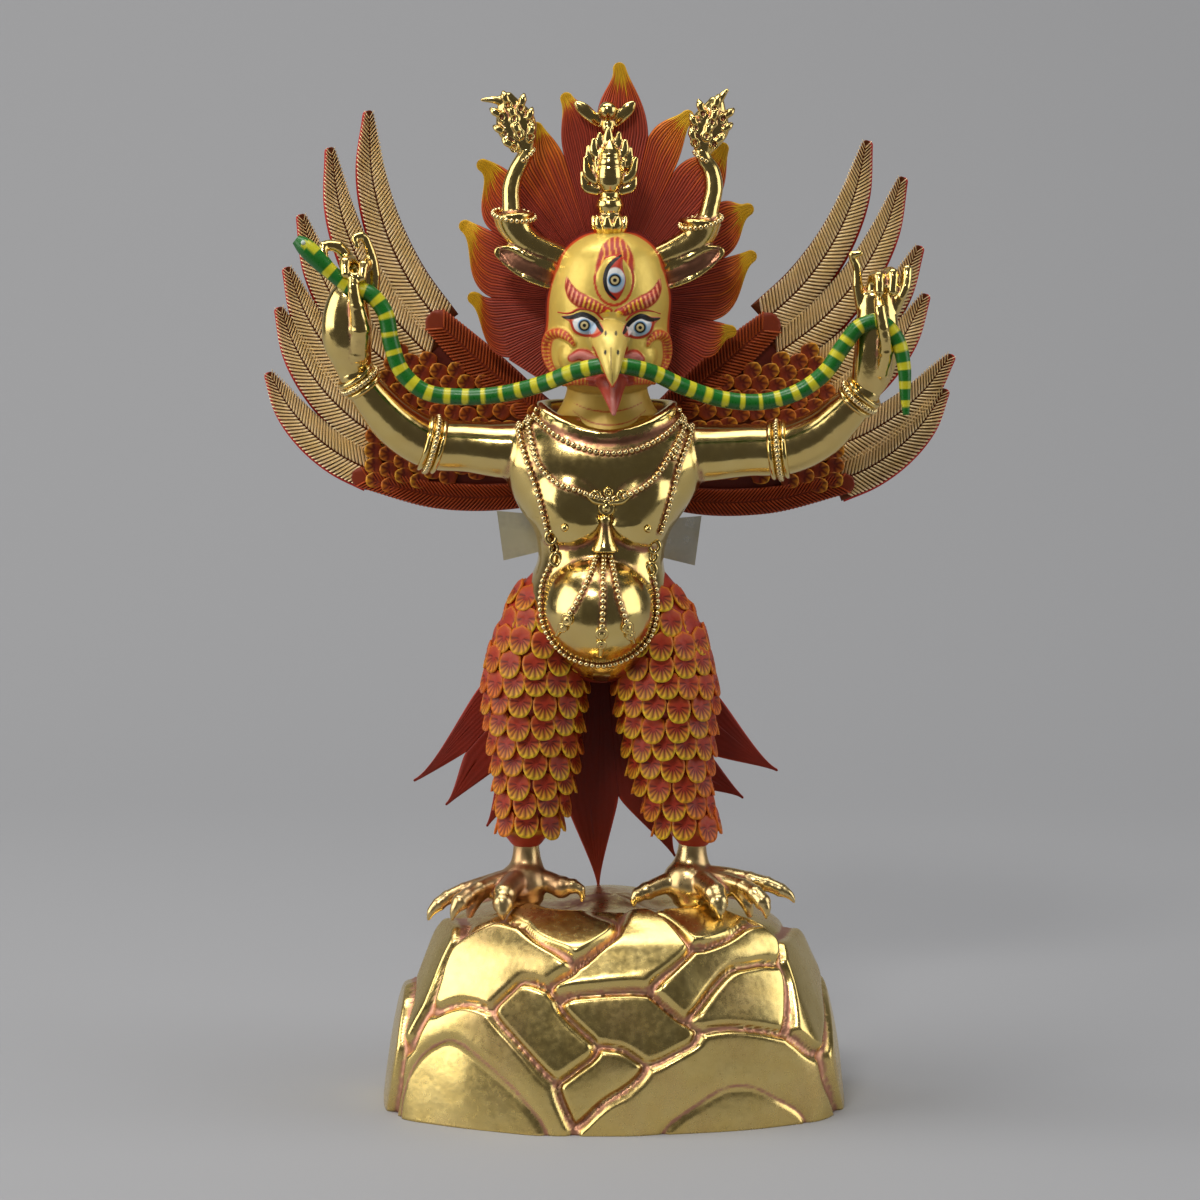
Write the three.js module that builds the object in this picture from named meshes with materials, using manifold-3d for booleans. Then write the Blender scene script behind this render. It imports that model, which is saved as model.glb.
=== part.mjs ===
// Garuda on a base of piled rock slabs: a gilt cast figure with painted hair, wings and legs.
// Millimetres, +Z up, the figure faces -Y. The origin is the centre of the base's underside.
// Left and right are those of somebody who looks at the figure's front, so left is -X.

import * as THREE from 'three';
import { mergeVertices } from 'three/addons/utils/BufferGeometryUtils.js';
import Module from 'manifold-3d';

const wasm = await Module();
wasm.setup();

// Driving dimensions
const FIGURE_HEIGHT = 316; // from the soles to the tip of the tallest flame
const PLINTH_WIDTH = 178;
const PLINTH_DEPTH = 118;
const PLINTH_HEIGHT = 80;
const SLAB_RELIEF = 3.2; // how far a rock slab stands out of the groove beside it
const SLAB_GROOVE = 2.8; // width of the groove between two slabs
const PILLOW = 0.8; // how far a slab's middle swells out past its rim
const SNAKE_DIAMETER = 6.2;
const HORN_DIAMETER = 8.4; // at its root
const FEATHER_WIDTH = 10.4;
const FEATHER_THICKNESS = 3.4;
const TAIL_THICKNESS = 3;
const MANE_THICKNESS = 8; // behind the head, the flames thin out from there
const BEAD_STRING = 2.6; // width of a necklace string
const BAND_WIDTH = 6; // of an armlet or bracelet
const BAND_RELIEF = 2;
const TAPE_WIDTH = 18;
const TAPE_HEIGHT = 19;
const TAPE_THICKNESS = 0.6;
const GAP = 0.3; // clearance between two separate pieces

// The figure is drawn on a canon of 316 equal units from the soles to the flame tip.
const CANON = 316;
const UNIT = FIGURE_HEIGHT / CANON;
const FORWARD = new THREE.Vector3(0, -1, 0);
const UPWARD = new THREE.Vector3(0, 0, 1);

// A place on the figure: canon units from the middle, from the mid plane and above the soles.
function at(x, y, height) {
  return new THREE.Vector3(x * UNIT, y * UNIT, PLINTH_HEIGHT + height * UNIT);
}

// One station of a limb: its place, its half width across and its half depth, in canon units.
function station(x, y, height, across, depth = across) {
  return { point: at(x, y, height), across: across * UNIT, depth: depth * UNIT };
}

function lerp(a, b, share) {
  return a + (b - a) * share;
}

// Closed solids

function signedVolume(position, index) {
  const corners = [new THREE.Vector3(), new THREE.Vector3(), new THREE.Vector3()];
  let sum = 0;
  for (let i = 0; i < index.length; i += 3) {
    corners.forEach((corner, k) => corner.fromBufferAttribute(position, index[i + k]));
    sum += corners[0].dot(corners[1].clone().cross(corners[2]));
  }
  return sum;
}

function closedGeometry(points, triangles) {
  const geometry = new THREE.BufferGeometry();
  geometry.setAttribute('position', new THREE.Float32BufferAttribute(points.flatMap((p) => p.toArray()), 3));
  const inwards = signedVolume(geometry.getAttribute('position'), triangles) < 0;
  geometry.setIndex(inwards ? triangles.slice().reverse() : triangles);
  return geometry;
}

function solidOf(geometry) {
  const bare = geometry.clone();
  bare.deleteAttribute('normal');
  bare.deleteAttribute('uv');
  const merged = mergeVertices(bare, 1e-4);
  const vertProperties = new Float32Array(merged.getAttribute('position').array);
  const triVerts = new Uint32Array(merged.getIndex().array);
  return new wasm.Manifold(new wasm.Mesh({ numProp: 3, vertProperties, triVerts }));
}

function union(solids) {
  return solids.reduce((all, solid) => all.add(solid));
}

function without(solid, ...cutters) {
  return cutters.reduce((rest, cutter) => rest.subtract(cutter), solid);
}

const group = new THREE.Group();

function addPiece(name, solid, { color, roughness, metalness }) {
  const mesh = solid.getMesh();
  const geometry = new THREE.BufferGeometry();
  geometry.setAttribute('position', new THREE.Float32BufferAttribute(mesh.vertProperties, 3));
  geometry.setIndex(new THREE.Uint32BufferAttribute(mesh.triVerts, 1));
  const material = new THREE.MeshStandardMaterial({ color, roughness, metalness });
  const piece = new THREE.Mesh(geometry, material);
  piece.name = name;
  group.add(piece);
}

function centreOf(points) {
  return points.reduce((sum, p) => sum.add(p), new THREE.Vector3()).divideScalar(points.length);
}

// A skin over rings of equally many points. Each end closes in a fan to a pole.
// Where turned says so, a four-sided patch is split along its other diagonal.
function loft(rings, firstPole = centreOf(rings[0]), lastPole = centreOf(rings.at(-1)), turned = () => false) {
  const sides = rings[0].length;
  const points = [...rings.flat(), firstPole, lastPole];
  const triangles = [];
  for (let ring = 0; ring < rings.length - 1; ring += 1) {
    for (let side = 0; side < sides; side += 1) {
      const a = ring * sides + side;
      const b = ring * sides + (side + 1) % sides;
      if (turned(ring, side)) {
        triangles.push(a, b, b + sides, a, b + sides, a + sides);
      } else {
        triangles.push(a, b, a + sides, b, b + sides, a + sides);
      }
    }
  }
  const last = (rings.length - 1) * sides;
  for (let side = 0; side < sides; side += 1) {
    const next = (side + 1) % sides;
    triangles.push(next, side, points.length - 2);
    triangles.push(last + side, last + next, points.length - 1);
  }
  return solidOf(closedGeometry(points, triangles));
}

// Rounded limb: oval rings along a smooth path, their depth turned as near to facing as can be.
function limb(stations, { sides = 8, steps = 6, facing = FORWARD, grow = 0, round = true } = {}) {
  const path = new THREE.CatmullRomCurve3(stations.map((s) => s.point), false, 'centripetal');
  const sizes = new THREE.CatmullRomCurve3(
    stations.map((s) => new THREE.Vector3(s.across, s.depth, 0)), false, 'catmullrom', 0.5);
  const frameAt = (share) => {
    const point = path.getPoint(share);
    const along = path.getTangent(share);
    const front = facing.clone().addScaledVector(along, -facing.dot(along)).normalize();
    const size = sizes.getPoint(share);
    return { point, along, front, side: along.clone().cross(front), across: size.x + grow, depth: size.y + grow };
  };
  const ringOf = ({ point, along, front, side, across, depth }, reach, share) => {
    const middle = point.clone().addScaledVector(along, reach * Math.min(across, depth));
    return Array.from({ length: sides }, (_, k) => {
      const turn = (2 * Math.PI * (k + 0.5)) / sides;
      return middle.clone()
        .addScaledVector(side, Math.cos(turn) * across * share)
        .addScaledVector(front, Math.sin(turn) * depth * share);
    });
  };
  const frames = Array.from({ length: steps + 1 }, (_, k) => frameAt(k / steps));
  const rings = frames.map((frame) => ringOf(frame, 0, 1));
  if (!round) {
    return loft(rings);
  }
  const poleOf = ({ point, along, across, depth }, reach) => (
    point.clone().addScaledVector(along, reach * Math.min(across, depth)));
  const first = frames[0];
  const last = frames.at(-1);
  return loft([ringOf(first, -0.6, 0.8), ...rings, ringOf(last, 0.6, 0.8)], poleOf(first, -1), poleOf(last, 1));
}

// Power curve that makes an oval squarer as the exponent grows.
function squared(value, exponent) {
  return Math.sign(value) * Math.abs(value) ** (2 / exponent);
}

// Level rings of a trunk, from rows of [height, middle x, half width, front depth, back depth].
function trunk(rows, { sides = 18, exponent = 2.3, grow = 0 } = {}) {
  const wide = grow / UNIT;
  const rings = rows.map(([height, middle, half, front, back], row) => {
    const end = (row === rows.length - 1) - (row === 0);
    return Array.from({ length: sides }, (_, k) => {
      const turn = (2 * Math.PI * (k + 0.5)) / sides;
      const depth = Math.sin(turn) < 0 ? front : back;
      return at(
        middle + squared(Math.cos(turn), exponent) * (half + wide),
        squared(Math.sin(turn), exponent) * (depth + wide),
        height + end * wide,
      );
    });
  });
  return loft(rings);
}

// How far forward a trunk's skin lies at a place seen from the front.
function trunkFront(rows, exponent, x, height) {
  const upper = Math.max(1, rows.findIndex((row) => row[0] >= height));
  const [low, high] = [rows[upper - 1], rows[upper]];
  const share = (height - low[0]) / (high[0] - low[0]);
  const [, middle, half, front] = low.map((value, k) => lerp(value, high[k], share));
  const aside = Math.min(0.98, Math.abs(x - middle) / half);
  return -front * (1 - aside ** exponent) ** (1 / exponent);
}

// A sheet around a centre: its outline is the thin edge, and inner rings swell to the thickness.
function swollenSheet(outline, centre, swell, innerShares) {
  const edge = 0.25;
  const layer = (share, lift) => outline.map((point) => (
    centre.clone().lerp(point, share).addScaledVector(FORWARD, lift)));
  const lifts = innerShares.map((share) => swell * lerp(1, edge, share ** 1.5));
  const front = innerShares.map((share, k) => layer(share, lifts[k]));
  const back = innerShares.map((share, k) => layer(share, -lifts[k])).reverse();
  const rings = [...front, layer(1, swell * edge), layer(1, -swell * edge), ...back];
  const pole = (lift) => centre.clone().addScaledVector(FORWARD, lift);
  return loft(rings, pole(swell), pole(-swell));
}

// Pointed tongues between valleys, in order, each side a bend that narrows to the tip.
function tongues(marks, bends, slimness) {
  const outline = [];
  marks.forEach((mark, k) => {
    outline.push(mark.point);
    const next = marks[k + 1];
    if (!next || mark.tip === next.tip) {
      return;
    }
    const tip = mark.tip ? mark : next;
    const foot = mark.tip ? next : mark;
    const other = marks[mark.tip ? k - 1 : k + 2] ?? foot;
    const axis = foot.point.clone().lerp(other.point, 0.5);
    const bend = foot.point.clone().lerp(tip.point, 0.5).lerp(axis.lerp(tip.point, 0.5), slimness);
    const side = new THREE.QuadraticBezierCurve3(mark.point, bend, next.point);
    for (let step = 1; step <= bends; step += 1) {
      outline.push(side.getPoint(step / (bends + 1)));
    }
  });
  return outline;
}

// Rock base

// Half width and height along the climb from the underside to the top, as shares.
const ROCK_PROFILE = [
  [1, 0], [1, 0.12], [0.99, 0.27], [0.965, 0.41], [0.91, 0.54], [0.85, 0.67],
  [0.79, 0.81], [0.7, 0.905], [0.52, 0.97], [0.26, 1], [0, 1],
];
const ROCK_SQUARENESS = 2.5;

// A place on the rock: degrees round from the front, per cent of the climb, and how far it is lifted.
function rockPoint(around, climb, lift = 0) {
  const turn = THREE.MathUtils.degToRad(around);
  const part = THREE.MathUtils.clamp(climb / 10, 0, ROCK_PROFILE.length - 1.001);
  const below = Math.floor(part);
  const [wide, high] = [0, 1].map((k) => (
    lerp(ROCK_PROFILE[below][k], ROCK_PROFILE[below + 1][k], part - below)));
  const sunk = lift - SLAB_RELIEF;
  const out = (half) => (half + sunk) * wide;
  return new THREE.Vector3(
    out(PLINTH_WIDTH / 2) * squared(Math.sin(turn), ROCK_SQUARENESS),
    -out(PLINTH_DEPTH / 2) * squared(Math.cos(turn), ROCK_SQUARENESS),
    (PLINTH_HEIGHT + sunk) * high,
  );
}

function rockCore(grow = 0) {
  const sides = 14;
  const climbs = [0, 30, 60, 82];
  const rings = climbs.map((climb) => Array.from({ length: sides }, (_, k) => (
    rockPoint((360 * k) / sides, climb, grow))));
  return loft(rings, new THREE.Vector3(0, 0, 0), rockPoint(0, 100, grow));
}

// Corners of the front slabs as [degrees round, per cent of climb], with the layer each lies on.
const FRONT_SLABS = [
  { layer: 0.55, corners: [[-68, 0], [-62, 21], [-50, 42], [-42, 44], [-25, 35], [-11, 14], [-7, 0]] },
  { frontOnly: true, layer: 1, corners: [[-64, 0], [-50, 27], [-44, 30], [-29, 23], [-12, 0]] },
  { layer: 0.55, corners: [[-6, 0], [5, 23], [17, 32], [26, 35], [36, 33], [55, 21], [70, 0]] },
  { frontOnly: true, layer: 1, corners: [[8, 0], [16, 11], [24, 16], [30, 16], [38, 12], [51, 0]] },
  { layer: 1, corners: [[-23, 55], [-2, 29], [-10, 20], [-31, 43]] },
  { frontOnly: true, layer: 1, corners: [[0, 31], [5, 22], [-6, 2], [-9, 18]] },
  { frontOnly: true, layer: 0.9, corners: [[-10, 47], [4, 50], [17, 33], [6, 25], [0, 31]] },
  { frontOnly: true, layer: 1, corners: [[-12, 50], [-5, 62], [12, 84], [18, 81], [20, 64], [7, 52]] },
  { layer: 1, corners: [[7, 52], [20, 63], [53, 73], [58, 58], [31, 56], [15, 40]] },
  { frontOnly: true, layer: 0.9, corners: [[15, 40], [23, 50], [34, 57], [47, 57], [57, 52], [47, 35], [31, 38]] },
  { layer: 0.9, corners: [[-54, 38], [-58, 55], [-42, 73], [-33, 75], [-7, 57], [-23, 54], [-31, 44], [-42, 44]] },
  { frontOnly: true, layer: 0.9, corners: [[-55, 83], [-22, 84], [-1, 75], [-7, 59], [-15, 67]] },
  { frontOnly: true, layer: 0.9, corners: [[21, 88], [56, 86], [56, 74], [21, 64]] },
];
const SIDE_SLABS = [
  { layer: 1, corners: [[62, 58], [97, 57], [93, 42], [56, 26], [48, 35]] },
  { layer: 0.9, corners: [[92, 41], [106, 36], [108, 14], [100, 0], [71, 0], [60, 17]] },
  { layer: 0.9, corners: [[-89, 65], [-71, 65], [-60, 47], [-59, 23], [-76, 42]] },
  { layer: 1, corners: [[-100, 36], [-74, 41], [-64, 14], [-69, 0], [-95, 0], [-104, 14]] },
];
// The hill that rises between the feet to the full height of the base.
const HILL = { x: -3, y: -4, halfWidth: 27, halfDepth: 22 };

function rockSlab({ layer, corners }, turned, grow = 0) {
  const longest = 32;
  const outline = [];
  corners.forEach(([around, climb], k) => {
    const [nextAround, nextClimb] = corners[(k + 1) % corners.length];
    const pieces = Math.ceil(Math.hypot(nextAround - around, nextClimb - climb) / longest);
    for (let piece = 0; piece < pieces; piece += 1) {
      outline.push([lerp(around, nextAround, piece / pieces) + turned, lerp(climb, nextClimb, piece / pieces)]);
    }
  });
  const height = SLAB_RELIEF * layer + grow;
  const heart = [0, 1].map((axis) => outline.reduce((sum, place) => sum + place[axis], 0) / outline.length);
  const rim = (lift, inset) => {
    const points = outline.map(([around, climb]) => rockPoint(around, climb, lift));
    const centre = centreOf(points);
    return points.map((point) => {
      const shift = Math.min(inset / point.distanceTo(centre), 0.5);
      const moved = point.clone().lerp(centre, shift);
      moved.z = point.z === 0 ? 0 : moved.z;
      return moved;
    });
  };
  const pillow = outline.map(([around, climb]) => (
    rockPoint(lerp(heart[0], around, 0.5), lerp(heart[1], climb, 0.5), height + PILLOW * 0.7)));
  const foot = rim(-SLAB_RELIEF, SLAB_GROOVE / 2 - grow);
  return loft([foot, rim(height, SLAB_GROOVE), pillow], undefined, rockPoint(...heart, height + PILLOW));
}

function rockHill(grow = 0) {
  const sides = 8;
  const { x, y, halfWidth, halfDepth } = HILL;
  const ring = (share, z) => Array.from({ length: sides }, (_, k) => {
    const turn = (2 * Math.PI * k) / sides;
    return new THREE.Vector3(
      x + Math.cos(turn) * halfWidth * share,
      y + Math.sin(turn) * halfDepth * share,
      z,
    );
  });
  const top = PLINTH_HEIGHT - SLAB_RELIEF;
  const peak = new THREE.Vector3(x, y, PLINTH_HEIGHT + grow);
  const rings = [ring(0.7, top - 6), ring(1, top - 1 + grow), ring(0.5, top + SLAB_RELIEF * 0.7 + grow)];
  return loft(rings, undefined, peak);
}

function rockBase(grow = 0) {
  const slabs = [
    ...FRONT_SLABS.map((slab) => rockSlab(slab, 0, grow)),
    ...FRONT_SLABS.filter((slab) => !slab.frontOnly).map((slab) => rockSlab(slab, 180, grow)),
    ...SIDE_SLABS.map((slab) => rockSlab(slab, 0, grow)),
  ];
  return union([rockCore(grow), rockHill(grow), ...slabs]);
}

// Trunk, neck and head

const TRUNK_ROWS = [
  [83, -5, 5, 13, 6], [89, -5.2, 16, 28, 14], [98, -6, 23.2, 35, 18.5], [109.5, -7, 26.4, 37.2, 20],
  [119, -6.7, 26.4, 35, 19], [130, -5.4, 23.3, 26, 16], [140, -4.8, 25.6, 25.5, 17], [148, -4.7, 31, 27.5, 19],
  [158, -4.2, 37, 28, 20.5], [168, -4.3, 38.7, 24.5, 20.5], [176, -4.3, 37.5, 20, 18.5],
  [182, -4, 32, 16.5, 15], [185, -3.6, 24, 15, 13],
];
const TRUNK_SQUARENESS = 2.3;
const NECK_ROWS = [
  [177, -3.4, 18.5, 14, 9], [184, -3.4, 15.6, 13.5, 8], [196, -3, 15, 15, 8],
];
const FACE_ROWS = [
  [190.5, -2.2, 7, 13, 5], [196, -2.2, 16, 20, 8], [204, -2.2, 20.8, 24, 8], [213, -2.2, 22.8, 25.5, 8],
  [231, -2.2, 23.3, 25.5, 8], [239, -2.2, 21.8, 24.5, 8], [247, -2.2, 16.5, 21, 8], [253, -2.2, 6, 13, 7],
];
const FACE_SQUARENESS = 2.2;

function trunkSolid(grow = 0) {
  return trunk(TRUNK_ROWS, { sides: 12, exponent: TRUNK_SQUARENESS, grow });
}

function neckSolid(grow = 0) {
  return trunk(NECK_ROWS, { sides: 12, exponent: 2, grow });
}

function faceSolid(grow = 0) {
  return trunk(FACE_ROWS, { sides: 12, exponent: FACE_SQUARENESS, grow });
}

// A string of beads laid on the trunk, through places [x, height].
function beadString(places, steps) {
  const half = BEAD_STRING / 2 / UNIT;
  const stations = places.map(([x, height]) => (
    station(x, trunkFront(TRUNK_ROWS, TRUNK_SQUARENESS, x, height) - half * 0.6, height, half, half * 1.2)));
  return limb(stations, { sides: 4, steps, round: false });
}

function mirrored(places) {
  const middle = -5;
  return places.map(([x, ...rest]) => [2 * middle - x, ...rest]);
}

// Strings down the breast: a sash from each shoulder, a breast chain and the ring round the belly.
function necklaces() {
  const sash = [[-33, 170], [-33, 158], [-28.5, 147], [-25, 137], [-22.5, 128], [-25.5, 118]];
  const breastChain = [[-27, 160], [-20, 148.5], [-5, 143.8], [10, 148.5], [17, 160]];
  const bellyRadius = 23.5;
  const bellyRing = Array.from({ length: 9 }, (_, k) => {
    const turn = THREE.MathUtils.degToRad(lerp(160, 380, k / 8));
    return [-5.5 + Math.cos(turn) * bellyRadius, 112 + Math.sin(turn) * (bellyRadius - 1)];
  });
  return [
    beadString(sash, 4),
    beadString(mirrored(sash), 4),
    beadString(breastChain, 4),
    beadString(bellyRing, 7),
  ];
}

// The rolled collar rim stands clear of the neck and dips in front.
const COLLAR = { middle: -3, rise: 1.5, dip: 8.5, across: 25.5, front: 17.5, back: 13, half: 3 };

function collar() {
  const { middle, rise, dip, across, front, back, half } = COLLAR;
  const height = TRUNK_ROWS.at(-1)[0] + rise;
  const sides = 12;
  const section = [[1, 0], [0, 1], [-1, 0], [0, -1]];
  const rings = section.map(([out, up]) => Array.from({ length: sides }, (_, k) => {
    const turn = (2 * Math.PI * k) / sides;
    const inFront = Math.max(0, -Math.sin(turn));
    return at(
      middle + Math.cos(turn) * (across + out * half),
      Math.sin(turn) * ((inFront > 0 ? front : back) + out * half),
      height + up * half - dip * inFront ** 2,
    );
  }));
  return ringTube(rings);
}

// A tube that closes on itself: rows of a ring's section, joined round and round.
function ringTube(rows) {
  const sides = rows[0].length;
  const points = rows.flat();
  const triangles = [];
  rows.forEach((_, row) => {
    const nextRow = (row + 1) % rows.length;
    for (let side = 0; side < sides; side += 1) {
      const next = (side + 1) % sides;
      const [a, b, c, d] = [row * sides + side, row * sides + next, nextRow * sides + side, nextRow * sides + next];
      triangles.push(a, b, c, b, d, c);
    }
  });
  return solidOf(closedGeometry(points, triangles));
}

// Medallion and bell that hang on the breast chain.
function pendant() {
  const middle = -4.2;
  const boss = (height, radius, depth) => {
    const front = trunkFront(TRUNK_ROWS, TRUNK_SQUARENESS, middle, height);
    const stations = [station(middle, front + 2, height, radius), station(middle, front - depth, height, radius * 0.8)];
    return limb(stations, { sides: 6, steps: 1, facing: UPWARD, round: false });
  };
  const bellStations = [[140, 2.2], [134, 2.8], [128, 5]].map(([height, radius]) => (
    station(middle, trunkFront(TRUNK_ROWS, TRUNK_SQUARENESS, middle, height) - 0.5, height, radius)));
  return [boss(144, 4.2, 2), limb(bellStations, { sides: 5, steps: 2, round: false })];
}

// Arms and hands

const LEFT_ARM = [
  station(-26, 0, 170, 12), station(-40, 0, 170.5, 11.5), station(-56, 0, 172, 10.2), station(-72, -1, 173.5, 9.6),
  station(-82, -4, 181, 9), station(-91, -8, 191, 7.4), station(-98, -11, 201, 6.2),
];
const RIGHT_ARM = [
  station(18, 0, 169, 12), station(32, 0, 169.5, 11.5), station(49, 0, 170.5, 10.4), station(67, -1, 171.5, 10),
  station(78, -4, 177.5, 9.2), station(87, -8, 186, 7.8), station(94, -11, 194.5, 6.4),
];

// Where an arm carries its armlet and its bracelet, as shares of its stations.
const BAND_PLACES = [0.5, 0.955];

// An arm whose skin rises into a band at the elbow and at the wrist.
function arm(stations) {
  const path = new THREE.CatmullRomCurve3(stations.map((s) => s.point), false, 'centripetal');
  const sizes = new THREE.CatmullRomCurve3(
    stations.map((s) => new THREE.Vector3(s.across, s.depth, 0)), false, 'catmullrom', 0.5);
  const sides = 8;
  const ring = (share, offset, relief) => {
    const along = path.getTangent(share);
    const front = FORWARD.clone().addScaledVector(along, -FORWARD.dot(along)).normalize();
    const side = along.clone().cross(front);
    const middle = path.getPoint(share).addScaledVector(along, offset);
    const half = sizes.getPoint(share).x + relief;
    return Array.from({ length: sides }, (_, k) => {
      const turn = (2 * Math.PI * (k + 0.5)) / sides;
      return middle.clone()
        .addScaledVector(side, Math.cos(turn) * half)
        .addScaledVector(front, Math.sin(turn) * half);
    });
  };
  const band = (share) => [[-0.5, 0], [-0.35, 1], [0.35, 1], [0.5, 0]].map(([offset, relief]) => (
    ring(share, offset * BAND_WIDTH, relief * BAND_RELIEF)));
  const plain = (share) => ring(share, 0, 0);
  return loft([
    ...[0, 0.17, 0.34].map(plain), ...band(BAND_PLACES[0]), ...[0.63, 0.8].map(plain), ...band(BAND_PLACES[1]),
  ]);
}

// A finger, or two that lie side by side: joints [x, y, height, half width, half depth], in canon units.
function finger(joints) {
  return limb(joints.map((joint) => station(...joint)), { sides: 4, steps: 2, round: false });
}

function leftHand() {
  const palm = [
    station(-98, -11, 201, 6, 5), station(-100.5, -13, 209, 8.6, 6), station(-100, -14, 220, 9, 6),
    station(-98, -14, 230, 7.5, 5), station(-97, -14, 235, 5.5, 4),
  ];
  const fingers = [
    [[-96, -18, 209, 3.4], [-94.5, -21.5, 220, 2.8], [-95, -24.5, 231, 2.4], [-96, -23, 237, 2]],
    [[-100, -14, 233, 3.4], [-102, -16, 242, 2.8], [-104, -18, 248, 2.4], [-100, -20, 249.5, 2.2]],
    [[-95.5, -14, 233, 4.4, 3.2], [-95.5, -16, 243, 4.2, 2.6], [-96, -20, 244, 4, 2.4], [-96, -22, 239.5, 3.6, 2]],
    [[-91, -14, 229, 3], [-88.5, -15, 238, 2.2], [-89, -15, 248, 1.9], [-93, -16, 252, 1.7]],
  ];
  return [limb(palm, { sides: 7, steps: 3, round: false }), ...fingers.map(finger)];
}

function rightHand() {
  const palm = [
    station(94, -11, 194.5, 6, 5), station(96.5, -13, 203, 8.6, 6), station(97.5, -14, 213, 9, 6),
    station(97.5, -14, 223, 8, 5), station(97, -14, 231, 7, 4.5),
  ];
  const fingers = [
    [[97, -17, 205, 3.4], [97.5, -21, 214, 2.8], [98, -24.5, 221, 2.5], [97.5, -22, 228, 2.2]],
    [[93, -14, 228, 3], [90.5, -15, 236, 2.3], [90, -15, 243, 2], [87.5, -16, 247, 1.7]],
    [[98, -14, 230, 4.6, 3.2], [99, -16, 238, 4.4, 2.8], [100.5, -20, 240.5, 4.2, 2.6], [101, -22, 235.5, 3.8, 2.2]],
    [[103, -14, 226, 3.2], [106, -16, 233, 2.6], [107, -20, 236, 2.3], [107.5, -22, 231.5, 2]],
  ];
  return [limb(palm, { sides: 7, steps: 3, round: false }), ...fingers.map(finger)];
}

// Legs and feet

// Leg axis and radius from the hip down: [height, x, y, radius].
const LEFT_LEG = [
  [112, -22, -2, 11], [104, -26.5, -2, 15.5], [94, -30, -1.5, 18.2], [84, -31.2, -1, 18.8], [67, -31.6, -1, 17],
  [44, -31.6, -1, 13.6], [22, -33.6, -1, 11],
];
const RIGHT_LEG = [
  [112, 11, -2, 11], [104, 15.5, -2, 15.5], [94, 19, -1.5, 17.8], [84, 20.2, -1, 18.4], [67, 20.4, -1, 17.2],
  [44, 23, -1, 13.6], [22, 29.4, -1, 10.8],
];
const SCALE_ROWS = 10;
const SCALES_ROUND = 7;

function alongLeg(leg, height) {
  const below = leg.findIndex((row) => row[0] <= height);
  const low = leg[below === -1 ? leg.length - 1 : Math.max(1, below)];
  const high = leg[Math.max(1, leg.indexOf(low)) - 1];
  const share = (height - low[0]) / (high[0] - low[0]);
  return low.map((value, k) => lerp(value, high[k], share));
}

// Rows of scales: every second column is the tip of a scale, and the next row's tips lie between.
function scaledLeg(leg, grow = 0) {
  const columns = 2 * SCALES_ROUND;
  const pitch = (leg[0][0] - leg.at(-1)[0]) / SCALE_ROWS;
  const flare = 1.6;
  const drop = 0.4 * pitch;
  const ring = (height, shape) => Array.from({ length: columns }, (_, k) => {
    const [out, down] = shape(k);
    const [, x, y, radius] = alongLeg(leg, height - down);
    const turn = (2 * Math.PI * k) / columns;
    const reach = radius + out + grow / UNIT;
    return at(x + Math.cos(turn) * reach, y + Math.sin(turn) * reach, height - down);
  });
  const rings = [ring(leg[0][0], () => [0, 0])];
  for (let row = 1; row <= SCALE_ROWS; row += 1) {
    const level = leg[0][0] - row * pitch;
    rings.push(ring(level, (k) => ((k + row) % 2 ? [flare, drop] : [-0.5, -0.1 * pitch])));
  }
  rings.push(ring(leg.at(-1)[0] - 7, () => [-6, 0]));
  return loft(rings, undefined, undefined, (row, column) => (row + column) % 2 === 0);
}

function toe(places) {
  return limb(places.map((place) => station(...place)), { sides: 4, steps: 4, round: false });
}

function leftFoot() {
  return [
    limb([station(-33.7, -1, 20, 5), station(-33.7, -1, 13, 4.8), station(-33.7, -3, 6, 6.4), station(-33.5, -4, -3, 6.6)],
      { steps: 3, round: false }),
    toe([[-36, -4, 7.5, 4.6], [-48, -9, 7.5, 3.6], [-58, -13, 6, 3.3], [-66, -16, 2.5, 2.7], [-70.5, -18, -4.5, 1.1]]),
    toe([[-36, -6, 7.5, 4.6], [-47, -14, 7.5, 3.7], [-54, -19.5, 5.5, 3.4], [-58, -23, 1, 2.7], [-61, -25, -4.5, 1.2]]),
    toe([[-35, -7, 7.5, 4.6], [-40, -16, 8, 4], [-42.3, -23, 5.5, 3.8], [-43, -27.5, 0.8, 3.1], [-42.5, -29, -4, 1.5]]),
    toe([[-31, -4, 7.5, 4.6], [-24, -7, 8.5, 3.6], [-17.5, -9, 8, 3.3], [-14, -10.5, 4.5, 2.5], [-13.5, -11.5, -1, 1.2]]),
  ];
}

function rightFoot() {
  return [
    limb([station(30.4, -1, 20, 5), station(30.6, -1, 13, 4.8), station(31, -3, 6, 6.4), station(31, -4, -3, 6.6)],
      { steps: 3, round: false }),
    toe([[34, -4, 7.5, 4.6], [46, -8, 8, 3.7], [57, -11, 7.5, 3.2], [64, -13, 5, 2.5], [68, -14, -0.5, 1.1]]),
    toe([[34, -6, 7.5, 4.6], [44, -13, 8, 3.7], [51, -18.5, 6, 3.4], [55.5, -22, 1.8, 2.7], [57.5, -23.5, -3.5, 1.2]]),
    toe([[32, -7, 7.5, 4.6], [36.5, -16, 8, 4], [38.5, -23, 5.5, 3.8], [39, -27.5, 0.8, 3.1], [38.7, -29, -4, 1.5]]),
    toe([[28, -4, 7.5, 4.6], [20, -8, 8.5, 3.6], [13, -11, 7.5, 3.3], [8.5, -13, 4, 2.5], [6.5, -14, -1, 1.2]]),
  ];
}

// Snake, held in both hands and bitten in the middle

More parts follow.
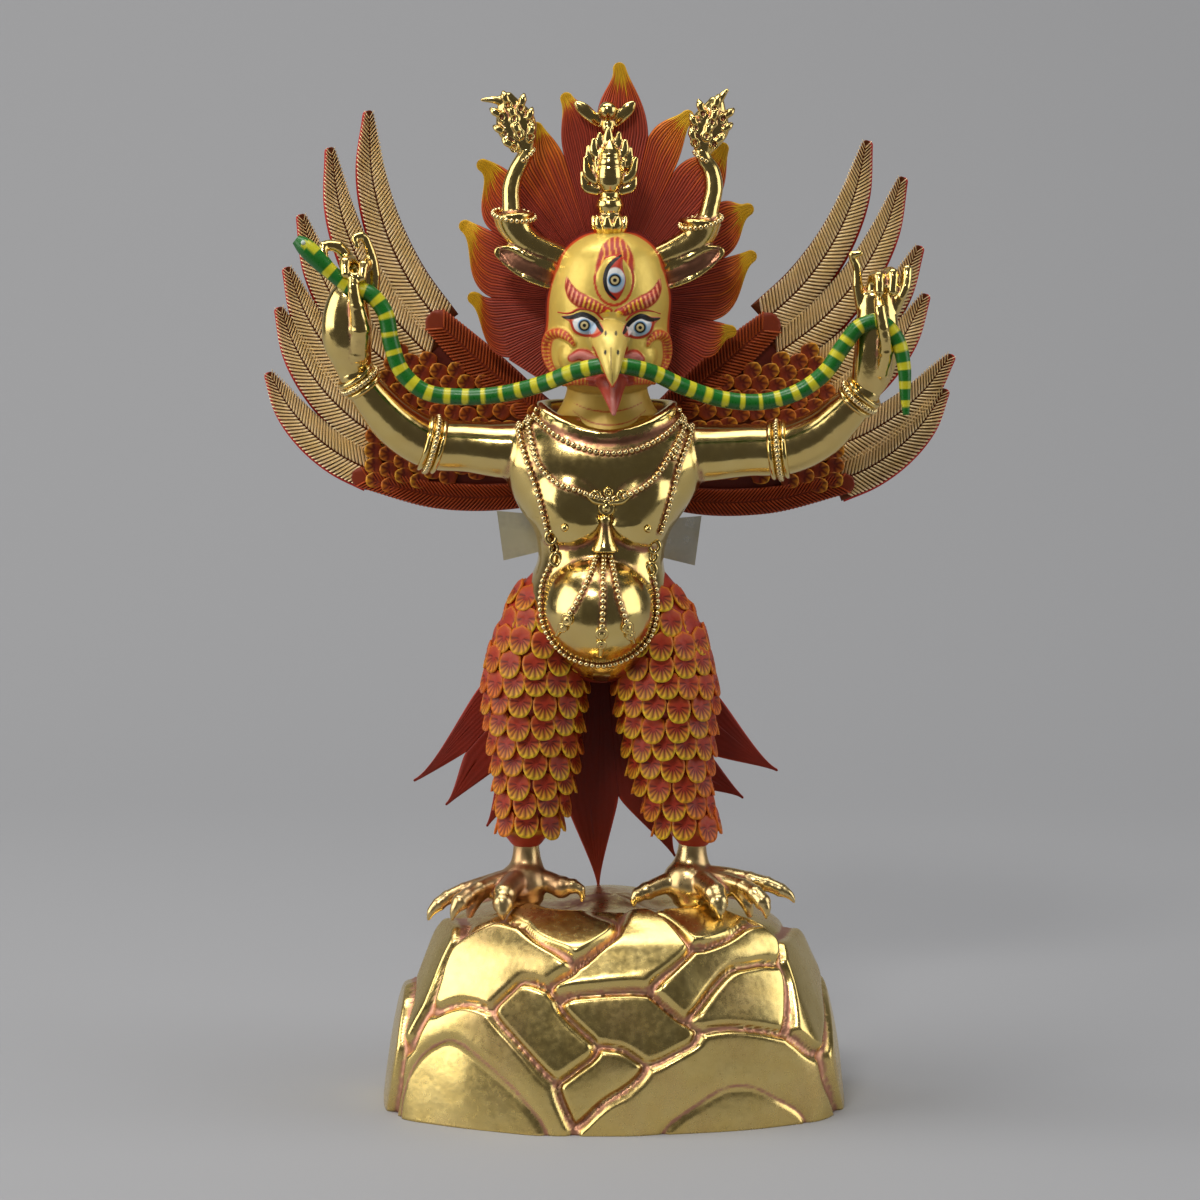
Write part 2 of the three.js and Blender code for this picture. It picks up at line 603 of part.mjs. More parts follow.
const SNAKE_PATH = [
  [-117, -19, 249.5], [-108, -19.5, 241.5], [-98, -20, 233.5], [-91, -20.5, 231], [-86, -21, 225],
  [-83.3, -21.5, 213], [-79.5, -22, 202.5], [-72, -22.5, 195.5], [-57, -23, 193], [-42, -24.5, 194.2],
  [-27, -28, 198.3], [-14, -33, 203.5], [-2, -35, 205.8], [12, -33, 203.4], [25, -28, 197.3],
  [40, -24.5, 192.2], [55, -23, 191.2], [68, -22.5, 194.8], [78, -22, 202], [85, -21, 212], [91, -20.5, 219],
  [98, -20, 220.8], [104.5, -20.5, 214.5], [107.3, -21, 205], [107.9, -21.5, 194], [108.3, -22, 184.5],
];

function snakeSolid(grow = 0) {
  const radius = SNAKE_DIAMETER / 2;
  const last = SNAKE_PATH.length - 1;
  const stations = SNAKE_PATH.map(([x, y, height], k) => {
    const head = k === 0 ? 0.75 : 1;
    const tail = Math.min(1, 0.3 + (last - k) * 0.24);
    const half = radius * head * tail * (k === 1 ? 1.2 : 1);
    return { point: at(x, y, height), across: half, depth: half };
  });
  return limb(stations, { sides: 5, steps: 32, grow, round: false });
}

// Head pieces

function beak() {
  const upper = [
    station(-2.3, -16, 218, 9.5, 9.5), station(-2.3, -26, 216.5, 8.4, 8), station(-2.2, -34, 213, 6.8, 6.6),
    station(-1.8, -40, 207.5, 4.6, 4.6), station(-1.4, -42.5, 202, 2.6, 3), station(-1.2, -42.8, 198.3, 0.9, 1),
  ];
  const lower = [
    station(-2, -14, 200.5, 8, 4.5), station(-1.6, -24, 198.5, 6.4, 4), station(-1.2, -31, 194.5, 4.4, 3.2),
    station(-0.8, -34.5, 190.5, 2.6, 2.2), station(-0.5, -36, 187.2, 0.8, 0.8),
  ];
  return [
    limb(upper, { sides: 6, steps: 5, facing: UPWARD, round: false }),
    limb(lower, { sides: 5, steps: 3, facing: UPWARD, round: false }),
  ];
}

function ear(sign, middle) {
  const out = (x) => middle + sign * x;
  return limb([
    station(out(19.5), -3, 235.5, 3.6, 2.6), station(out(29), -5, 240.5, 4.8, 3),
    station(out(37), -4, 245.5, 4, 2.2), station(out(42), -2, 248.5, 1.2, 1),
  ], { sides: 5, steps: 3, round: false });
}

const HEAD_MIDDLE = -2.2;

function headSolid() {
  const brows = [-1, 1].map((sign) => limb([[3.5, 223], [9, 229], [16, 231], [20.5, 236]].map(([aside, height]) => {
    const x = HEAD_MIDDLE + sign * aside;
    return station(x, trunkFront(FACE_ROWS, FACE_SQUARENESS, x, height), height, 2.2, 1.5);
  }), { sides: 4, steps: 3, round: false }));
  const skull = union([faceSolid(), neckSolid(), ...beak(), ...brows]);
  return union([skull, ear(-1, HEAD_MIDDLE), ear(1, HEAD_MIDDLE)]);
}

const HORN_PATH = [
  [16, -1, 243], [22, -2, 245], [29, -3, 247.5], [34.5, -2.5, 254], [36.3, -1, 262], [34.8, 0, 271], [31, 1, 277.5],
];

// A horn that curls up beside the head, with a bead ring at its bend and a flame jewel on its tip.
function horn(sign) {
  const out = (x) => HEAD_MIDDLE + sign * x;
  const root = HORN_DIAMETER / 2;
  const stations = HORN_PATH.map(([x, y, height], k) => {
    const half = root * lerp(1.05, 0.68, k / (HORN_PATH.length - 1));
    return { point: at(out(x), y, height), across: half, depth: half };
  });
  const bead = limb([station(out(33.2), -2.6, 253, 3.4), station(out(34.8), -2.2, 256.4, 3.4)]
    .map((s) => ({ ...s, across: root * 1.25, depth: root * 1.25 })), { sides: 6, steps: 1, round: false });
  const flame = limb([
    station(out(30.5), 1, 277, 2.2, 2), station(out(33), 0, 281, 5.2, 3.6), station(out(34.5), 0, 288, 6.2, 4),
    station(out(36), 0, 295, 4.6, 3), station(out(38.5), 0, 303, 1.2, 1),
  ], { sides: 5, steps: 4, round: false });
  const spark = limb([station(out(34), 0, 291, 3, 2.4), station(out(40), 0, 297, 2.2, 1.8), station(out(45.5), 0, 300, 1, 1)],
    { sides: 4, steps: 2, round: false });
  return union([limb(stations, { sides: 6, steps: 7, round: false }), bead, flame, spark]);
}

// Lotus foot, bud and flame jewel on the crown, as turned profiles of [radius, height].
function crestJewel() {
  const middle = -2;
  const depth = -7;
  const turned = (profile, sides) => {
    const rings = profile.map(([radius, height]) => Array.from({ length: sides }, (_, k) => {
      const turn = (2 * Math.PI * k) / sides;
      return at(middle + Math.cos(turn) * radius, depth + Math.sin(turn) * radius, height);
    }));
    return loft(rings);
  };
  const foot = turned([[4, 249], [6.8, 255], [4.4, 260], [5.6, 263.5], [4, 266.5]], 6);
  const jewel = turned([[3.4, 265], [5.4, 272], [2.6, 281], [0.6, 286]], 5);
  const flamePoints = 4;
  const marks = [{ tip: false, point: at(middle - 4, depth, 266.5) }];
  for (let k = 0; k < 2 * flamePoints + 1; k += 1) {
    const turn = Math.PI * lerp(1.08, -0.08, k / (2 * flamePoints));
    const reach = k % 2 ? 0.74 : 1;
    marks.push({
      tip: k % 2 === 0,
      point: at(middle + Math.cos(turn) * 10.8 * reach, depth, 274 + Math.sin(turn) * 17.4 * reach),
    });
  }
  marks.push({ tip: false, point: at(middle + 4, depth, 266.5) });
  const halo = swollenSheet(tongues(marks, 0, 0.2), at(middle, depth, 274), 2.2 * UNIT, [0.5]);
  return union([foot, jewel, halo]);
}

const MANE_DEPTH = 12;
const MANE_MARKS = [
  [25.8, 196.2, 0], [33.8, 204.2, 0], [45.9, 214.1, 1], [36.4, 219, 0], [53.3, 244.2, 1], [40.5, 243.3, 0],
  [51.4, 262.5, 1], [39.7, 260.6, 0], [40.9, 285.8, 1], [21.5, 274.5, 0], [27.5, 297.8, 1], [12.4, 288.3, 0],
  [1.4, 316.1, 1], [-8.9, 295.9, 0], [-17, 304.2, 1], [-18.9, 281.3, 0], [-28.7, 292.5, 1], [-40.1, 275.3, 0],
  [-50.6, 278.7, 1], [-45.8, 252.8, 0], [-58.3, 255.9, 1], [-47.8, 230.4, 0], [-55, 228.1, 1], [-49.7, 217.1, 0],
  [-28.9, 197.3, 0], [-3, 191, 0],
];

function maneSolid(grow = 0) {
  const marks = MANE_MARKS.map(([x, height, tip]) => ({ tip: tip === 1, point: at(x, MANE_DEPTH, height) }));
  const centre = at(-2.5, MANE_DEPTH, 226);
  return swollenSheet(tongues(marks, 1, 0.25), centre, MANE_THICKNESS / 2 + grow, [0.6]);
}

function maneOrnament() {
  const y = MANE_DEPTH - 5;
  const ball = limb([station(-2.7, y, 296.2, 3), station(-2.7, y, 297.2, 3)], { sides: 6, steps: 1 });
  const leaves = [-1, 1].map((sign) => limb([
    station(-2.7 + sign * 1, y + 1, 291.5, 1.8), station(-2.7 + sign * 6, y, 295, 2.6, 2),
    station(-2.7 + sign * 11.4, y, 299, 1.2, 1),
  ], { sides: 4, steps: 2, round: false }));
  const peg = limb([station(-2.7, y - 1.5, 292.8, 2.6), station(-2.7, y + 5, 292.8, 2.6)],
    { sides: 5, steps: 1, facing: UPWARD, round: false });
  return union([ball, peg, ...leaves]);
}

// Wings: six long feathers fan out of a field of small ones

const WING_DEPTH = 24;
const LEFT_WING = {
  roots: [[-70, 222], [-98, 160]],
  tips: [[-94.2, 299.2], [-109.1, 285.2], [-120.6, 259.7], [-126.3, 239.5], [-129.5, 224.2], [-133.9, 199]],
  field: [
    [-14, 176], [-36.3, 201.2], [-52, 211.6], [-62.3, 218.9], [-71, 229], [-86, 212], [-92, 190], [-99, 170], [-104, 158.8],
    [-94.1, 153.4], [-81.6, 149.3], [-69, 147.2], [-54.2, 147.2], [-36, 151.5], [-14, 158],
  ],
};
const RIGHT_WING = {
  roots: [[61, 224], [90, 157]],
  tips: [[96.9, 287.7], [110.6, 273.8], [117.4, 247.5], [120, 229.1], [130.2, 205.6], [128, 192.5]],
  field: [
    [6, 176], [33.7, 202.5], [41.8, 206.6], [53.6, 214.6], [63, 225.5], [74, 208], [80, 190], [87, 168], [91, 154],
    [77.2, 146.6], [59, 144.1], [43.9, 144.1], [33.9, 145.1], [20, 150], [6, 158],
  ],
};

// A feather with a ridge down its middle, a blunt root and a rounded tip.
function feather(root, tip, sag) {
  const from = at(root[0], WING_DEPTH, root[1]);
  const to = at(tip[0], WING_DEPTH + 1, tip[1]);
  const along = to.clone().sub(from);
  const aside = new THREE.Vector3(0, 1, 0).cross(along).normalize();
  const bend = from.clone().lerp(to, 0.5).addScaledVector(aside, sag * along.length());
  const spine = new THREE.QuadraticBezierCurve3(from, bend, to);
  const widths = [[0, 0.85], [0.4, 1], [0.78, 0.8], [1, 0.1]];
  const rings = widths.map(([share, wide]) => {
    const point = spine.getPoint(share);
    const across = new THREE.Vector3(0, 1, 0).cross(spine.getTangent(share)).normalize();
    const half = (FEATHER_WIDTH / 2) * wide;
    const ridge = FEATHER_THICKNESS * lerp(0.35, 0.6, wide);
    return [
      point.clone().addScaledVector(across, half),
      point.clone().addScaledVector(FORWARD, ridge),
      point.clone().addScaledVector(across, -half),
      point.clone().addScaledVector(FORWARD, ridge - FEATHER_THICKNESS),
    ];
  });
  return loft(rings);
}

// A small feather on the field: a round-ended scale that stands out at its free end.
function covert(x, height, turn, size) {
  const direction = new THREE.Vector3(Math.cos(turn), 0, Math.sin(turn));
  const across = new THREE.Vector3(-Math.sin(turn), 0, Math.cos(turn));
  const front = at(x, WING_DEPTH - FEATHER_THICKNESS / UNIT, height);
  const outline = [[-0.8, 0], [0.3, 0.62], [1, 0], [0.3, -0.62]];
  const ring = (lift, share) => outline.map(([forth, wide]) => front.clone()
    .addScaledVector(direction, forth * size * share)
    .addScaledVector(across, wide * size * share)
    .addScaledVector(FORWARD, lift + forth * 0.6));
  return loft([ring(-1.5, 0.85), ring(1.2, 1)], undefined, front.clone().addScaledVector(FORWARD, 2.2));
}

function wing(plan, sign) {
  const feathers = plan.tips.map((tip, k) => {
    const share = k / (plan.tips.length - 1);
    const root = [0, 1].map((axis) => lerp(plan.roots[0][axis], plan.roots[1][axis], share));
    const heart = [sign * 40, 180];
    const inner = [0, 1].map((axis) => lerp(root[axis], heart[axis], 0.12));
    return feather(inner, tip, sign * lerp(0.1, 0.2, share));
  });
  const outline = plan.field.map(([x, height]) => at(x, WING_DEPTH, height));
  const field = swollenSheet(outline, at(sign * 58, WING_DEPTH, 182), FEATHER_THICKNESS * 1.1, [0.7]);
  const coverts = [];
  for (let row = 0; row < 2; row += 1) {
    for (let k = 0; k < 2 + row; k += 1) {
      const turn = THREE.MathUtils.degToRad(lerp(26, -26, k / (1 + row)));
      const reach = 22 + row * 19;
      const x = 32 + Math.cos(turn) * reach;
      const height = 180 + Math.sin(turn) * reach * 1.1;
      coverts.push(covert(sign * x, height, sign > 0 ? turn : Math.PI - turn, 11 * UNIT));
    }
  }
  return union([field, ...feathers, ...coverts]);
}

// Tail: pointed feathers cut into one thin sheet

const TAIL_MARKS = [
  [-34, 104, 0], [-50.7, 73.1, 0], [-78.1, 39, 1], [-58.6, 49.6, 0], [-65.7, 29.4, 1], [-45.4, 44, 0], [-49.8, 20.8, 1],
  [-33, 38, 0], [-35, 8.7, 1], [-18.9, 32.1, 0], [-6.3, -4, 1], [1.7, 32, 0], [23.7, 8.7, 1], [24, 38, 0],
  [38.3, 21, 1], [34, 36, 0], [50, 32.1, 1], [37.4, 49.1, 0], [63.3, 43.1, 1], [39.3, 68.2, 0], [24, 104, 0],
  [-5, 110, 0],
];

function tailSolid() {
  const lean = (height) => lerp(28.5, 21.5, height / 110);
  const marks = TAIL_MARKS.map(([x, height, tip]) => ({ tip: tip === 1, point: at(x, lean(height), height) }));
  const centre = at(-5, lean(96), 96);
  const sheet = swollenSheet(tongues(marks, 0, 0.2), centre, TAIL_THICKNESS / 2, [0.55]);
  const root = limb([station(-5, 16, 106, 8, 6), station(-5, 22, 98, 10, 4)], { sides: 6, steps: 1, round: false });
  return union([sheet, root]);
}

// Yellowed film stuck to the side of the waist: a thin plate with slanted ends.
function tapeTab(sign, x, height) {
  const shape = new THREE.Shape();
  shape.moveTo(-TAPE_WIDTH / 2, TAPE_HEIGHT / 2);
  shape.lineTo(TAPE_WIDTH / 2, TAPE_HEIGHT * 0.42);
  shape.lineTo(TAPE_WIDTH / 2, -TAPE_HEIGHT * 0.3);
  shape.lineTo(-TAPE_WIDTH * 0.36, -TAPE_HEIGHT / 2);
  shape.closePath();
  const plate = new THREE.ExtrudeGeometry(shape, { depth: TAPE_THICKNESS, bevelEnabled: false });
  if (sign > 0) {
    plate.rotateY(Math.PI);
  }
  plate.rotateX(Math.PI / 2);
  const place = at(x, 9, height);
  plate.translate(place.x, place.y, place.z);
  return solidOf(plate);
}

// Assembly

const GILT = { color: 0xc9a85a, roughness: 0.25, metalness: 1 };
const GOLD_PAINT = { color: 0xd8b13c, roughness: 0.5, metalness: 0.4 };
const MAROON_PAINT = { color: 0x8c3026, roughness: 0.6, metalness: 0 };
const ORANGE_PAINT = { color: 0xb0451c, roughness: 0.6, metalness: 0 };
const GREEN_PAINT = { color: 0x1c6b30, roughness: 0.35, metalness: 0 };
const FILM = { color: 0xcfc9a0, roughness: 0.5, metalness: 0 };

const snake = snakeSolid();
const snakeRoom = snakeSolid(GAP);
const trunkRoom = trunkSolid(GAP);

const base = rockBase();
const bodyParts = [
  trunkSolid(), ...necklaces(), collar(), ...pendant(),
  arm(LEFT_ARM), arm(RIGHT_ARM),
  ...leftHand(), ...rightHand(),
  scaledLeg(LEFT_LEG), scaledLeg(RIGHT_LEG), ...leftFoot(), ...rightFoot(),
];
const body = without(union(bodyParts), neckSolid(GAP), rockBase(GAP), snakeRoom);
const head = without(headSolid(), snakeRoom);
const headRoom = union([faceSolid(GAP), neckSolid(GAP)]);
const mane = without(maneSolid(), headRoom, trunkRoom);

addPiece('plinth', base, GILT);
addPiece('body', body, GILT);
addPiece('head', head, GOLD_PAINT);
addPiece('flame_mane', mane, MAROON_PAINT);
addPiece('horn_left', without(horn(-1), faceSolid(GAP), ear(-1, HEAD_MIDDLE)), GILT);
addPiece('horn_right', without(horn(1), faceSolid(GAP), ear(1, HEAD_MIDDLE)), GILT);
addPiece('crest_jewel', without(crestJewel(), headRoom, maneSolid(GAP)), GILT);
addPiece('mane_ornament', without(maneOrnament(), maneSolid(GAP)), GILT);
addPiece('wing_left', without(wing(LEFT_WING, -1), trunkRoom), ORANGE_PAINT);
addPiece('wing_right', without(wing(RIGHT_WING, 1), trunkRoom), ORANGE_PAINT);
addPiece('tail', without(tailSolid(), trunkRoom, scaledLeg(LEFT_LEG, GAP), scaledLeg(RIGHT_LEG, GAP), rockBase(GAP)),
  MAROON_PAINT);
addPiece('snake', snake, GREEN_PAINT);
addPiece('tape_tab_left', without(tapeTab(-1, -36, 137), trunkRoom), FILM);
addPiece('tape_tab_right', without(tapeTab(1, 24, 135), trunkRoom), FILM);

export default group;
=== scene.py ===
# %% [markdown]
# # A gilt bird deity on a rock base
# The figure is cast copper, gilded with fire and polished. Its face, flame hair, wings, legs, tail and
# snake are painted over the gold. Each casting of the real object is one piece here, in metres, in the
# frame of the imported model.

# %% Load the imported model
import bpy
import math
import numpy as np
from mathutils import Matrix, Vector
from mathutils.bvhtree import BVHTree
from mathutils.kdtree import KDTree


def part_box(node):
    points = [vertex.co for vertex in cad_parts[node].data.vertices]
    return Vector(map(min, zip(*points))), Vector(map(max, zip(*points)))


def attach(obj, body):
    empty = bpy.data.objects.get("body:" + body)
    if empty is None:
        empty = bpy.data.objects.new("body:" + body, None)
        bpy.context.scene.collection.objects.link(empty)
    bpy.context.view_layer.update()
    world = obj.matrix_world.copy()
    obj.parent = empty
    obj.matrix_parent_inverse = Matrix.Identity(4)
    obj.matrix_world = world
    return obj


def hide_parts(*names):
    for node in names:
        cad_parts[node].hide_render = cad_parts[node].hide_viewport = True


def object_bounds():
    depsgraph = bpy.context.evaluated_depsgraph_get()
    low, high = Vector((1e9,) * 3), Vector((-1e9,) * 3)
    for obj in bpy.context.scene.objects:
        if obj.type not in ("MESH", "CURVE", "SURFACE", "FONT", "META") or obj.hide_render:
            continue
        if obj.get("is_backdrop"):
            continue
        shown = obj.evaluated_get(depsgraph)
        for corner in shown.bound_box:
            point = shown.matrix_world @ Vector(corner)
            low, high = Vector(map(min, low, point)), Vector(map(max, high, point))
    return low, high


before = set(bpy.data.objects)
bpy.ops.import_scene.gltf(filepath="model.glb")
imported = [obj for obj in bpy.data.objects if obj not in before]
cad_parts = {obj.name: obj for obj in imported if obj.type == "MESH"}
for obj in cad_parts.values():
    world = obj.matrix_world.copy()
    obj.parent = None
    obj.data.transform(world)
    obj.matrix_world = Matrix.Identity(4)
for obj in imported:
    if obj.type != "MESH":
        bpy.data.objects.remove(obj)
CAD_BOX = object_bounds()
print("nodes:", ", ".join(sorted(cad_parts)))

# %% [markdown]
# All tables below are in millimetres, with x to the right, y to the back and the height counted from
# the soles of the feet. One constant turns them into metres, and one puts the soles on the rock.

# %% Units
MM = 0.001
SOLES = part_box("plinth")[1][2] / MM
TO_SOLES = np.array([0, 0, SOLES])


def placed(name, data):
    """A new object in the scene."""
    thing = bpy.data.objects.new(name, data)
    bpy.context.scene.collection.objects.link(thing)
    return thing


print("height of the soles above the table:", round(SOLES, 2), "mm")

# %% [markdown]
# The photograph was taken with a long lens from a little above. The camera looks down by 8 degrees at a
# point near the throat, and the frame is 456 mm wide there.

# %% Camera
LOOK_AT = Vector((-0.0057, 0.0, 0.19345))
LOOK_DOWN = math.radians(8)
LENS_TO_FIGURE = 1.6
FRAME_WIDTH = 0.456

camera_data = bpy.data.cameras.new("studio_camera")
camera_data.sensor_width = 36
camera_data.lens = 36 * LENS_TO_FIGURE / FRAME_WIDTH
camera_data.clip_end = 20
camera = placed("studio_camera", camera_data)
camera.location = LOOK_AT + Vector((0, -math.cos(LOOK_DOWN), math.sin(LOOK_DOWN))) * LENS_TO_FIGURE
camera.rotation_euler = (math.radians(90) - LOOK_DOWN, 0, 0)
bpy.context.scene.camera = camera
print("lens:", round(camera_data.lens, 1), "mm")

# %% [markdown]
# Every metal and paint below has the same small helpers: they add a node and wire it, make a material
# or a group with named sockets, mix two colours, and stretch a value from one range to another.

# %% Node helpers


def feed(tree, node, values):
    """Set or link a node's inputs."""
    for socket, value in values.items():
        if isinstance(value, bpy.types.NodeSocket):
            tree.links.new(value, node.inputs[socket])
        else:
            node.inputs[socket].default_value = value
    return node


def wired(tree, kind, values=None, **settings):
    """Add a node, set its properties and feed its inputs."""
    node = tree.nodes.new(kind)
    for name, value in settings.items():
        setattr(node, name, value)
    return feed(tree, node, values or {})


def new_group(kind, name, inputs, outputs):
    """A node group with named sockets: the tree, the given values and the output node."""
    tree = bpy.data.node_groups.new(name, kind)
    for side, sockets in (("INPUT", inputs), ("OUTPUT", outputs)):
        for title, (socket_kind, *value) in sockets.items():
            socket = tree.interface.new_socket(name=title, in_out=side,
                                               socket_type="NodeSocket" + socket_kind)
            if value:
                socket.default_value = value[0]
    return tree, tree.nodes.new("NodeGroupInput").outputs, tree.nodes.new("NodeGroupOutput")


def new_material(name, values):
    """A material, its tree and its shader."""
    material = bpy.data.materials.new(name)
    material.use_nodes = True
    tree = material.node_tree
    return material, tree, feed(tree, tree.nodes["Principled BSDF"], values)


def blend(tree, share, first, second):
    """Mix two colours by a share."""
    return wired(tree, "ShaderNodeMix", {0: share, 6: first, 7: second}, data_type="RGBA",
                 clamp_factor=True).outputs[2]


def reach(tree, value, low, high, to_low=0.0, to_high=1.0):
    """Stretch a value from one range to another, clamped."""
    return wired(tree, "ShaderNodeMapRange", {0: value, 1: low, 2: high, 3: to_low, 4: to_high},
                 clamp=True).outputs[0]


def sum_of(tree, operation, first, second):
    """One step of arithmetic."""
    return wired(tree, "ShaderNodeMath", {0: first, 1: second}, operation=operation).outputs[0]


def noise(tree, place, scale, detail):
    """Soft random values over the surface."""
    return wired(tree, "ShaderNodeTexNoise", {"Vector": place, "Scale": scale, "Detail": detail}).outputs[0]


print("node helpers ready")

# %% [markdown]
# Polished gold shows its surroundings more than itself, so the studio is the first material. A grey
# paper sweep stands behind and under the figure; it is seen from its front only, so that it hides
# nothing from someone who walks round. Two tall softboxes stand at the sides and one hangs above, and
# the dim room in front of the figure gives the gold its dark middle.

# %% Paper sweep
PAPER, paper_tree, paper_shader = new_material(
    "grey_paper", {"Base Color": (0.36, 0.362, 0.372, 1), "Roughness": 0.85, "Specular IOR Level": 0.2})
from_behind = paper_tree.nodes.new("ShaderNodeNewGeometry").outputs["Backfacing"]
clear = paper_tree.nodes.new("ShaderNodeBsdfTransparent").outputs[0]
one_sided = wired(paper_tree, "ShaderNodeMixShader", {0: from_behind, 1: paper_shader.outputs[0], 2: clear})
feed(paper_tree, paper_tree.nodes["Material Output"], {"Surface": one_sided.outputs[0]})


def paper_sweep(half_width, front, back, bend, top):
    """The profile of a paper roll: flat on the table, bent, then upright, drawn out sideways."""
    turns = [math.radians(90 * k / 16) for k in range(17)]
    bent = [(back - bend + bend * math.sin(turn), bend - bend * math.cos(turn)) for turn in turns]
    profile = [(front, 0.0)] + bent + [(back, top)]
    points = [(x, y, z) for x in (-half_width, half_width) for y, z in profile]
    count = len(profile)
    mesh = bpy.data.meshes.new("paper_sweep")
    mesh.from_pydata(points, [], [(k, k + 1, count + k + 1, count + k) for k in range(count - 1)])
    mesh.polygons.foreach_set("use_smooth", [True] * (count - 1))
    mesh.flip_normals()
    mesh.materials.append(PAPER)
    return placed("paper_sweep", mesh)


paper_sweep(half_width=2.6, front=-0.42, back=1.5, bend=0.9, top=3.0)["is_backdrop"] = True
print("paper sweep up")

# %% Softboxes and room light


def softbox(name, place, target, size, power, colour=(1, 1, 1)):
    """A rectangular lamp that faces its target."""
    lamp = bpy.data.lights.new(name, "AREA")
    lamp.shape = "RECTANGLE"
    lamp.size, lamp.size_y = size
    lamp.energy = power
    lamp.color = colour
    stand = placed(name, lamp)
    stand.location = place
    stand.rotation_euler = (Vector(target) - Vector(place)).to_track_quat("-Z", "Y").to_euler()


CHEST = (0.0, 0.0, 0.2)
softbox("left_softbox", (-1.6, -0.5, 0.72), CHEST, (1.5, 1.36), 18, (1.0, 0.985, 0.96))
softbox("right_softbox", (1.7, -0.35, 0.7), CHEST, (1.3, 1.3), 10.5, (0.97, 0.985, 1.0))
softbox("top_softbox", (0.0, -0.1, 1.9), CHEST, (1.6, 0.9), 15)
softbox("front_fill", (-0.5, -1.6, 1.75), CHEST, (0.5, 0.25), 13, (1.0, 0.98, 0.95))
softbox("paper_light", (-0.9, 0.15, 2.2), (-0.35, 1.3, 0.4), (1.6, 0.6), 12)

room = bpy.data.worlds.new("dim_room")
room.use_nodes = True
room_tree = room.node_tree
dim = feed(room_tree, room_tree.nodes["Background"], {"Color": (0.20, 0.19, 0.18, 1), "Strength": 0.35})
pale_wall = wired(room_tree, "ShaderNodeBackground", {"Color": (0.33, 0.33, 0.34, 1)})
seen = room_tree.nodes.new("ShaderNodeLightPath").outputs["Is Camera Ray"]
walls = wired(room_tree, "ShaderNodeMixShader", {0: seen, 1: dim.outputs[0], 2: pale_wall.outputs[0]})
feed(room_tree, room_tree.nodes["World Output"], {"Surface": walls.outputs[0]})
bpy.context.scene.world = room
bpy.context.scene.view_settings.view_transform = "Standard"

# %% [markdown]
# Fire gilding is a thin skin of gold on copper. It is worn off, or was never thick, in the crevices, and
# there the copper shines through pink and brown. One group makes this for all the gilt castings. It
# takes the crevice depth that each mesh carries, breaks it up with noise, and gives the colour, the
# roughness and the height of small dents and file marks.

# %% Worn gilding
COAT_OUTPUTS = {"Color": ("Color",), "Roughness": ("Float",), "Height": ("Float",)}


def gilding_group():
    """Colour, roughness and height of fire gilt copper."""
    tree, given, out = new_group("ShaderNodeTree", "Worn gilding", {
        "Vector": ("Vector",), "Crevice": ("Float", 0.0), "Gold": ("Color", (0.78, 0.58, 0.2, 1)),
        "Copper": ("Color", (0.56, 0.3, 0.18, 1)), "Polish": ("Float", 0.17), "Thin gold": ("Float", 0.1)},
        COAT_OUTPUTS)
    broad = noise(tree, given["Vector"], 38.0, 3.0)
    fine = noise(tree, given["Vector"], 420.0, 4.0)
    dents = noise(tree, given["Vector"], 130.0, 2.0)
    ragged = sum_of(tree, "MULTIPLY", given["Crevice"], reach(tree, fine, 0.3, 0.7, 0.55, 1.35))
    thin = sum_of(tree, "MULTIPLY", reach(tree, broad, 0.48, 0.72), given["Thin gold"])
    share = sum_of(tree, "MAXIMUM", reach(tree, ragged, 0.12, 0.72), thin)
    pale = blend(tree, reach(tree, dents, 0.35, 0.7, 0.0, 0.35), given["Gold"], (0.86, 0.69, 0.3, 1))
    uneven = sum_of(tree, "ADD", given["Polish"], reach(tree, fine, 0.3, 0.75, -0.03, 0.07))
    feed(tree, out, {"Color": blend(tree, share, pale, given["Copper"]),
                     "Roughness": sum_of(tree, "ADD", uneven, sum_of(tree, "MULTIPLY", share, 0.2)),
                     "Height": sum_of(tree, "ADD", dents, sum_of(tree, "MULTIPLY", fine, 0.12))})
    return tree


def coated(name, group, reads, values, bump, shader_values):
    """A material whose group turns what the mesh carries into colour, roughness and height."""
    material, tree, shader = new_material(name, shader_values)
    place = tree.nodes.new("ShaderNodeTexCoord").outputs["Object"]
    coat = wired(tree, "ShaderNodeGroup", {"Vector": place}, node_tree=group)
    feed(tree, coat, values)
    for socket, (attribute, output) in reads.items():
        value = wired(tree, "ShaderNodeAttribute", attribute_name=attribute).outputs[output]
        feed(tree, coat, {socket: value})
        if attribute == "gold":
            feed(tree, shader, {"Metallic": value})
    height = wired(tree, "ShaderNodeBump",
                   {"Height": coat.outputs["Height"], "Strength": 0.5, "Distance": bump})
    feed(tree, shader, {"Base Color": coat.outputs["Color"], "Roughness": coat.outputs["Roughness"],
                        "Normal": height.outputs[0]})
    return material


WORN_GILDING = gilding_group()


def gilt_finish(name, polish, thin_gold, dent=0.0002, gold=(0.78, 0.58, 0.2, 1),
                copper=(0.42, 0.19, 0.11, 1)):
    """A gilt metal with its own polish."""
    values = {"Gold": gold, "Copper": copper, "Polish": polish, "Thin gold": thin_gold}
    return coated(name, WORN_GILDING, {"Crevice": ("crevice", "Fac")}, values, dent, {"Metallic": 1.0})


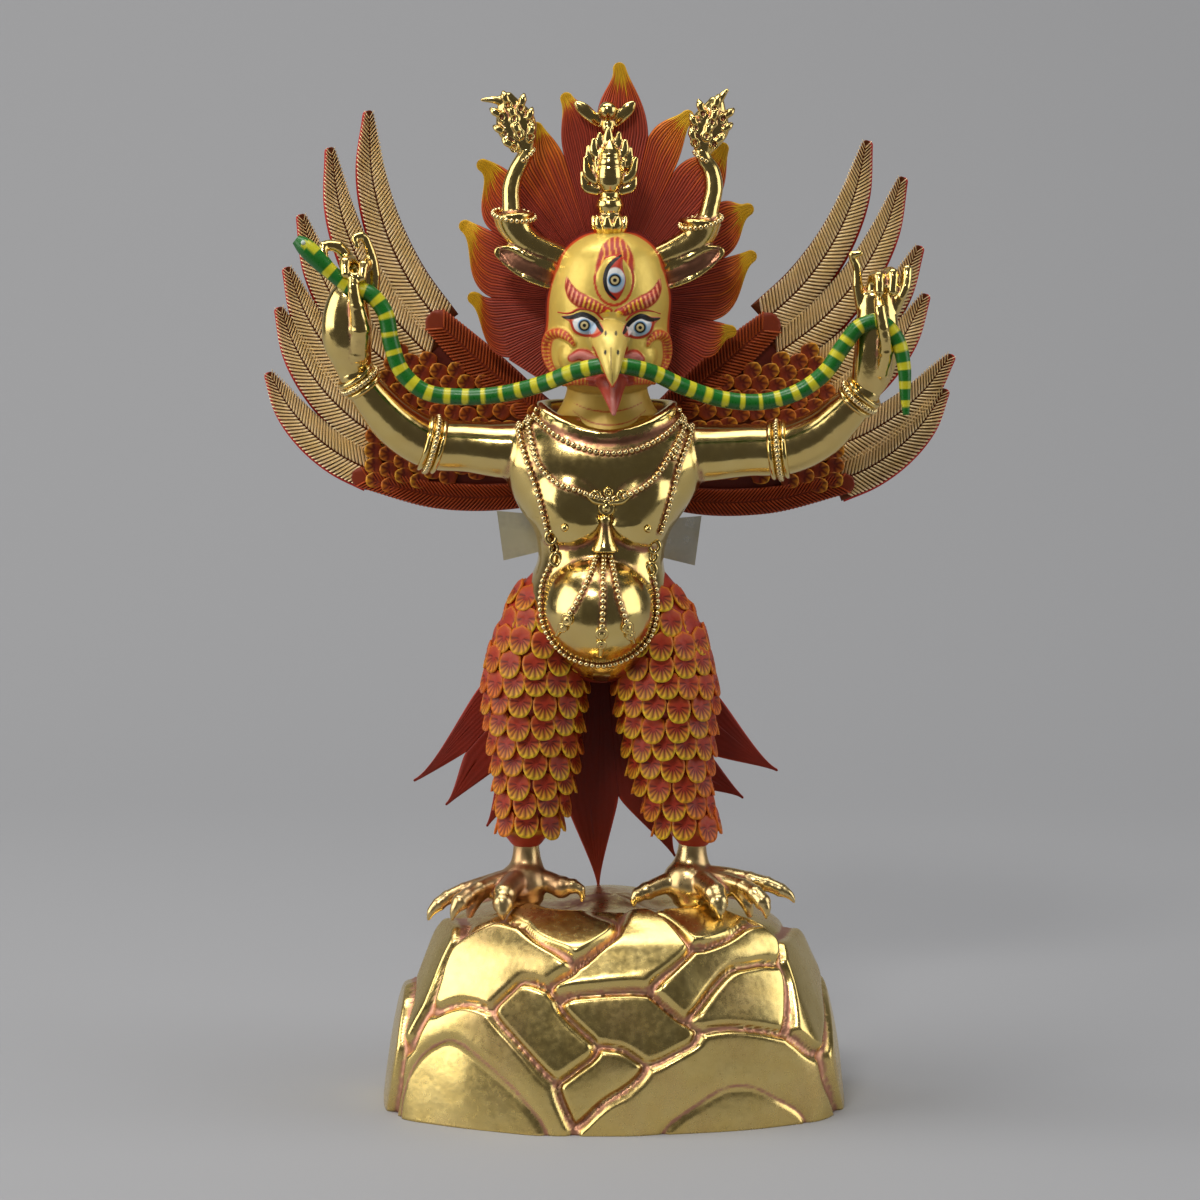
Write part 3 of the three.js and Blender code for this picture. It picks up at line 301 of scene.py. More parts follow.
GILT = gilt_finish("polished_gilding", 0.15, 0.2)
FOOT_GILT = gilt_finish("worn_gilding", 0.26, 0.85, gold=(0.72, 0.53, 0.24, 1))
ROCK_GILT = gilt_finish("rock_gilding", 0.23, 0.22, dent=0.0003, copper=(0.56, 0.28, 0.18, 1))
BEAD_GILT = gilt_finish("bead_gilding", 0.2, 0.12, gold=(0.86, 0.68, 0.34, 1))
FEATHER_GILT = gilt_finish("feather_gilding", 0.58, 0.08, gold=(1.0, 0.84, 0.56, 1))
print("gilt finishes ready")

# %% [markdown]
# The paint is mineral colour in a matt binder, laid on with a soft brush, so its tone is a little uneven
# and dust sits in it. The mesh says which colour goes where in its attribute "paint", and "gold" says
# where the paint is left out and the metal shows.

# %% Dusty paint


def paint_group():
    """Colour, roughness and height of matt mineral paint."""
    tree, given, out = new_group("ShaderNodeTree", "Dusty paint", {
        "Vector": ("Vector",), "Paint": ("Color", (0.5, 0.1, 0.05, 1)), "Gold": ("Float", 0.0),
        "Matt": ("Float", 0.5), "Mottle": ("Float", 0.3)}, COAT_OUTPUTS)
    broad = noise(tree, given["Vector"], 160.0, 3.0)
    fine = noise(tree, given["Vector"], 900.0, 3.0)
    dark = sum_of(tree, "MULTIPLY", reach(tree, broad, 0.35, 0.65, 1.0, 0.0), given["Mottle"])
    shaded = blend(tree, 0.5, given["Paint"], (0.05, 0.015, 0.01, 1))
    uneven = sum_of(tree, "ADD", given["Matt"], reach(tree, fine, 0.3, 0.7, -0.06, 0.08))
    metal = reach(tree, given["Gold"], 0.0, 1.0, 0.0, -0.22)
    feed(tree, out, {"Color": blend(tree, dark, given["Paint"], shaded),
                     "Roughness": sum_of(tree, "ADD", uneven, metal),
                     "Height": sum_of(tree, "ADD", fine, sum_of(tree, "MULTIPLY", broad, 0.6))})
    return tree


DUSTY_PAINT = paint_group()


def paint_finish(name, matt, mottle, specular=0.35):
    """A painted metal that reads its colours from the mesh."""
    reads = {"Paint": ("paint", "Color"), "Gold": ("gold", "Fac")}
    values = {"Matt": matt, "Mottle": mottle}
    return coated(name, DUSTY_PAINT, reads, values, 0.0001, {"Specular IOR Level": specular})


FACE_PAINT = paint_finish("face_paint", 0.42, 0.12, 0.4)
HAIR_PAINT = paint_finish("flame_paint", 0.5, 0.22)
LEG_PAINT = paint_finish("leg_paint", 0.48, 0.25)
WING_PAINT = paint_finish("wing_paint", 0.5, 0.25)
TAIL_PAINT = paint_finish("tail_paint", 0.55, 0.3)
SNAKE_PAINT = paint_finish("snake_paint", 0.3, 0.25, 0.5)
print("paints ready")

# %% [markdown]
# The castings are modelled as a sculptor would in wax: soft shells are laid over and through each other,
# and then cast as one. A shell is a list of places and a list of faces. Smooth runs through a few given
# rows give the shells their flow, so the tables stay short.

# %% Rows, rings and shells


def held(values):
    """Values held between nothing and one."""
    return np.clip(values, 0, 1)


def full_turn(count):
    """Angles all the way round."""
    return np.linspace(0, 2 * math.pi, count, endpoint=False)


def unit(vectors):
    """Vectors of length one."""
    vectors = np.asarray(vectors, float)
    return vectors / np.maximum(np.linalg.norm(vectors, axis=-1, keepdims=True), 1e-9)


def walked(points):
    """The distance walked along a path at each of its points."""
    return np.concatenate([[0.0], np.cumsum(np.linalg.norm(np.diff(points, axis=0), axis=1))])


def flow(rows, count, closed=False):
    """A smooth run of `count` rows through the given rows."""
    rows = np.array(rows, float)
    if closed:
        rows = np.vstack([rows, rows[:1]])
    along = walked(rows)
    slopes = np.gradient(rows, along, axis=0)
    if closed:
        slopes[0] = slopes[-1] = (rows[1] - rows[-2]) / (along[1] + along[-1] - along[-2])
    where = np.linspace(0, along[-1], count, endpoint=not closed)
    k = np.clip(np.searchsorted(along, where, side="right") - 1, 0, len(rows) - 2)
    span = (along[k + 1] - along[k])[:, None]
    t = (where - along[k])[:, None] / span
    return ((2 * t**3 - 3 * t**2 + 1) * rows[k] + (t**3 - 2 * t**2 + t) * span * slopes[k]
            + (3 * t**2 - 2 * t**3) * rows[k + 1] + (t**3 - t**2) * span * slopes[k + 1])


def outward(points, faces):
    """The same shell with its faces turned outwards."""
    halves = [(face[0], face[2], face[3]) for face in faces if len(face) == 4]
    tri = np.array([face[:3] for face in faces] + halves)
    a, b, c = points[tri[:, 0]], points[tri[:, 1]], points[tri[:, 2]]
    volume = np.einsum("ij,ij->i", a, np.cross(b, c)).sum()
    return points, faces if volume > 0 else [face[::-1] for face in faces]


def skin(rings):
    """A closed shell over rings of equal size, each end drawn together to a point."""
    rings = np.asarray(rings, float)
    count, around = rings.shape[:2]
    low = np.arange(count - 1)[:, None] * around
    side = np.arange(around)[None, :]
    after = (side + 1) % around
    corners = [low + side, low + after, low + after + around, low + side + around]
    faces = np.stack([corner.ravel() for corner in corners], axis=1).tolist()
    points = np.vstack([rings.reshape(-1, 3), rings[0].mean(axis=0), rings[-1].mean(axis=0)])
    first, last = count * around, count * around + 1
    for k in range(around):
        after = (k + 1) % around
        faces += [[first, after, k], [last, last - 1 - around + k, last - 1 - around + after]]
    return outward(points, faces)


def joined(shells):
    """Several shells as one list of places and one list of faces."""
    points, faces, start = [], [], 0
    for spots, sides in shells:
        points.append(spots)
        faces += [[corner + start for corner in side] for side in sides]
        start += len(spots)
    return np.vstack(points), faces


print("shell helpers ready")

# %% Limbs, stacked sections and turned forms
FORWARD = (0, -1, 0)
UPWARD = (0, 0, 1)


def limb(stations, sides=20, count=None, facing=FORWARD, blunt=0.7):
    """A round limb through stations [x, y, height, half width, half depth] with domed ends."""
    table = [list(s) + [s[3]] * (5 - len(s)) for s in stations]
    rows = flow(table, count or 7 * len(table))
    middle, across, depth = rows[:, :3], np.maximum(rows[:, 3], 0.05), np.maximum(rows[:, 4], 0.05)
    along = unit(np.gradient(middle, axis=0))
    facing = np.array(facing, float)
    front = unit(facing - along * (along @ facing)[:, None])
    side = np.cross(along, front)
    turn = full_turn(sides)

    def ring(k, share, shift):
        out = np.cos(turn)[:, None] * across[k] * side[k] + np.sin(turn)[:, None] * depth[k] * front[k]
        return middle[k] + along[k] * shift + share * out

    rise = [math.radians(a) for a in (75, 50, 25)]
    start = [ring(0, math.cos(a), -blunt * depth[0] * math.sin(a)) for a in rise]
    end = [ring(-1, math.cos(a), blunt * depth[-1] * math.sin(a)) for a in reversed(rise)]
    return skin(start + [ring(k, 1.0, 0.0) for k in range(len(rows))] + end)


def squared(value, exponent):
    """A sine or cosine bent towards a rounded square."""
    return np.sign(value) * np.abs(value) ** (2 / exponent)


def stacked(table, sides=72, count=60, exponent=2.3):
    """A trunk of level sections [height, middle, half width, front, back]."""
    turn = full_turn(sides)
    wide, deep = squared(np.cos(turn), exponent), squared(np.sin(turn), exponent)
    rings = []
    for height, middle, *reaches in flow(table, count):
        half, front, back = np.maximum(reaches, 0.3)
        y = np.where(deep < 0, deep * front, deep * back)
        rings.append(np.stack([middle + wide * half, y, np.full(sides, height)], axis=1))
    return skin(rings)


def ball(centre, radii, sides=32):
    """An egg or ball."""
    turn = full_turn(sides)
    rise = np.radians(np.linspace(-90, 90, sides // 2 + 1)[1:-1])
    circle = np.stack([np.cos(turn), np.sin(turn), 0 * turn], axis=1)
    rings = [circle * math.cos(angle) + [0, 0, math.sin(angle)] for angle in rise]
    return skin(np.array(rings) * radii + np.array(centre, float))


def turned(profile, centre, sides=32, axis=UPWARD):
    """A form turned on a lathe: rows of [radius, distance along the axis]."""
    axis = unit(axis)
    first = unit(np.cross(axis, [1.0, 0, 0] if abs(axis[0]) < 0.9 else [0, 1.0, 0]))
    turn = full_turn(sides)[:, None]
    circle = np.cos(turn) * first + np.sin(turn) * np.cross(axis, first)
    return skin([np.array(centre, float) + axis * z + r * circle for r, z in profile])


def hoop(path, half, sides=12):
    """A closed ring of round section along a closed path."""
    along = unit(np.roll(path, -1, axis=0) - np.roll(path, 1, axis=0))
    out = unit(path - path.mean(axis=0))
    side = unit(out - along * np.einsum("ij,ij->i", out, along)[:, None])
    up = np.cross(along, side)
    turn = full_turn(sides)[None, :, None]
    rings = path[:, None] + half * (np.cos(turn) * side[:, None] + np.sin(turn) * up[:, None])
    count = len(path)
    faces = [[k * sides + s, k * sides + (s + 1) % sides,
              (k + 1) % count * sides + (s + 1) % sides, (k + 1) % count * sides + s]
             for k in range(count) for s in range(sides)]
    return outward(rings.reshape(-1, 3), faces)


def circle_round(along, hint, count=48):
    """Directions all round an axis and square to it."""
    first = unit(np.cross(along, hint))
    turn = full_turn(count)[:, None]
    return np.cos(turn) * first + np.sin(turn) * np.cross(along, first)


print("forms ready")

# %% [markdown]
# Casting as one is a voxel remesh: it melts the overlapping shells into one closed skin. The skin is then
# filed smooth without shrinking, with one pass that relaxes it and one that pushes it back. Where a
# place lies deeper than its neighbours it is a crevice, and that number goes to the gilding.

# %% Pieces and castings


def in_metres(points):
    """Places in metres from places in millimetres above the soles."""
    return (np.asarray(points) + TO_SOLES) * MM


def shade(piece, smooth=True):
    """Smooth or flat faces."""
    piece.data.polygons.foreach_set("use_smooth", np.full(len(piece.data.polygons), smooth))


def new_piece(name, points, faces, material):
    """A mesh object in metres from places in millimetres above the soles."""
    mesh = bpy.data.meshes.new(name)
    mesh.from_pydata(in_metres(points).tolist(), [], faces)
    mesh.materials.append(material)
    piece = placed(name, mesh)
    shade(piece)
    mesh.update()
    return piece


def settled(piece):
    """Turn what the modifiers make into the piece's plain mesh, and drop the modifiers."""
    evaluated = piece.evaluated_get(bpy.context.evaluated_depsgraph_get())
    mesh = bpy.data.meshes.new_from_object(evaluated)
    piece.modifiers.clear()
    old = piece.data
    piece.data = mesh
    bpy.data.meshes.remove(old)
    mesh.name = piece.name


def vertex_rows(source, name):
    """Three numbers for each vertex."""
    flat = np.empty(3 * len(source), np.float32)
    source.foreach_get(name, flat)
    return flat.reshape(-1, 3).astype(float)


def places(piece):
    """The piece's vertices in millimetres above the soles."""
    return vertex_rows(piece.data.vertices, "co") / MM - TO_SOLES


def normals(piece):
    """The piece's vertex normals."""
    return vertex_rows(piece.data.vertex_normals, "vector")


def numbers(piece, name):
    """Read a number that each vertex carries."""
    values = np.empty(len(piece.data.vertices), np.float32)
    piece.data.attributes[name].data.foreach_get("value", values)
    return values.astype(float)


def move_to(piece, points):
    """Move the piece's vertices."""
    piece.data.vertices.foreach_set("co", in_metres(points).astype(np.float32).ravel())
    piece.data.update()


def mark(piece, name, values):
    """Store a number or a colour on each vertex."""
    values = np.asarray(values, np.float32)
    if values.ndim == 1:
        piece.data.attributes.new(name, "FLOAT", "POINT").data.foreach_set("value", values)
    else:
        rgba = np.concatenate([values, np.ones((len(values), 1), np.float32)], axis=1)
        piece.data.attributes.new(name, "FLOAT_COLOR", "POINT").data.foreach_set("color", rgba.ravel())


def neighbours(piece):
    """A function that averages values over each vertex's neighbours."""
    edges = np.empty(2 * len(piece.data.edges), np.int32)
    piece.data.edges.foreach_get("vertices", edges)
    a, b = edges.reshape(-1, 2).T
    size = len(piece.data.vertices)
    count = np.maximum(np.bincount(a, minlength=size) + np.bincount(b, minlength=size), 1)

    def mean(values):
        columns = values.reshape(size, -1).T
        sums = [np.bincount(a, column[b], size) + np.bincount(b, column[a], size) for column in columns]
        return (np.array(sums) / count).T.reshape(values.shape)

    return mean


def filed(piece, passes):
    """Smooth a casting without shrinking it."""
    mean = neighbours(piece)
    points = places(piece)
    for _ in range(passes):
        points = points + 0.6 * (mean(points) - points)
        points = points - 0.62 * (mean(points) - points)
    move_to(piece, points)


def cast(name, shells, voxel, passes, material):
    """Melt overlapping shells into one closed skin and file it smooth."""
    piece = new_piece(name, *joined(shells), material)
    melt = piece.modifiers.new("melt", "REMESH")
    melt.mode = "VOXEL"
    melt.voxel_size = voxel * MM
    melt.use_smooth_shade = True
    settled(piece)
    filed(piece, passes)
    print(name, "has", len(piece.data.polygons), "faces")
    return piece


def finish_as(piece, slot, *nodes):
    """Hide the solids that a piece stands for and ride it on the one body."""
    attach(piece, "root")
    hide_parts(*nodes)


def gilded(piece, spread, depth, *nodes, extra=0.0):
    """Mark how much deeper each place of a gilt piece lies than its neighbours, and finish it."""
    mean = neighbours(piece)
    points = places(piece)
    around = points
    for _ in range(spread):
        around = mean(around)
    hollow = np.einsum("ij,ij->i", around - points, normals(piece)) / depth
    for _ in range(2):
        hollow = 0.5 * hollow + 0.5 * mean(hollow)
    mark(piece, "crevice", np.maximum(held(hollow), extra))
    finish_as(piece, "gilt", *nodes)


def painted(piece, colours, slot, node, gold=0.0):
    """Give a piece its paint, one colour or one for each vertex, and its share of bare gold."""
    count = len(piece.data.vertices)
    mark(piece, "paint", colours if np.ndim(colours) == 2 else np.tile(colours, (count, 1)))
    mark(piece, "gold", np.full(count, gold) if np.isscalar(gold) else gold)
    finish_as(piece, slot, node)


print("casting helpers ready")

# %% [markdown]
# The rock base is a hollow casting in the form of piled slabs. Each slab is a smooth, slightly swollen
# face with a rounded rim, and a narrow copper coloured groove runs between it and its neighbours. It is
# made as one grid over the rounded block. Each slab is a polygon on that grid, and the distance from its
# rim says how far a place is lifted.

# %% Rounded block
PLINTH_BOX = np.array(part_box("plinth")) / MM - TO_SOLES
HALF_WIDTH = 89.0
HALF_DEPTH = 59.0
RELIEF = 3.2
ROCK_PROFILE = [
    [1, 0], [1, 0.12], [0.99, 0.27], [0.965, 0.41], [0.91, 0.54], [0.85, 0.67], [0.79, 0.81],
    [0.7, 0.905], [0.52, 0.97], [0.26, 1], [0, 1],
]
ROCK_SQUARENESS = 2.5
ROCK_CURVE = flow(np.column_stack([np.linspace(0, 100, len(ROCK_PROFILE)), ROCK_PROFILE]), 401).T


def rock_places(around, climb, lift):
    """Places on the rock: degrees round from the front, per cent of the climb, and the lift."""
    wide, high = (np.interp(climb, ROCK_CURVE[0], curve) for curve in ROCK_CURVE[1:])
    turn = np.radians(around)
    sunk = lift - RELIEF
    x = (HALF_WIDTH + sunk) * wide * squared(np.sin(turn), ROCK_SQUARENESS)
    y = -(HALF_DEPTH + sunk) * wide * squared(np.cos(turn), ROCK_SQUARENESS)
    return np.stack([x, y, (SOLES + sunk) * high - SOLES], axis=-1)


def spaced_degrees(start, stop, count):
    """Degrees round the block at equal distances along its foot."""
    fine = np.linspace(start, stop, 4001)
    along = walked(rock_places(fine, np.full(len(fine), 20.0), RELIEF))
    return np.interp(np.linspace(0, along[-1], count, endpoint=False), along, fine)


AROUND = np.concatenate([spaced_degrees(-95, 95, 350), spaced_degrees(95, 265, 120)])
CLIMB = np.concatenate([np.linspace(0, 90, 110, endpoint=False), np.linspace(90, 99.6, 9)])
print("rock grid:", len(AROUND), "by", len(CLIMB))

# %% [markdown]
# A slab is written as its layer, its kind and its corners in [degrees, climb]. An arch is one smooth
# curve, a slab "over" lies on another one, and the ones marked "front" have no fellow on the far side.

# %% Slabs
FRONT_SLABS = [
    (0.7, "arch", [[-68, 0], [-62, 21], [-50, 42], [-42, 44], [-25, 35], [-11, 14], [-7, 0]]),
    (1.0, "arch over", [[-64, 0], [-50, 27], [-44, 30], [-29, 23], [-12, 0]]),
    (0.7, "arch", [[-6, 0], [5, 23], [17, 32], [26, 35], [36, 33], [55, 21], [70, 0]]),
    (1.0, "arch over", [[8, 0], [16, 11], [24, 16], [30, 16], [38, 12], [51, 0]]),
    (1.0, "plain", [[-23, 55], [-2, 29], [-10, 20], [-31, 43]]),
    (1.0, "front", [[0, 31], [5, 22], [-6, 2], [-9, 18]]),
    (0.9, "front", [[-10, 47], [4, 50], [17, 33], [6, 25], [0, 31]]),
    (1.0, "front", [[-12, 50], [-5, 62], [12, 84], [18, 81], [20, 64], [7, 52]]),
    (1.0, "plain", [[7, 52], [20, 63], [53, 73], [58, 58], [31, 56], [15, 40]]),
    (0.9, "front", [[15, 40], [23, 50], [34, 57], [47, 57], [57, 52], [47, 35], [31, 38]]),
    (
        0.9, "plain",
        [[-54, 38], [-58, 55], [-42, 73], [-33, 75], [-7, 57], [-23, 54], [-31, 44], [-42, 44]],
    ),
    (0.9, "front", [[-55, 83], [-22, 84], [-1, 75], [-7, 59], [-15, 67]]),
    (0.9, "front", [[21, 88], [56, 86], [56, 74], [21, 64]]),
]
SIDE_SLABS = [
    (1.0, "plain", [[62, 58], [97, 57], [93, 42], [56, 26], [48, 35]]),
    (0.9, "plain", [[92, 41], [106, 36], [108, 14], [100, 0], [71, 0], [60, 17]]),
    (0.9, "plain", [[-89, 65], [-71, 65], [-60, 47], [-59, 23], [-76, 42]]),
    (1.0, "plain", [[-100, 36], [-74, 41], [-64, 14], [-69, 0], [-95, 0], [-104, 14]]),
]


def slab_outline(kind, corners, shift):
    """The slab's rim with its corners rounded, as [degrees, climb]."""
    corners = np.array(corners, float) + [shift, 0]
    if "arch" in kind:
        foot = corners[[0, -1]] - [0, 6]
        return flow(np.vstack([foot[:1], corners, foot[1:]]), 60)
    for _ in range(2):
        after = np.roll(corners, -1, axis=0)
        cut = [0.86 * corners + 0.14 * after, 0.14 * corners + 0.86 * after]
        corners = np.stack(cut, axis=1).reshape(-1, 2)
    return corners


def inside(outline, x, y):
    """Which places lie inside a closed outline."""
    hit = np.zeros(x.shape, bool)
    for (x0, y0), (x1, y1) in zip(outline, np.roll(outline, -1, axis=0)):
        if y0 != y1:
            hit ^= ((y0 > y) != (y1 > y)) & (x < (x1 - x0) * (y - y0) / (y1 - y0) + x0)
    return hit


def outlined(over):
    """The slabs that lie over others, or those that don't: layer and outline, in front and behind."""
    chosen = [slab for slab in FRONT_SLABS if ("over" in slab[1]) == over]
    sides = [] if over else SIDE_SLABS
    front = [(layer, slab_outline(kind, corners, 0)) for layer, kind, corners in chosen + sides]
    repeated = [slab for slab in chosen if slab[1] != "front"]
    return front + [(layer, slab_outline(kind, corners, 180)) for layer, kind, corners in repeated]


SLABS, OVERLAYS = outlined(False), outlined(True)
print("slabs:", len(SLABS) + len(OVERLAYS))

# %% [markdown]
# Each place of the grid belongs to the slab that it lies deepest in. Where two slabs claim it alike runs
# the groove, and the lift grows with the distance from there. Each slab is also pressed halfway to its
# own flat plane, because a flat plate mirrors one part of the room and a round one mirrors all of it.

# %% Lift the slabs
GROOVE = 0.45
BEVEL = 2.1
FLATTEN = 0.8
FLATTEN_LIMIT = 3.0
TOP_CLIMB = 85
LEAN = 0.09


def away_from(points, outline):
    """Distance in millimetres from each place to a slab's rim."""
    ends = np.roll(outline, -1, axis=0)
    steps = np.linspace(0, 1, 5, endpoint=False)[:, None]
    dense = np.vstack([a + (b - a) * steps for a, b in zip(outline, ends)])
    rim = rock_places(dense[:, 0], dense[:, 1], RELIEF)
    above_foot = (dense[:, 1] >= -0.5) & (np.roll(dense[:, 1], -1) >= -0.5)
    best = np.full(len(points), 99.0)
    for start, end in zip(rim[above_foot], np.roll(rim, -1, axis=0)[above_foot]):
        span = end - start
        share = held((points - start) @ span / max(span @ span, 1e-9))
        best = np.minimum(best, np.linalg.norm(points - start - share[:, None] * span, axis=1))
    return best


def depth_in(outline, flat, around, climb, margin=12):
    """How deep each place lies in a slab, less than nothing outside it, and -99 far away."""
    depth = np.full(around.shape, -99.0)
    low, high = outline.min(axis=0) - margin, outline.max(axis=0) + margin
    for turn in (-360, 0, 360):
        near = (around + turn > low[0]) & (around + turn < high[0]) & (climb > low[1]) & (climb < high[1])
        if near.any():
            away = away_from(flat[near], outline)
            depth[near] = np.where(inside(outline, around[near] + turn, climb[near]), away, -away)
    return depth


def raised(away):
    """The rounded rim of a slab: nothing in the groove, one on the slab."""
    rise = held((away - GROOVE) / BEVEL)
    return rise * (2 - rise)


def softened(values, passes):
    """Average each place of the grid with its four neighbours."""
    for _ in range(passes):
        up, down = np.vstack([values[:1], values[:-1]]), np.vstack([values[1:], values[-1:]])
        values = 0.4 * values + 0.15 * (up + down + np.roll(values, 1, axis=1) + np.roll(values, -1, axis=1))
    return values


def slab_lifts(around, climb):
    """For each place of the grid: its lift, its distance from the groove and its push to a flat plane."""
    flat = rock_places(around, climb, RELIEF)
    first = np.where(climb > TOP_CLIMB, 0.0, -8.0)
    second = np.full(around.shape, -30.0)
    owner = np.full(around.shape, -1)
    for k, (_, outline) in enumerate(SLABS):
        depth = depth_in(outline, flat, around, climb)
        better = depth > first
        second = np.where(better, first, np.maximum(second, depth))
        first = np.where(better, depth, first)
        owner = np.where(better, k, owner)
    away = (first - second) / 2
    layer = np.array([layer for layer, _ in SLABS] + [0.3])[owner]
    lift = RELIEF * layer * raised(away) - 0.6 + 0.6 * (1 - np.exp(-away / 9))
    push = np.zeros(flat.shape)
    for k in range(len(SLABS)):
        mine = owner == k
        if mine.sum() > 40:
            off = flat[mine] - flat[mine].mean(axis=0)
            facing = np.linalg.svd(off, full_matrices=False)[2][2]
            push[mine] = -FLATTEN * (FLATTEN_LIMIT * np.tanh(off @ facing / FLATTEN_LIMIT))[:, None] * facing
    for _, outline in OVERLAYS:
        depth = depth_in(outline, flat, around, climb)
        on = depth > 0
        laid = np.minimum(lift - 0.9 + 1.5 * raised(np.abs(depth) + 0.2), RELIEF + 0.3)
        lift = np.where(on, laid, lift - 0.8 * np.exp(-((depth + 0.2) / 1.4) ** 2))
        away = np.where(np.abs(depth) < 12, np.minimum(away, np.where(on, depth * 1.3, -depth)), away)
        push[..., 1] += LEAN * on * raised(depth) * (flat[..., 2] + SOLES) * np.sign(-flat[..., 1])
    return softened(lift, 2), softened(away, 1), push


around, climb = np.meshgrid(AROUND, CLIMB)
lift, away, push = slab_lifts(around, climb)
on_top = held((climb - TOP_CLIMB) / 8)
wander = np.sin(np.radians(around * 5)) * np.cos(climb * 0.45) + np.sin(np.radians(around * 3 + 40))
points = rock_places(around, climb, lift + 0.4 * wander * on_top) + push * (1 - on_top)[..., None]
hill = np.exp(-1.6 * (((points[..., 0] + 3) / 17) ** 2 + ((points[..., 1] - 6) / 26) ** 2))
points[..., 2] -= 4.6 * on_top * (1 - hill)
points[..., 2] += np.where(points[..., 2] > -14, hill * np.clip(-points[..., 2] - 0.02, 0, None), 0)
points[0, :, 2] = -SOLES
rock = new_piece("rock_base", *skin(np.clip(points, *PLINTH_BOX)), ROCK_GILT)
groove = np.exp(-(np.maximum(away - 0.1, 0) / 0.75) ** 2)
rubbed = 0.34 * on_top + 0.3 * held((climb - 45) / 30) * held((-around - 25) / 20) * (away > 1)
mark(rock, "crevice", np.append(np.maximum(groove, rubbed), [0, 0]))
finish_as(rock, "gilt", "plinth")
print("rock base:", len(rock.data.polygons), "faces")

# %% [markdown]
# Torso and arms are one casting. Level sections give the trunk, an egg gives the belly and two flat eggs
# give the breast. The arms run out level from the shoulders and turn up at the elbows. A rolled rim
# stands around the neck.

# %% Torso and arms
TRUNK = [
    [84, -5, 6, 12, 7], [89, -5.2, 16, 20, 14], [98, -6, 23.2, 26, 18.5], [109.5, -7, 26.6, 28.5, 20],
    [119, -6.7, 26.6, 27.5, 19], [130, -5.4, 23.8, 23, 16], [140, -4.8, 25.8, 21.5, 17],
    [148, -4.7, 31, 22, 19], [158, -4.2, 36.5, 23, 20.5], [168, -4.3, 38.2, 22.5, 20.5],
    [176, -4.3, 36.5, 19.5, 18.5], [182, -4, 31, 16.5, 15], [185, -3.6, 24, 15, 13],
]
LEFT_ARM = [
    [-16, 1, 168, 10.5], [-30, 0, 170.2, 11.4], [-44, 0, 170.8, 10.6], [-56, 0, 172, 9.8],
    [-70, -1, 173.3, 9.7], [-81, -4, 180, 9.2], [-90, -8, 190, 7.7], [-98, -11, 201, 6.0],
]
RIGHT_ARM = [
    [8, 1, 167, 10.5], [22, 0, 169, 11.4], [36, 0, 169.6, 10.7], [50, 0, 170.6, 10], [65, -1, 171.4, 9.9],
    [77, -4, 177, 9.3], [86, -8, 185.5, 7.9], [94, -11, 194.5, 6.1],
]
COLLAR = {
    "middle": -3,
    "height": 186.5,
    "dip": 8.5,
    "across": 25.3,
    "front": 17.5,
    "back": 13,
    "half": 2.9,
}


def collar_path(out=0.0, drop=0.0, count=96):
    """The rim around the neck, which dips in front."""
    turn = full_turn(count)
    in_front = np.maximum(0, -np.sin(turn))
    deep = np.where(in_front > 0, COLLAR["front"], COLLAR["back"]) + out
    x = COLLAR["middle"] + np.cos(turn) * (COLLAR["across"] + out)
    return np.stack([x, np.sin(turn) * deep, COLLAR["height"] - COLLAR["dip"] * in_front**2 - drop], axis=1)


torso_shells = [
    stacked(TRUNK), ball([-6.4, -12, 112], [22.3, 25.2, 22.3], 48),
    limb(LEFT_ARM, 32, 60), limb(RIGHT_ARM, 32, 60), hoop(collar_path(), COLLAR["half"]),
]
torso = cast("torso", torso_shells, 1.0, 4, GILT)


def swell(piece, middle, height, half, above, below, rise):
    """Swell the front of a piece by a pad with a long soft top and a short full lower edge."""
    points = places(piece)
    u = (points[:, 0] - middle) / half
    v = points[:, 2] - height
    v = np.where(v > 0, v / above, v / below)
    pad = held(1 - u**2 - v**2) ** np.where(v > 0, 1.1, 0.55)
    faces_front = held(-normals(piece)[:, 1] * 1.6)
    points[:, 1] -= rise * pad * faces_front
    move_to(piece, points)


for middle, height in ((-19.4, 147), (12.4, 146.4)):
    swell(torso, middle, height, 15.2, 17, 10.5, 4.6)
filed(torso, 3)

# %% Find the front of a casting


def front_of(piece):
    """A function that finds the skin straight behind a place [x, height], seen from the front."""
    tree = BVHTree.FromObject(piece, bpy.context.evaluated_depsgraph_get())

    def found(x, height, lift=0.0):
        start = Vector((x, -120, height + SOLES)) * MM
        hit, normal, _, _ = tree.ray_cast(start, Vector((0, 1, 0)))
        if hit is None:
            hit, normal, _, _ = tree.find_nearest(Vector((x, -10, height + SOLES)) * MM)
        point = np.array(hit) / MM - TO_SOLES
        return point + np.array(normal) * lift, np.array(normal)

    return found


on_torso = front_of(torso)
print("belly front at y", round(on_torso(-6, 112)[0][1], 1))

# %% [markdown]
# What repeats is set out by Geometry Nodes. One tree serves the bead strings, the scales of the legs,
# the small wing feathers and the barbs of the long ones: it walks along a path at an even pitch and
# sets down one item at each step, with its x along the path and its z along the direction that the path
# carries in "facing". The item grows with the number that the path carries in "size".

# %% Row along a path


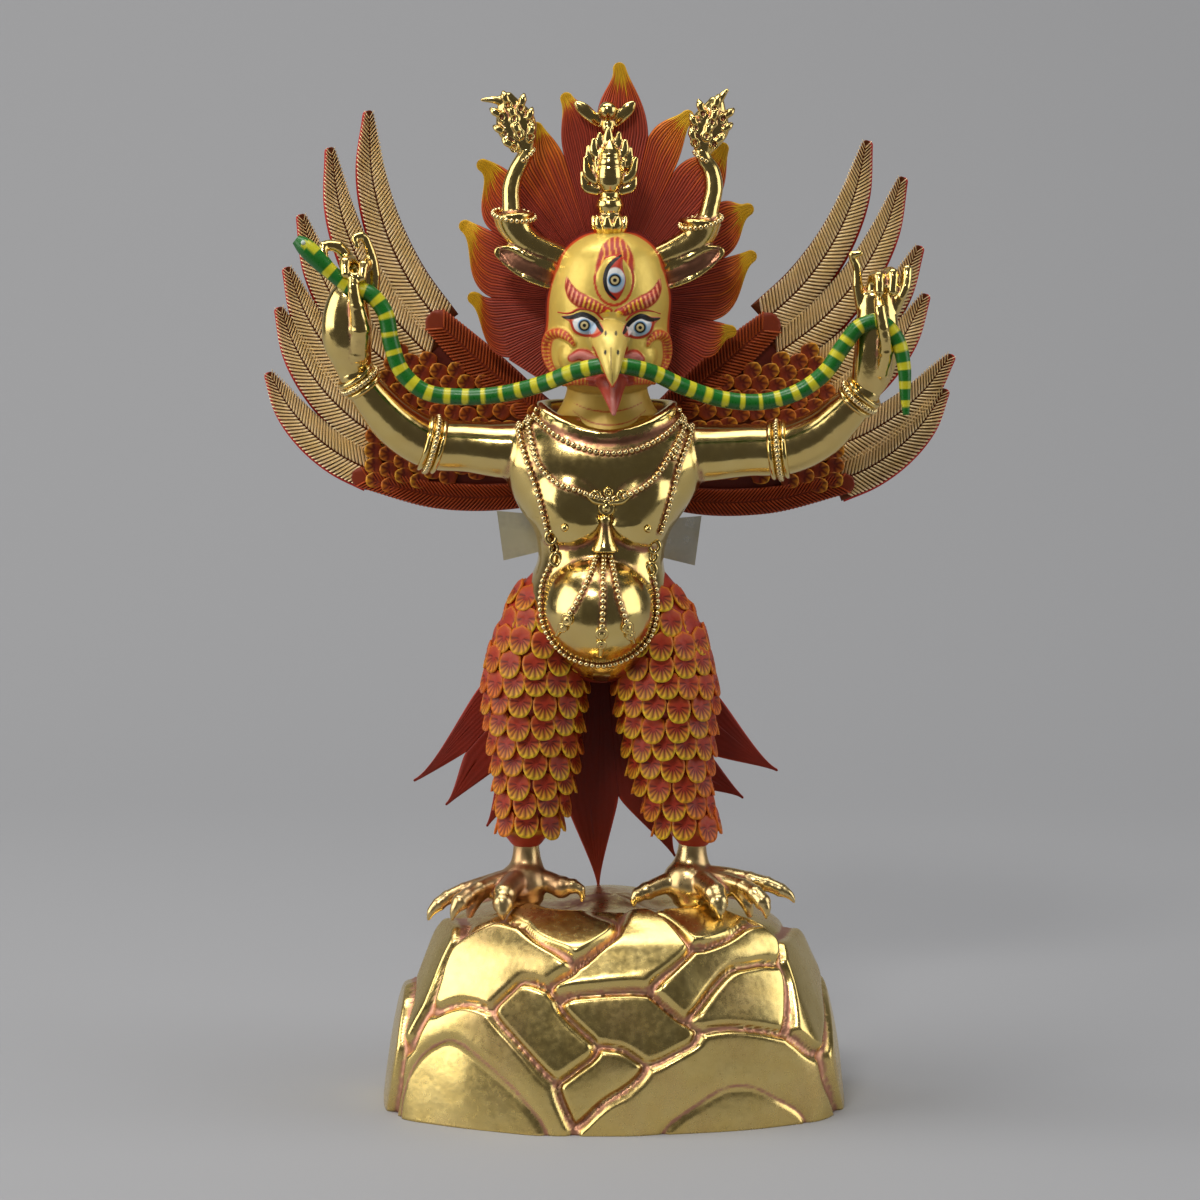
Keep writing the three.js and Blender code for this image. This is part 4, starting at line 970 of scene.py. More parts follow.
def row_tree():
    """Set copies of an item along the paths of a wire."""
    tree, given, out = new_group("GeometryNodeTree", "Row along a path", {
        "Wire": ("Geometry",), "Item": ("Object",), "Pitch": ("Float",), "Finish": ("Material",),
    }, {"Row": ("Geometry",)})
    curve = wired(tree, "GeometryNodeMeshToCurve", {"Mesh": given["Wire"]}).outputs[0]
    stepped = wired(tree, "GeometryNodeResampleCurve", {"Curve": curve, "Length": given["Pitch"]},
                    mode="LENGTH")
    tangent = tree.nodes.new("GeometryNodeInputTangent").outputs[0]
    facing = wired(tree, "GeometryNodeInputNamedAttribute", {"Name": "facing"}, data_type="FLOAT_VECTOR")
    size = wired(tree, "GeometryNodeInputNamedAttribute", {"Name": "size"}, data_type="FLOAT_VECTOR")
    along = wired(tree, "FunctionNodeAlignRotationToVector", {"Vector": tangent}, axis="X")
    faced = wired(tree, "FunctionNodeAlignRotationToVector",
                     {"Rotation": along.outputs[0], "Vector": facing.outputs[0]}, axis="Z", pivot_axis="X")
    item = wired(tree, "GeometryNodeObjectInfo", {"Object": given["Item"]}).outputs["Geometry"]
    copies = wired(tree, "GeometryNodeInstanceOnPoints", {
        "Points": stepped.outputs[0], "Instance": item, "Rotation": faced.outputs[0],
        "Scale": size.outputs[0]})
    real = wired(tree, "GeometryNodeRealizeInstances", {"Geometry": copies.outputs[0]}).outputs[0]
    done = wired(tree, "GeometryNodeSetMaterial", {"Geometry": real, "Material": given["Finish"]}).outputs[0]
    tree.links.new(done, out.inputs[0])
    return tree


ROW = row_tree()


def wire_piece(name, strands):
    """Paths as a wire mesh: each strand is places, facings, sizes and whether it closes."""
    points, edges, facings, sizes = [], [], [], []
    for path, facing, size, closed in strands:
        start, count = len(points), len(path)
        points += list(in_metres(path))
        facings += list(np.broadcast_to(facing, (count, 3)))
        sizes += list(np.broadcast_to(size, (count, 3)))
        edges += [(start + k, start + k + 1) for k in range(count - 1)]
        edges += [(start + count - 1, start)] * closed
    mesh = bpy.data.meshes.new(name)
    mesh.from_pydata(points, edges, [])
    for title, values in (("facing", facings), ("size", sizes)):
        mesh.attributes.new(title, "FLOAT_VECTOR", "POINT").data.foreach_set("vector", np.ravel(values))
    return placed(name, mesh)


def set_modifier(piece, tree, values):
    """Put a node tree on a piece and set its inputs by the sockets' identifiers."""
    modifier = piece.modifiers.new(tree.name, "NODES")
    modifier.node_group = tree
    for socket in tree.interface.items_tree:
        if socket.in_out == "INPUT" and socket.name in values:
            modifier[socket.identifier] = values[socket.name]


def row_of(name, strands, item, pitch, material):
    """Set the item along the strands and keep the result as a plain mesh."""
    piece = wire_piece(name, strands)
    set_modifier(piece, ROW, {"Item": item, "Pitch": pitch * MM, "Finish": material})
    settled(piece)
    shade(piece)
    print(name, "has", len(piece.data.polygons), "faces")
    return piece


def item_piece(name, points, faces, paint=None):
    """A pattern piece for a row, in millimetres around its own origin; it is removed when used."""
    mesh = bpy.data.meshes.new(name)
    mesh.from_pydata((np.asarray(points) * MM).tolist(), [], faces)
    item = bpy.data.objects.new(name, mesh)
    if paint is not None:
        mark(item, "paint", paint)
    return item


def drop_item(item):
    """Remove a pattern piece."""
    mesh = item.data
    bpy.data.objects.remove(item)
    bpy.data.meshes.remove(mesh)


print("row tree ready")

# %% [markdown]
# Strings of cast beads hang over the breast: a round string under the collar, a wide one that falls
# from the shoulders, a sash at each side that ends in links, a ring of beads around the belly and three
# tassels. The beads are laid on the finished skin, so each one is sunk a little into it.

# %% Strings of beads
BEAD = 2.2
NECKLACE = [
    [-33.2, 184.1], [-28.4, 167.2], [-21.7, 160.5], [-14.6, 158.2], [-7.9, 155.6], [2.5, 155.6],
    [8.8, 158.2], [14.1, 162], [19.6, 169.5], [24.1, 177], [27.4, 184.1],
]
COLLAR_BEADS = [
    [-29.2, 182.9], [-23.2, 178.4], [-13.9, 173.9], [-3.5, 171.7], [7.4, 172.8], [18.2, 177.7],
    [25.6, 183.7],
]
SASHES = [
    [
        [-37.3, 187.1], [-35.5, 177], [-32.5, 167.2], [-29.2, 158.2], [-26.6, 148.9], [-24.7, 141],
        [-23.3, 135.7],
    ],
    [[-33.2, 187.1], [-31.4, 177], [-29.2, 168.7]],
    [[30.4, 187.1], [27.8, 177], [24.1, 167.6], [21.5, 158.2], [18.9, 148.9], [16.7, 142.1]],
    [[26.3, 184.4], [24.5, 177], [21.9, 169.5]],
]
TASSELS = [
    [[-6.8, 132.9], [-9, 127.7], [-11.3, 122.8], [-14.2, 117.2], [-16.4, 113.5]],
    [[-4.2, 133], [-4.6, 126.7], [-4.6, 119.2], [-5, 109.1]],
    [[-2, 132.9], [-0.5, 126.5], [0.6, 120.9], [2.5, 114.2], [3.6, 110.5]],
]
BELLY_RING = [
    [-23.9, 129], [-26.9, 122.3], [-27.6, 115.5], [-26.9, 109.1], [-24.7, 103.5], [-21.3, 99],
    [-17.6, 96], [-13.1, 94.1], [-8.3, 92.9], [-5, 92.6], [-0.5, 93.3], [4.7, 95.2], [9.2, 98.2],
    [12.2, 101.6], [14, 106.5], [15.1, 112.1], [15.1, 118.5], [14, 124.1],
]


def laid_on(found, path, lift, count=60):
    """A smooth path on a skin, with the skin's own facing."""
    spots = [found(x, height, lift) for x, height in flow(path, count)]
    return np.array([spot[0] for spot in spots]), np.array([spot[1] for spot in spots])


STRINGS = [laid_on(on_torso, path, 0.8) for path in [NECKLACE, COLLAR_BEADS, BELLY_RING] + SASHES + TASSELS]
bead_item = item_piece("bead_item", *ball([0, 0, 0], BEAD / 2 * 1.02, 10))
beads = row_of("bead_strings", [(spots, facing, 1.0, False) for spots, facing in STRINGS], bead_item, BEAD,
               BEAD_GILT)
gilded(beads, 1, 0.2, "body")

# %% [markdown]
# Under and beside each string the gilder's brush left little gold. The crevice number of the torso takes
# this in: it rises near a string and in the true folds.

# %% Copper under the strings


def near_paths(points, paths, reach_mm):
    """One beside a path, falling to nothing at the given reach."""
    spots = np.vstack(paths)
    tree = KDTree(len(spots))
    for k, spot in enumerate(spots):
        tree.insert(spot, k)
    tree.balance()
    away = np.array([tree.find(point)[2] for point in points])
    return held(1 - away / reach_mm)


RIM_LINE = collar_path(3.2, 2.4)
string_paths = [spots for spots, _ in STRINGS] + [RIM_LINE, collar_path(-3.2, 1)]
near_string = near_paths(places(torso), string_paths, 2.7)
gilded(torso, 3, 0.2, "body", extra=held(1.4 * near_string))

# %% [markdown]
# The bell, its medallion with curls, the links at the ends of the sashes and the rosettes of the
# tassels are small cast forms of their own.

# %% Pendant, links and rosettes


def lifted(found, x, height, lift=0.0):
    """The place on a skin behind [x, height], lifted off it."""
    return found(x, height, lift)[0]


def path_limb(found, path, half, lift=0.3, count=24, sides=10):
    """A thin rod laid on a skin through places [x, height]; half may taper."""
    halves = np.interp(np.linspace(0, 1, len(path)), np.linspace(0, 1, np.size(half)), np.ravel(half))
    stations = [[*lifted(found, x, height, lift), r] for (x, height), r in zip(path, halves)]
    return limb(stations, sides, count)


def upright_oval(spot, across, tall, count):
    """An oval of places around a spot, in a plane that faces the front."""
    turn = full_turn(count)
    return np.asarray(spot) + np.stack([np.cos(turn) * across, 0 * turn, np.sin(turn) * tall], axis=1)


MEDAL = [[0.2, -0.5], [3.2, -0.3], [3.2, 0.7], [2.5, 1.2], [1.9, 0.8], [1.2, 1.5], [0.2, 1.9]]
BELL = [
    [0.3, 148.9], [2.2, 148.4], [2.5, 146.8], [1.9, 145.6], [2.4, 143], [3.1, 140], [4.3, 137.4],
    [5.1, 135.8], [4.9, 135.1], [0.4, 135.3],
]
LINKS = [[[-23.6, 140.1], [-22.5, 135.6], [-21.8, 131.4]], [[14.4, 136.3], [13.7, 132.2], [13, 127.3]]]
ROSETTES = [[-17.6, 111, -20.6, 106], [-5.1, 106.3, -5.4, 99.2], [4.2, 108, 6, 103.2]]
spot, facing = on_torso(-3.3, 151.6, 0.4)
pendant_shells = [turned(MEDAL, spot, 24, facing)]
for path in ([[-4.5, 153.4], [-7.6, 154], [-11.6, 157.2]], [[-2, 153.4], [2.6, 154], [6.4, 157]]):
    pendant_shells.append(path_limb(on_torso, path, [1.2, 1.1, 0.6], 0.5))
for x, height, wide in ((-7.6, 156, 1.5), (2.8, 156, 1.5), (-2.6, 157.4, 1.2)):
    pendant_shells.append(hoop(upright_oval(lifted(on_torso, x, height, 0.9), wide, wide, 20), 0.75, 8))
for x, height in ((-18.8, 144.2), (12.1, 143.6)):
    pendant_shells.append(ball(lifted(on_torso, x, height, 0.4), 1.5, 16))
pendant_shells.append(turned(BELL, [-3.8, lifted(on_torso, -4, 137)[1] - 1.0, 0], 32))
for links in LINKS:
    for (x, height), size in zip(links, ([1.9, 2.3], [1.5, 2], [1.9, 2.3])):
        pendant_shells.append(hoop(upright_oval(lifted(on_torso, x, height, 0.5), *size, 24), 0.9, 8))
for x, height, tip_x, tip_height in ROSETTES:
    lower = on_torso(0.5 * (x + tip_x), 0.5 * (height + tip_height) - 0.6, 0.4)
    for (spot, facing), size in ((on_torso(x, height, 0.4), 1.25), (lower, 1.0)):
        rosette = [[0.2, -0.4], [1.9 * size, -0.2], [2 * size, 0.9], [1.5 * size, 1.2], [1.1 * size, 0.7],
                   [0.6, 1.3], [0.1, 1.5]]
        pendant_shells.append(turned(rosette, spot, 20, facing))
    end = [x + 1.35 * (tip_x - x), height + 1.35 * (tip_height - height)]
    pendant_shells.append(path_limb(on_torso, [[x, height], end], [1.7, 0.9], 0.3, 12))
pendant = new_piece("pendant_and_links", *joined(pendant_shells), GILT)
gilded(pendant, 2, 0.3, "body")
print("small cast forms:", len(pendant_shells))

# %% [markdown]
# Armlets and bracelets are bands of two rolled rims with a row of beads between them, set square to
# the arm.

# %% Armlets and bracelets


def band(spot, along, half):
    """Two rims with a sleeve between them, and the path of the bead row around it."""
    along = unit(along)
    circle = circle_round(along, [0.2, 1, 0.1])
    rims = [hoop(spot + along * shift + circle * half, 1.05, 10) for shift in (-2.6, 2.6)]
    sleeve = hoop(spot + circle * (half - 0.7), 1.7, 12)
    bead_path = (spot + circle * (half + 0.75), circle, 1.0, True)
    return rims + [sleeve], bead_path


def along_arm(table, share):
    """The place, direction and half width at a share of an arm."""
    rows = flow(table, 101)
    k = int(round(100 * share))
    return rows[k, :3], rows[min(k + 1, 100), :3] - rows[max(k - 1, 0), :3], rows[k, 3]


band_shells, band_beads = [], []
for table in (LEFT_ARM, RIGHT_ARM):
    for share in (0.565, 0.965):
        spot, along, half = along_arm(table, share)
        shells, bead_path = band(spot, along, half + 0.4)
        band_shells += shells
        band_beads.append(bead_path)
bands = new_piece("armlets_and_bracelets", *joined(band_shells), GILT)
gilded(bands, 2, 0.3, "body")
bead_row = row_of("band_beads", band_beads, bead_item, 1.75, BEAD_GILT)
gilded(bead_row, 1, 0.2, "body")
drop_item(bead_item)

# %% [markdown]
# The hands are small and lively, so each is built from a palm and separate fingers, with a ball at each
# knuckle, and melted at a finer grain than the torso. The thumb of each hand closes over the snake.

# %% Hands


def finger(joints, sides=14):
    """A finger with knuckles."""
    knuckles = [ball(joint[:3], joint[3] * 1.1, 14) for joint in joints[1:-1]]
    return [limb(joints, sides, 26)] + knuckles


LEFT_HAND = {
    "palm": [
        [-97.5, -10.6, 200, 6, 5.4], [-98.6, -12, 206, 7.6, 6], [-100, -14, 213, 9.2, 6.8],
        [-100.2, -14.8, 220, 9.3, 6.8], [-99.6, -14.6, 228, 7.8, 5.8], [-98.4, -14, 234, 5.2, 4],
    ],
    "fingers": [
        [
            [-96.6, -12, 202, 3.4], [-95.8, -16, 209, 4.4], [-94.9, -20, 218, 3.9],
            [-96, -22.6, 227, 2.7], [-97, -23.4, 234, 2.2], [-97.2, -22, 238, 1.8],
        ],
        [
            [-97.5, -14, 233, 3], [-99, -14.5, 242, 2.6], [-103, -15.5, 248.2, 2.3],
            [-108.4, -17.5, 248.4, 2], [-108, -20, 243.6, 1.7],
        ],
        [
            [-96.5, -14, 233, 2.8], [-98.4, -15.5, 242.6, 2.4], [-100.2, -20, 242.6, 2.2],
            [-100, -22.5, 238.4, 1.9],
        ],
        [
            [-93, -14, 233, 2.6], [-92.6, -15.5, 242, 2.3], [-93.4, -20, 241.5, 2.1],
            [-94, -22.5, 237, 1.8],
        ],
        [
            [-90.4, -14, 229, 2.4], [-89.6, -14.5, 238, 2.2], [-91.2, -15, 246.6, 1.9],
            [-94.4, -16, 252.4, 1.6], [-96.8, -17, 251.8, 1.3], [-95.6, -18, 248.4, 1],
        ],
    ],
}
RIGHT_HAND = {
    "palm": [
        [93.4, -10.6, 193.5, 5.6, 5], [96, -13, 201, 7.6, 5.6], [97.6, -14.5, 211, 8.4, 6.2],
        [97.6, -14.5, 221, 7.8, 5.2], [97.2, -14, 230, 6.4, 4.2],
    ],
    "fingers": [
        [
            [98.6, -12, 196, 2.6], [99.6, -17, 202, 3], [100.6, -21.3, 210, 2.7], [99.2, -24.4, 219, 2.3],
            [98, -24.6, 226, 2.1], [97.6, -21.5, 229, 1.8],
        ],
        [
            [92, -14, 226, 2.6], [90.2, -15, 234, 2], [89.8, -15, 241, 1.7], [88.2, -16, 245.4, 1.4],
            [91.4, -17, 246, 1.1],
        ],
        [[95.5, -14, 228, 2.8], [96.6, -16, 237, 2.4], [97.8, -20.5, 237.5, 2.1], [98, -22.5, 232, 1.8]],
        [
            [100, -14, 228, 2.8], [101.8, -16, 238.5, 2.4], [103, -20.5, 238.5, 2.1],
            [102.8, -22, 232, 1.9],
        ],
        [
            [104, -14, 225, 2.6], [107.4, -16, 233, 2.1], [108.4, -19.5, 240, 1.9],
            [107.6, -22, 233.5, 1.7], [106, -22.4, 230, 1.5],
        ],
    ],
}
for side, hand in (("left", LEFT_HAND), ("right", RIGHT_HAND)):
    shells = [limb(hand["palm"], 28, 30)]
    for joints in hand["fingers"]:
        shells += finger(joints)
    piece = cast(side + "_hand", shells, 0.6, 2, GILT)
    gilded(piece, 4, 0.2, "body")

# %% [markdown]
# The feet are those of a bird of prey: a smooth gilt ankle that spreads into toes with thick joints, each
# ending in a hooked claw.

# %% Feet
FEET = {
    "left": {
        "ankle": [
            [-33.9, -1, 25, 5.2], [-33.9, -1, 17, 5.1], [-33.9, -1.4, 12, 6.2, 6],
            [-34.3, -2.5, 7.4, 9.4, 8.4], [-34.8, -3.5, 3.4, 10.6, 9], [-34.2, -4, -0.8, 7.4, 7.6],
        ],
        "web": [-41, -8, 2.4],
        "toes": [
            [
                [-40, -4, 6.4, 4.2], [-49.5, -8, 5.4, 3], [-57.4, -11, 3.6, 2.6], [-63.6, -13, 1, 2.6],
                [-67, -14, -1.4, 2.5], [-70, -15, -4.4, 1.7], [-71, -15.5, -7, 0.7],
            ],
            [
                [-39, -6, 6.2, 4.4], [-46, -9.5, 5.6, 3.5], [-51.4, -14, 4.6, 3], [-55.6, -18, 2.9, 2.8],
                [-58.6, -20.6, 0.8, 3.1], [-60.8, -22, -2.4, 1.9], [-61.8, -22.4, -5.4, 0.8],
            ],
            [[-47, -10, 4.6, 3], [-52, -14, 1.8, 2.9], [-54.4, -16.4, -1.8, 2.5], [-55.2, -17, -5, 1.5]],
            [
                [-36.4, -7, 6, 5], [-39.6, -13, 5.2, 4.4], [-41.8, -19, 3.4, 4.2],
                [-42.4, -22.6, 0.8, 3.8], [-42.4, -25, -2.2, 2.4], [-42.2, -25.4, -4.6, 1],
            ],
            [
                [-30, -4, 6, 5], [-24.5, -6, 5.2, 4.1], [-20.5, -8, 4, 4], [-16.4, -9.5, 4.6, 2.8],
                [-13.2, -10.6, 3.6, 1.9], [-12.4, -11, 0.6, 1.1], [-12.8, -11.2, -0.9, 0.7],
            ],
        ],
    },
    "right": {
        "ankle": [
            [30, -1, 25, 5.6], [29.6, -1, 17.5, 5.5], [29.3, -1.4, 12.4, 7, 6.4],
            [29, -2.5, 7.4, 10.6, 8.8], [29.3, -3.5, 3.4, 11.4, 9.2], [29.6, -4, -0.8, 8, 7.8],
        ],
        "web": [37, -8, 3],
        "toes": [
            [
                [35, -4, 7.6, 4.2], [43.6, -6, 8, 3.2], [51.2, -8.6, 7.2, 2.8], [57.6, -11, 5.8, 2.8],
                [63, -12.6, 3.8, 2.5], [66.8, -13.4, 1.6, 1.6], [68.2, -13.8, -0.6, 0.7],
            ],
            [
                [34, -6, 6.8, 4.4], [42.6, -9.5, 6.2, 3.4], [48.6, -14, 5.4, 3], [53, -18.4, 3.7, 3.1],
                [55.8, -21, 1, 3], [57.2, -22.4, -2, 1.9], [57.2, -22.8, -4.6, 0.8],
            ],
            [[44, -10, 5.4, 3], [48, -14, 2.2, 2.9], [50.4, -16.4, -1.4, 2.5], [51.2, -17, -4.8, 1.5]],
            [
                [31.6, -7, 6, 5], [35, -13, 5.4, 4.3], [37.8, -19, 3.8, 4.1], [39, -22.8, 1.2, 3.6],
                [39.6, -25, -1.6, 2.2], [39.8, -25.4, -4.2, 1],
            ],
            [
                [24.4, -4, 5.6, 5], [17.6, -7, 4.4, 3.8], [12.4, -9.4, 2.8, 3.3], [9, -11, 1.6, 2.7],
                [7.2, -12, -0.4, 1.7], [7.2, -12.2, -2.4, 0.8],
            ],
        ],
    },
}
for side, foot in FEET.items():
    shells = [limb(foot["ankle"], 28, 30)]
    for toe in foot["toes"]:
        shells.append(limb(toe, 18, 40, blunt=0.9))
        shells += [ball(joint[:3], joint[3] * 1.12, 18) for joint in toe[2:-2]]
    shells.append(ball(foot["web"], [10, 7.5, 3.8], 24))
    piece = cast(side + "_foot", shells, 0.72, 1, FOOT_GILT)
    gilded(piece, 24, 0.5, "body")

# %% [markdown]
# The head is a mask-like face with a hooked beak, cast with its neck. The relief is low: cheeks, lids,
# brows and curls rise a millimetre or two, and the painter's lines do the rest. The skin is melted at a
# fine grain so that the mesh can carry the painted lines as an attribute.

# %% Face and beak
FACE = [
    [192.5, -2.8, 8, 14, 6], [195.2, -3, 16, 19, 7.6], [199, -3.1, 21, 22.5, 8],
    [204, -3.3, 23.6, 24.4, 8], [211, -3.3, 24.3, 25.2, 8], [219, -2.8, 23.7, 25.6, 8],
    [229, -2.2, 23.7, 26, 8], [238, -2, 21.7, 24.8, 8], [246.6, -1.7, 18, 21.6, 7.6],
    [251.6, -1.5, 12.4, 16, 6.5], [254, -1.4, 5, 8.6, 4],
]
NECK = [
    [177.2, -2.6, 24.6, 20, 8.4], [181, -2.7, 22.6, 18.6, 8.4], [184.6, -2.8, 19.6, 17, 8.2],
    [189, -2.9, 16.8, 15.4, 8], [194, -3, 15.2, 15, 8], [200, -3, 15, 16, 8],
]
UPPER_BEAK = [
    [-2.2, -18, 216.6, 6.6, 5.8], [-2.1, -26, 215.8, 6.9, 6], [-1.9, -33, 212.8, 6.1, 5.6],
    [-1.6, -38.4, 208.4, 4.5, 4.4], [-1.3, -41.5, 203.4, 2.8, 3], [-1.1, -42.6, 198.8, 0.9, 1.1],
]
LOWER_BEAK = [
    [-2, -14, 200.2, 7.2, 3.8], [-1.6, -22, 199, 6.2, 3.4], [-1.2, -29, 195.8, 4.3, 2.9],
    [-0.8, -33.4, 191.6, 2.5, 2], [-0.6, -35.4, 187.6, 0.8, 0.8],
]
LEFT_CURL = [
    [-15.4, 212.4], [-17.6, 215], [-21.2, 216.4], [-24.6, 214.8], [-25.8, 211.2], [-25.6, 207],
    [-24, 203], [-22, 200.8],
]
RIGHT_CURL = [
    [12, 212], [13.4, 214.6], [16.2, 215.8], [18.8, 214], [19.6, 210.6], [19.6, 207], [18.4, 203.2],
    [16.6, 200.8],
]
LEFT_BROW = [
    [-18, 236.8], [-17, 233.2], [-14.9, 230.2], [-11.6, 228.4], [-7.8, 226.9], [-4.6, 225.4],
    [-2.9, 224.8],
]
RIGHT_BROW = [
    [16.5, 236], [15.5, 232.4], [13.4, 229.7], [9.8, 227.9], [6.2, 226.4], [3.2, 225], [1.4, 224.4],
]
BROW_HALVES = [0.5, 1.8, 2.7, 3.0, 2.6, 2.2, 1.9]
LIPS = [
    [[-16.2, 207.4], [-13, 208.8], [-9.6, 207.8], [-6, 206.8]],
    [[9.4, 207], [7.4, 208.4], [5, 207.6], [2.6, 206.8]],
]
BEARD = [
    [[-19.4, 196.6], [-16, 198.6], [-12, 199.2], [-7.6, 198.6]],
    [[14.6, 197], [11.4, 198.8], [7.6, 199.2], [4.4, 198.6]],
]

mask = new_piece("mask_blank", *joined([stacked(FACE, 96, 80, 2.15), stacked(NECK, 96, 30, 2)]), FACE_PAINT)
on_mask = front_of(mask)
FACE_PADS = [
    (-15.8, 207.5, [8.5, 7, 8]), (10.4, 207.3, [8.5, 7, 8]), (-11.5, 219.6, [6.6, 4, 5.2]),
    (9.2, 218.9, [6.6, 4, 5.2]), (-0.4, 236.3, [7.4, 2.6, 9.6]),
]
BROW_RELIEF = [0.8, 1.6, 2.3, 2.5, 2.3, 2, 1.7]
FACE_ROLLS = [
    (LEFT_CURL, [1.2, 1.9, 1.9, 1.6, 1], 0.2), (RIGHT_CURL, [1.2, 1.8, 1.8, 1.5, 1], 0.2),
    (LEFT_BROW, BROW_RELIEF, -0.8), (RIGHT_BROW, BROW_RELIEF, -0.8),
    (LIPS[0], [1.2, 1.9, 1.9], 0.3), (LIPS[1], [1.2, 1.9, 1.9], 0.6),
    (BEARD[0], [0.8, 2, 1.8], 0.2), (BEARD[1], [0.8, 2, 1.8], 0.2),
]
head_shells = [stacked(FACE, 96, 80, 2.15), stacked(NECK, 96, 30, 2)]
head_shells += [limb(UPPER_BEAK, 32, 50, UPWARD), limb(LOWER_BEAK, 28, 40, UPWARD)]
for x, height, radii in FACE_PADS:
    head_shells.append(ball(lifted(on_mask, x, height, 1.0 - radii[1]), radii, 40))
for path, half, lift in FACE_ROLLS:
    head_shells.append(path_limb(on_mask, path, half, lift, 40, 16))
head = cast("head_and_beak", head_shells, 0.48, 2, FACE_PAINT)
bpy.data.objects.remove(mask)
on_head = front_of(head)

# %% [markdown]
# The painter's palette and brush. A coat is the paint on the vertices of a piece: a ground, and colours
# laid over it by shares. A stroke says how far each place lies from a painted line, as a share of the
# line's half width, and how far along the line it is.

# %% Palette and brush


def tone(red, green, blue):
    """A colour read from a colour chart, from 0 to 255, as light."""
    share = np.array([red, green, blue]) / 255
    return np.where(share <= 0.04045, share / 12.92, ((share + 0.055) / 1.055) ** 2.4)


GOLD_PAINT = tone(232, 200, 96)
RED = tone(190, 52, 24)
MAROON = tone(112, 24, 20)
PINK = tone(206, 120, 108)
BLACK = tone(16, 14, 14)
WHITE = tone(236, 236, 232)
PALE_BLUE = tone(120, 168, 206)
CREAM = tone(216, 196, 140)


class Coat:
    """Colours for each vertex of a piece."""

    def __init__(self, ground, count):
        self.colours = np.tile(ground, (count, 1))

    def lay(self, share, colour):
        """Lay a colour over the others by a share from 0 to 1."""
        share = held(share)[:, None]
        self.colours = self.colours * (1 - share) + share * colour
        return self.colours


def stroke(x, height, path, half, count=90):
    """Distance from a painted line as a share of its half width, and the share along it."""
    line = flow(path, count)
    width = np.interp(np.linspace(0, 1, count), np.linspace(0, 1, np.size(half)), np.ravel(half))
    away = np.hypot(x[:, None] - line[:, 0], height[:, None] - line[:, 1]) / width
    nearest = away.argmin(axis=1)
    return away[np.arange(len(x)), nearest], nearest / (count - 1)


def soft(distance, edge=0.18):
    """One inside, nothing outside, soft at the edge."""
    return held((1 - distance) / edge)


def line_share(x, height, path, half, edge):
    """One on a painted line, soft at its edge."""
    return soft(stroke(x, height, path, half)[0], edge)


def oval(x, height, centre, radii):
    """Distance from the middle of an oval, one on its rim."""
    return np.hypot((x - centre[0]) / radii[0], (height - centre[1]) / radii[1])


def beside(points, table):
    """Distance from a limb's middle line as a share of its half width."""
    rows = flow([row[:4] for row in table], 50)
    away = np.linalg.norm(points[:, None, :] - rows[None, :, :3], axis=2) / np.maximum(rows[:, 3], 0.8)
    return away.min(axis=1)


def within(outline, x, height, blur=0.22):
    """One inside a closed outline, softened over its edge."""
    shifts = ((-blur, 0), (blur, 0), (0, -blur), (0, blur))
    return np.mean([inside(np.array(outline), x + dx, height + dy) for dx, dy in shifts], axis=0)


print("palette ready")

# %% [markdown]
# The face is painted in the order in which a painter works: the gold ground, the red border and the
# curls of hair with their yellow strokes, then the brows, the third eye and the lips.

# %% Painted lines of the face
NECK_LINES = [
    [[-15.4, 189.4], [-10, 187.6], [-2.7, 186.8], [5, 187.8], [10.4, 189.8]],
    [[-15.8, 186.6], [-10.9, 183.6], [-2.7, 182], [6, 183.4], [11.4, 186.6]],
]
BORDER = [[196, 229, 233, 240, 246, 251, 254], [0.97, 0.97, 0.93, 0.9, 0.93, 0.96, 1.1]]
TUFT = [
    [-7.6, 238], [-7.3, 242], [-6.2, 246], [-4.6, 249.4], [-2, 251.6], [0.6, 252.2], [2.8, 251.2],
    [4.8, 249], [6.4, 246], [7.2, 242], [6.6, 238], [5.4, 241], [2.6, 244.8], [-0.5, 246.2],
    [-3.6, 244.8], [-6, 241],
]
NOSTRILS = [
    [-3.6, 217.6, 0.55, 1.0], [0.2, 217.6, 0.55, 1.0], [-3.8, 211, 0.5, 1.1], [0.9, 211, 0.5, 1.1],
]
BEAK_RIMS = [
    [[-8, 211.6], [-5.6, 206.4], [-3.4, 201.4], [-1.2, 198]],
    [[4.3, 211.2], [3.2, 206.4], [1.2, 201.4], [-1.2, 198]],
]


def paint_ground(coat, x, y, height, down):
    """Gold ground, shade under the chin, red border and red lines on the neck."""
    coat.lay(np.clip((204 - height) / 30, 0, 0.3) * (y > -20), tone(186, 134, 40))
    under_chin = (height > 193) * (height < 204) * (y > -26)
    coat.lay(np.clip((down - 0.1) / 0.5, 0, 0.5) * under_chin, tone(150, 92, 14))
    levels, middles, halves = np.array(FACE).T[:3]
    across = np.abs(x - np.interp(height, levels, middles)) / np.interp(height, levels, halves)
    border = np.maximum(held((across - np.interp(height, *BORDER)) / 0.03), held(y + 10.5))
    coat.lay(border * (height > 196), tone(200, 72, 30))
    for path in NECK_LINES:
        coat.lay(line_share(x, height, path, [0.2, 0.4, 0.2], 0.6) * (y > -20), RED)


def striped(coat, where, x, height, path, half, turns, tones, slant=0.0):
    """A roll of painted hair: a red ground with yellow strokes across it."""
    away, along = stroke(x, height, path, half)
    coat.lay(soft(away, 0.25) * where, tone(*tones[0]))
    wave = np.sin(2 * math.pi * (along * turns) + slant * away)
    coat.lay(soft(away * 1.25, 0.3) * held(wave * 2.2 - 0.6) * where, tone(*tones[1]))


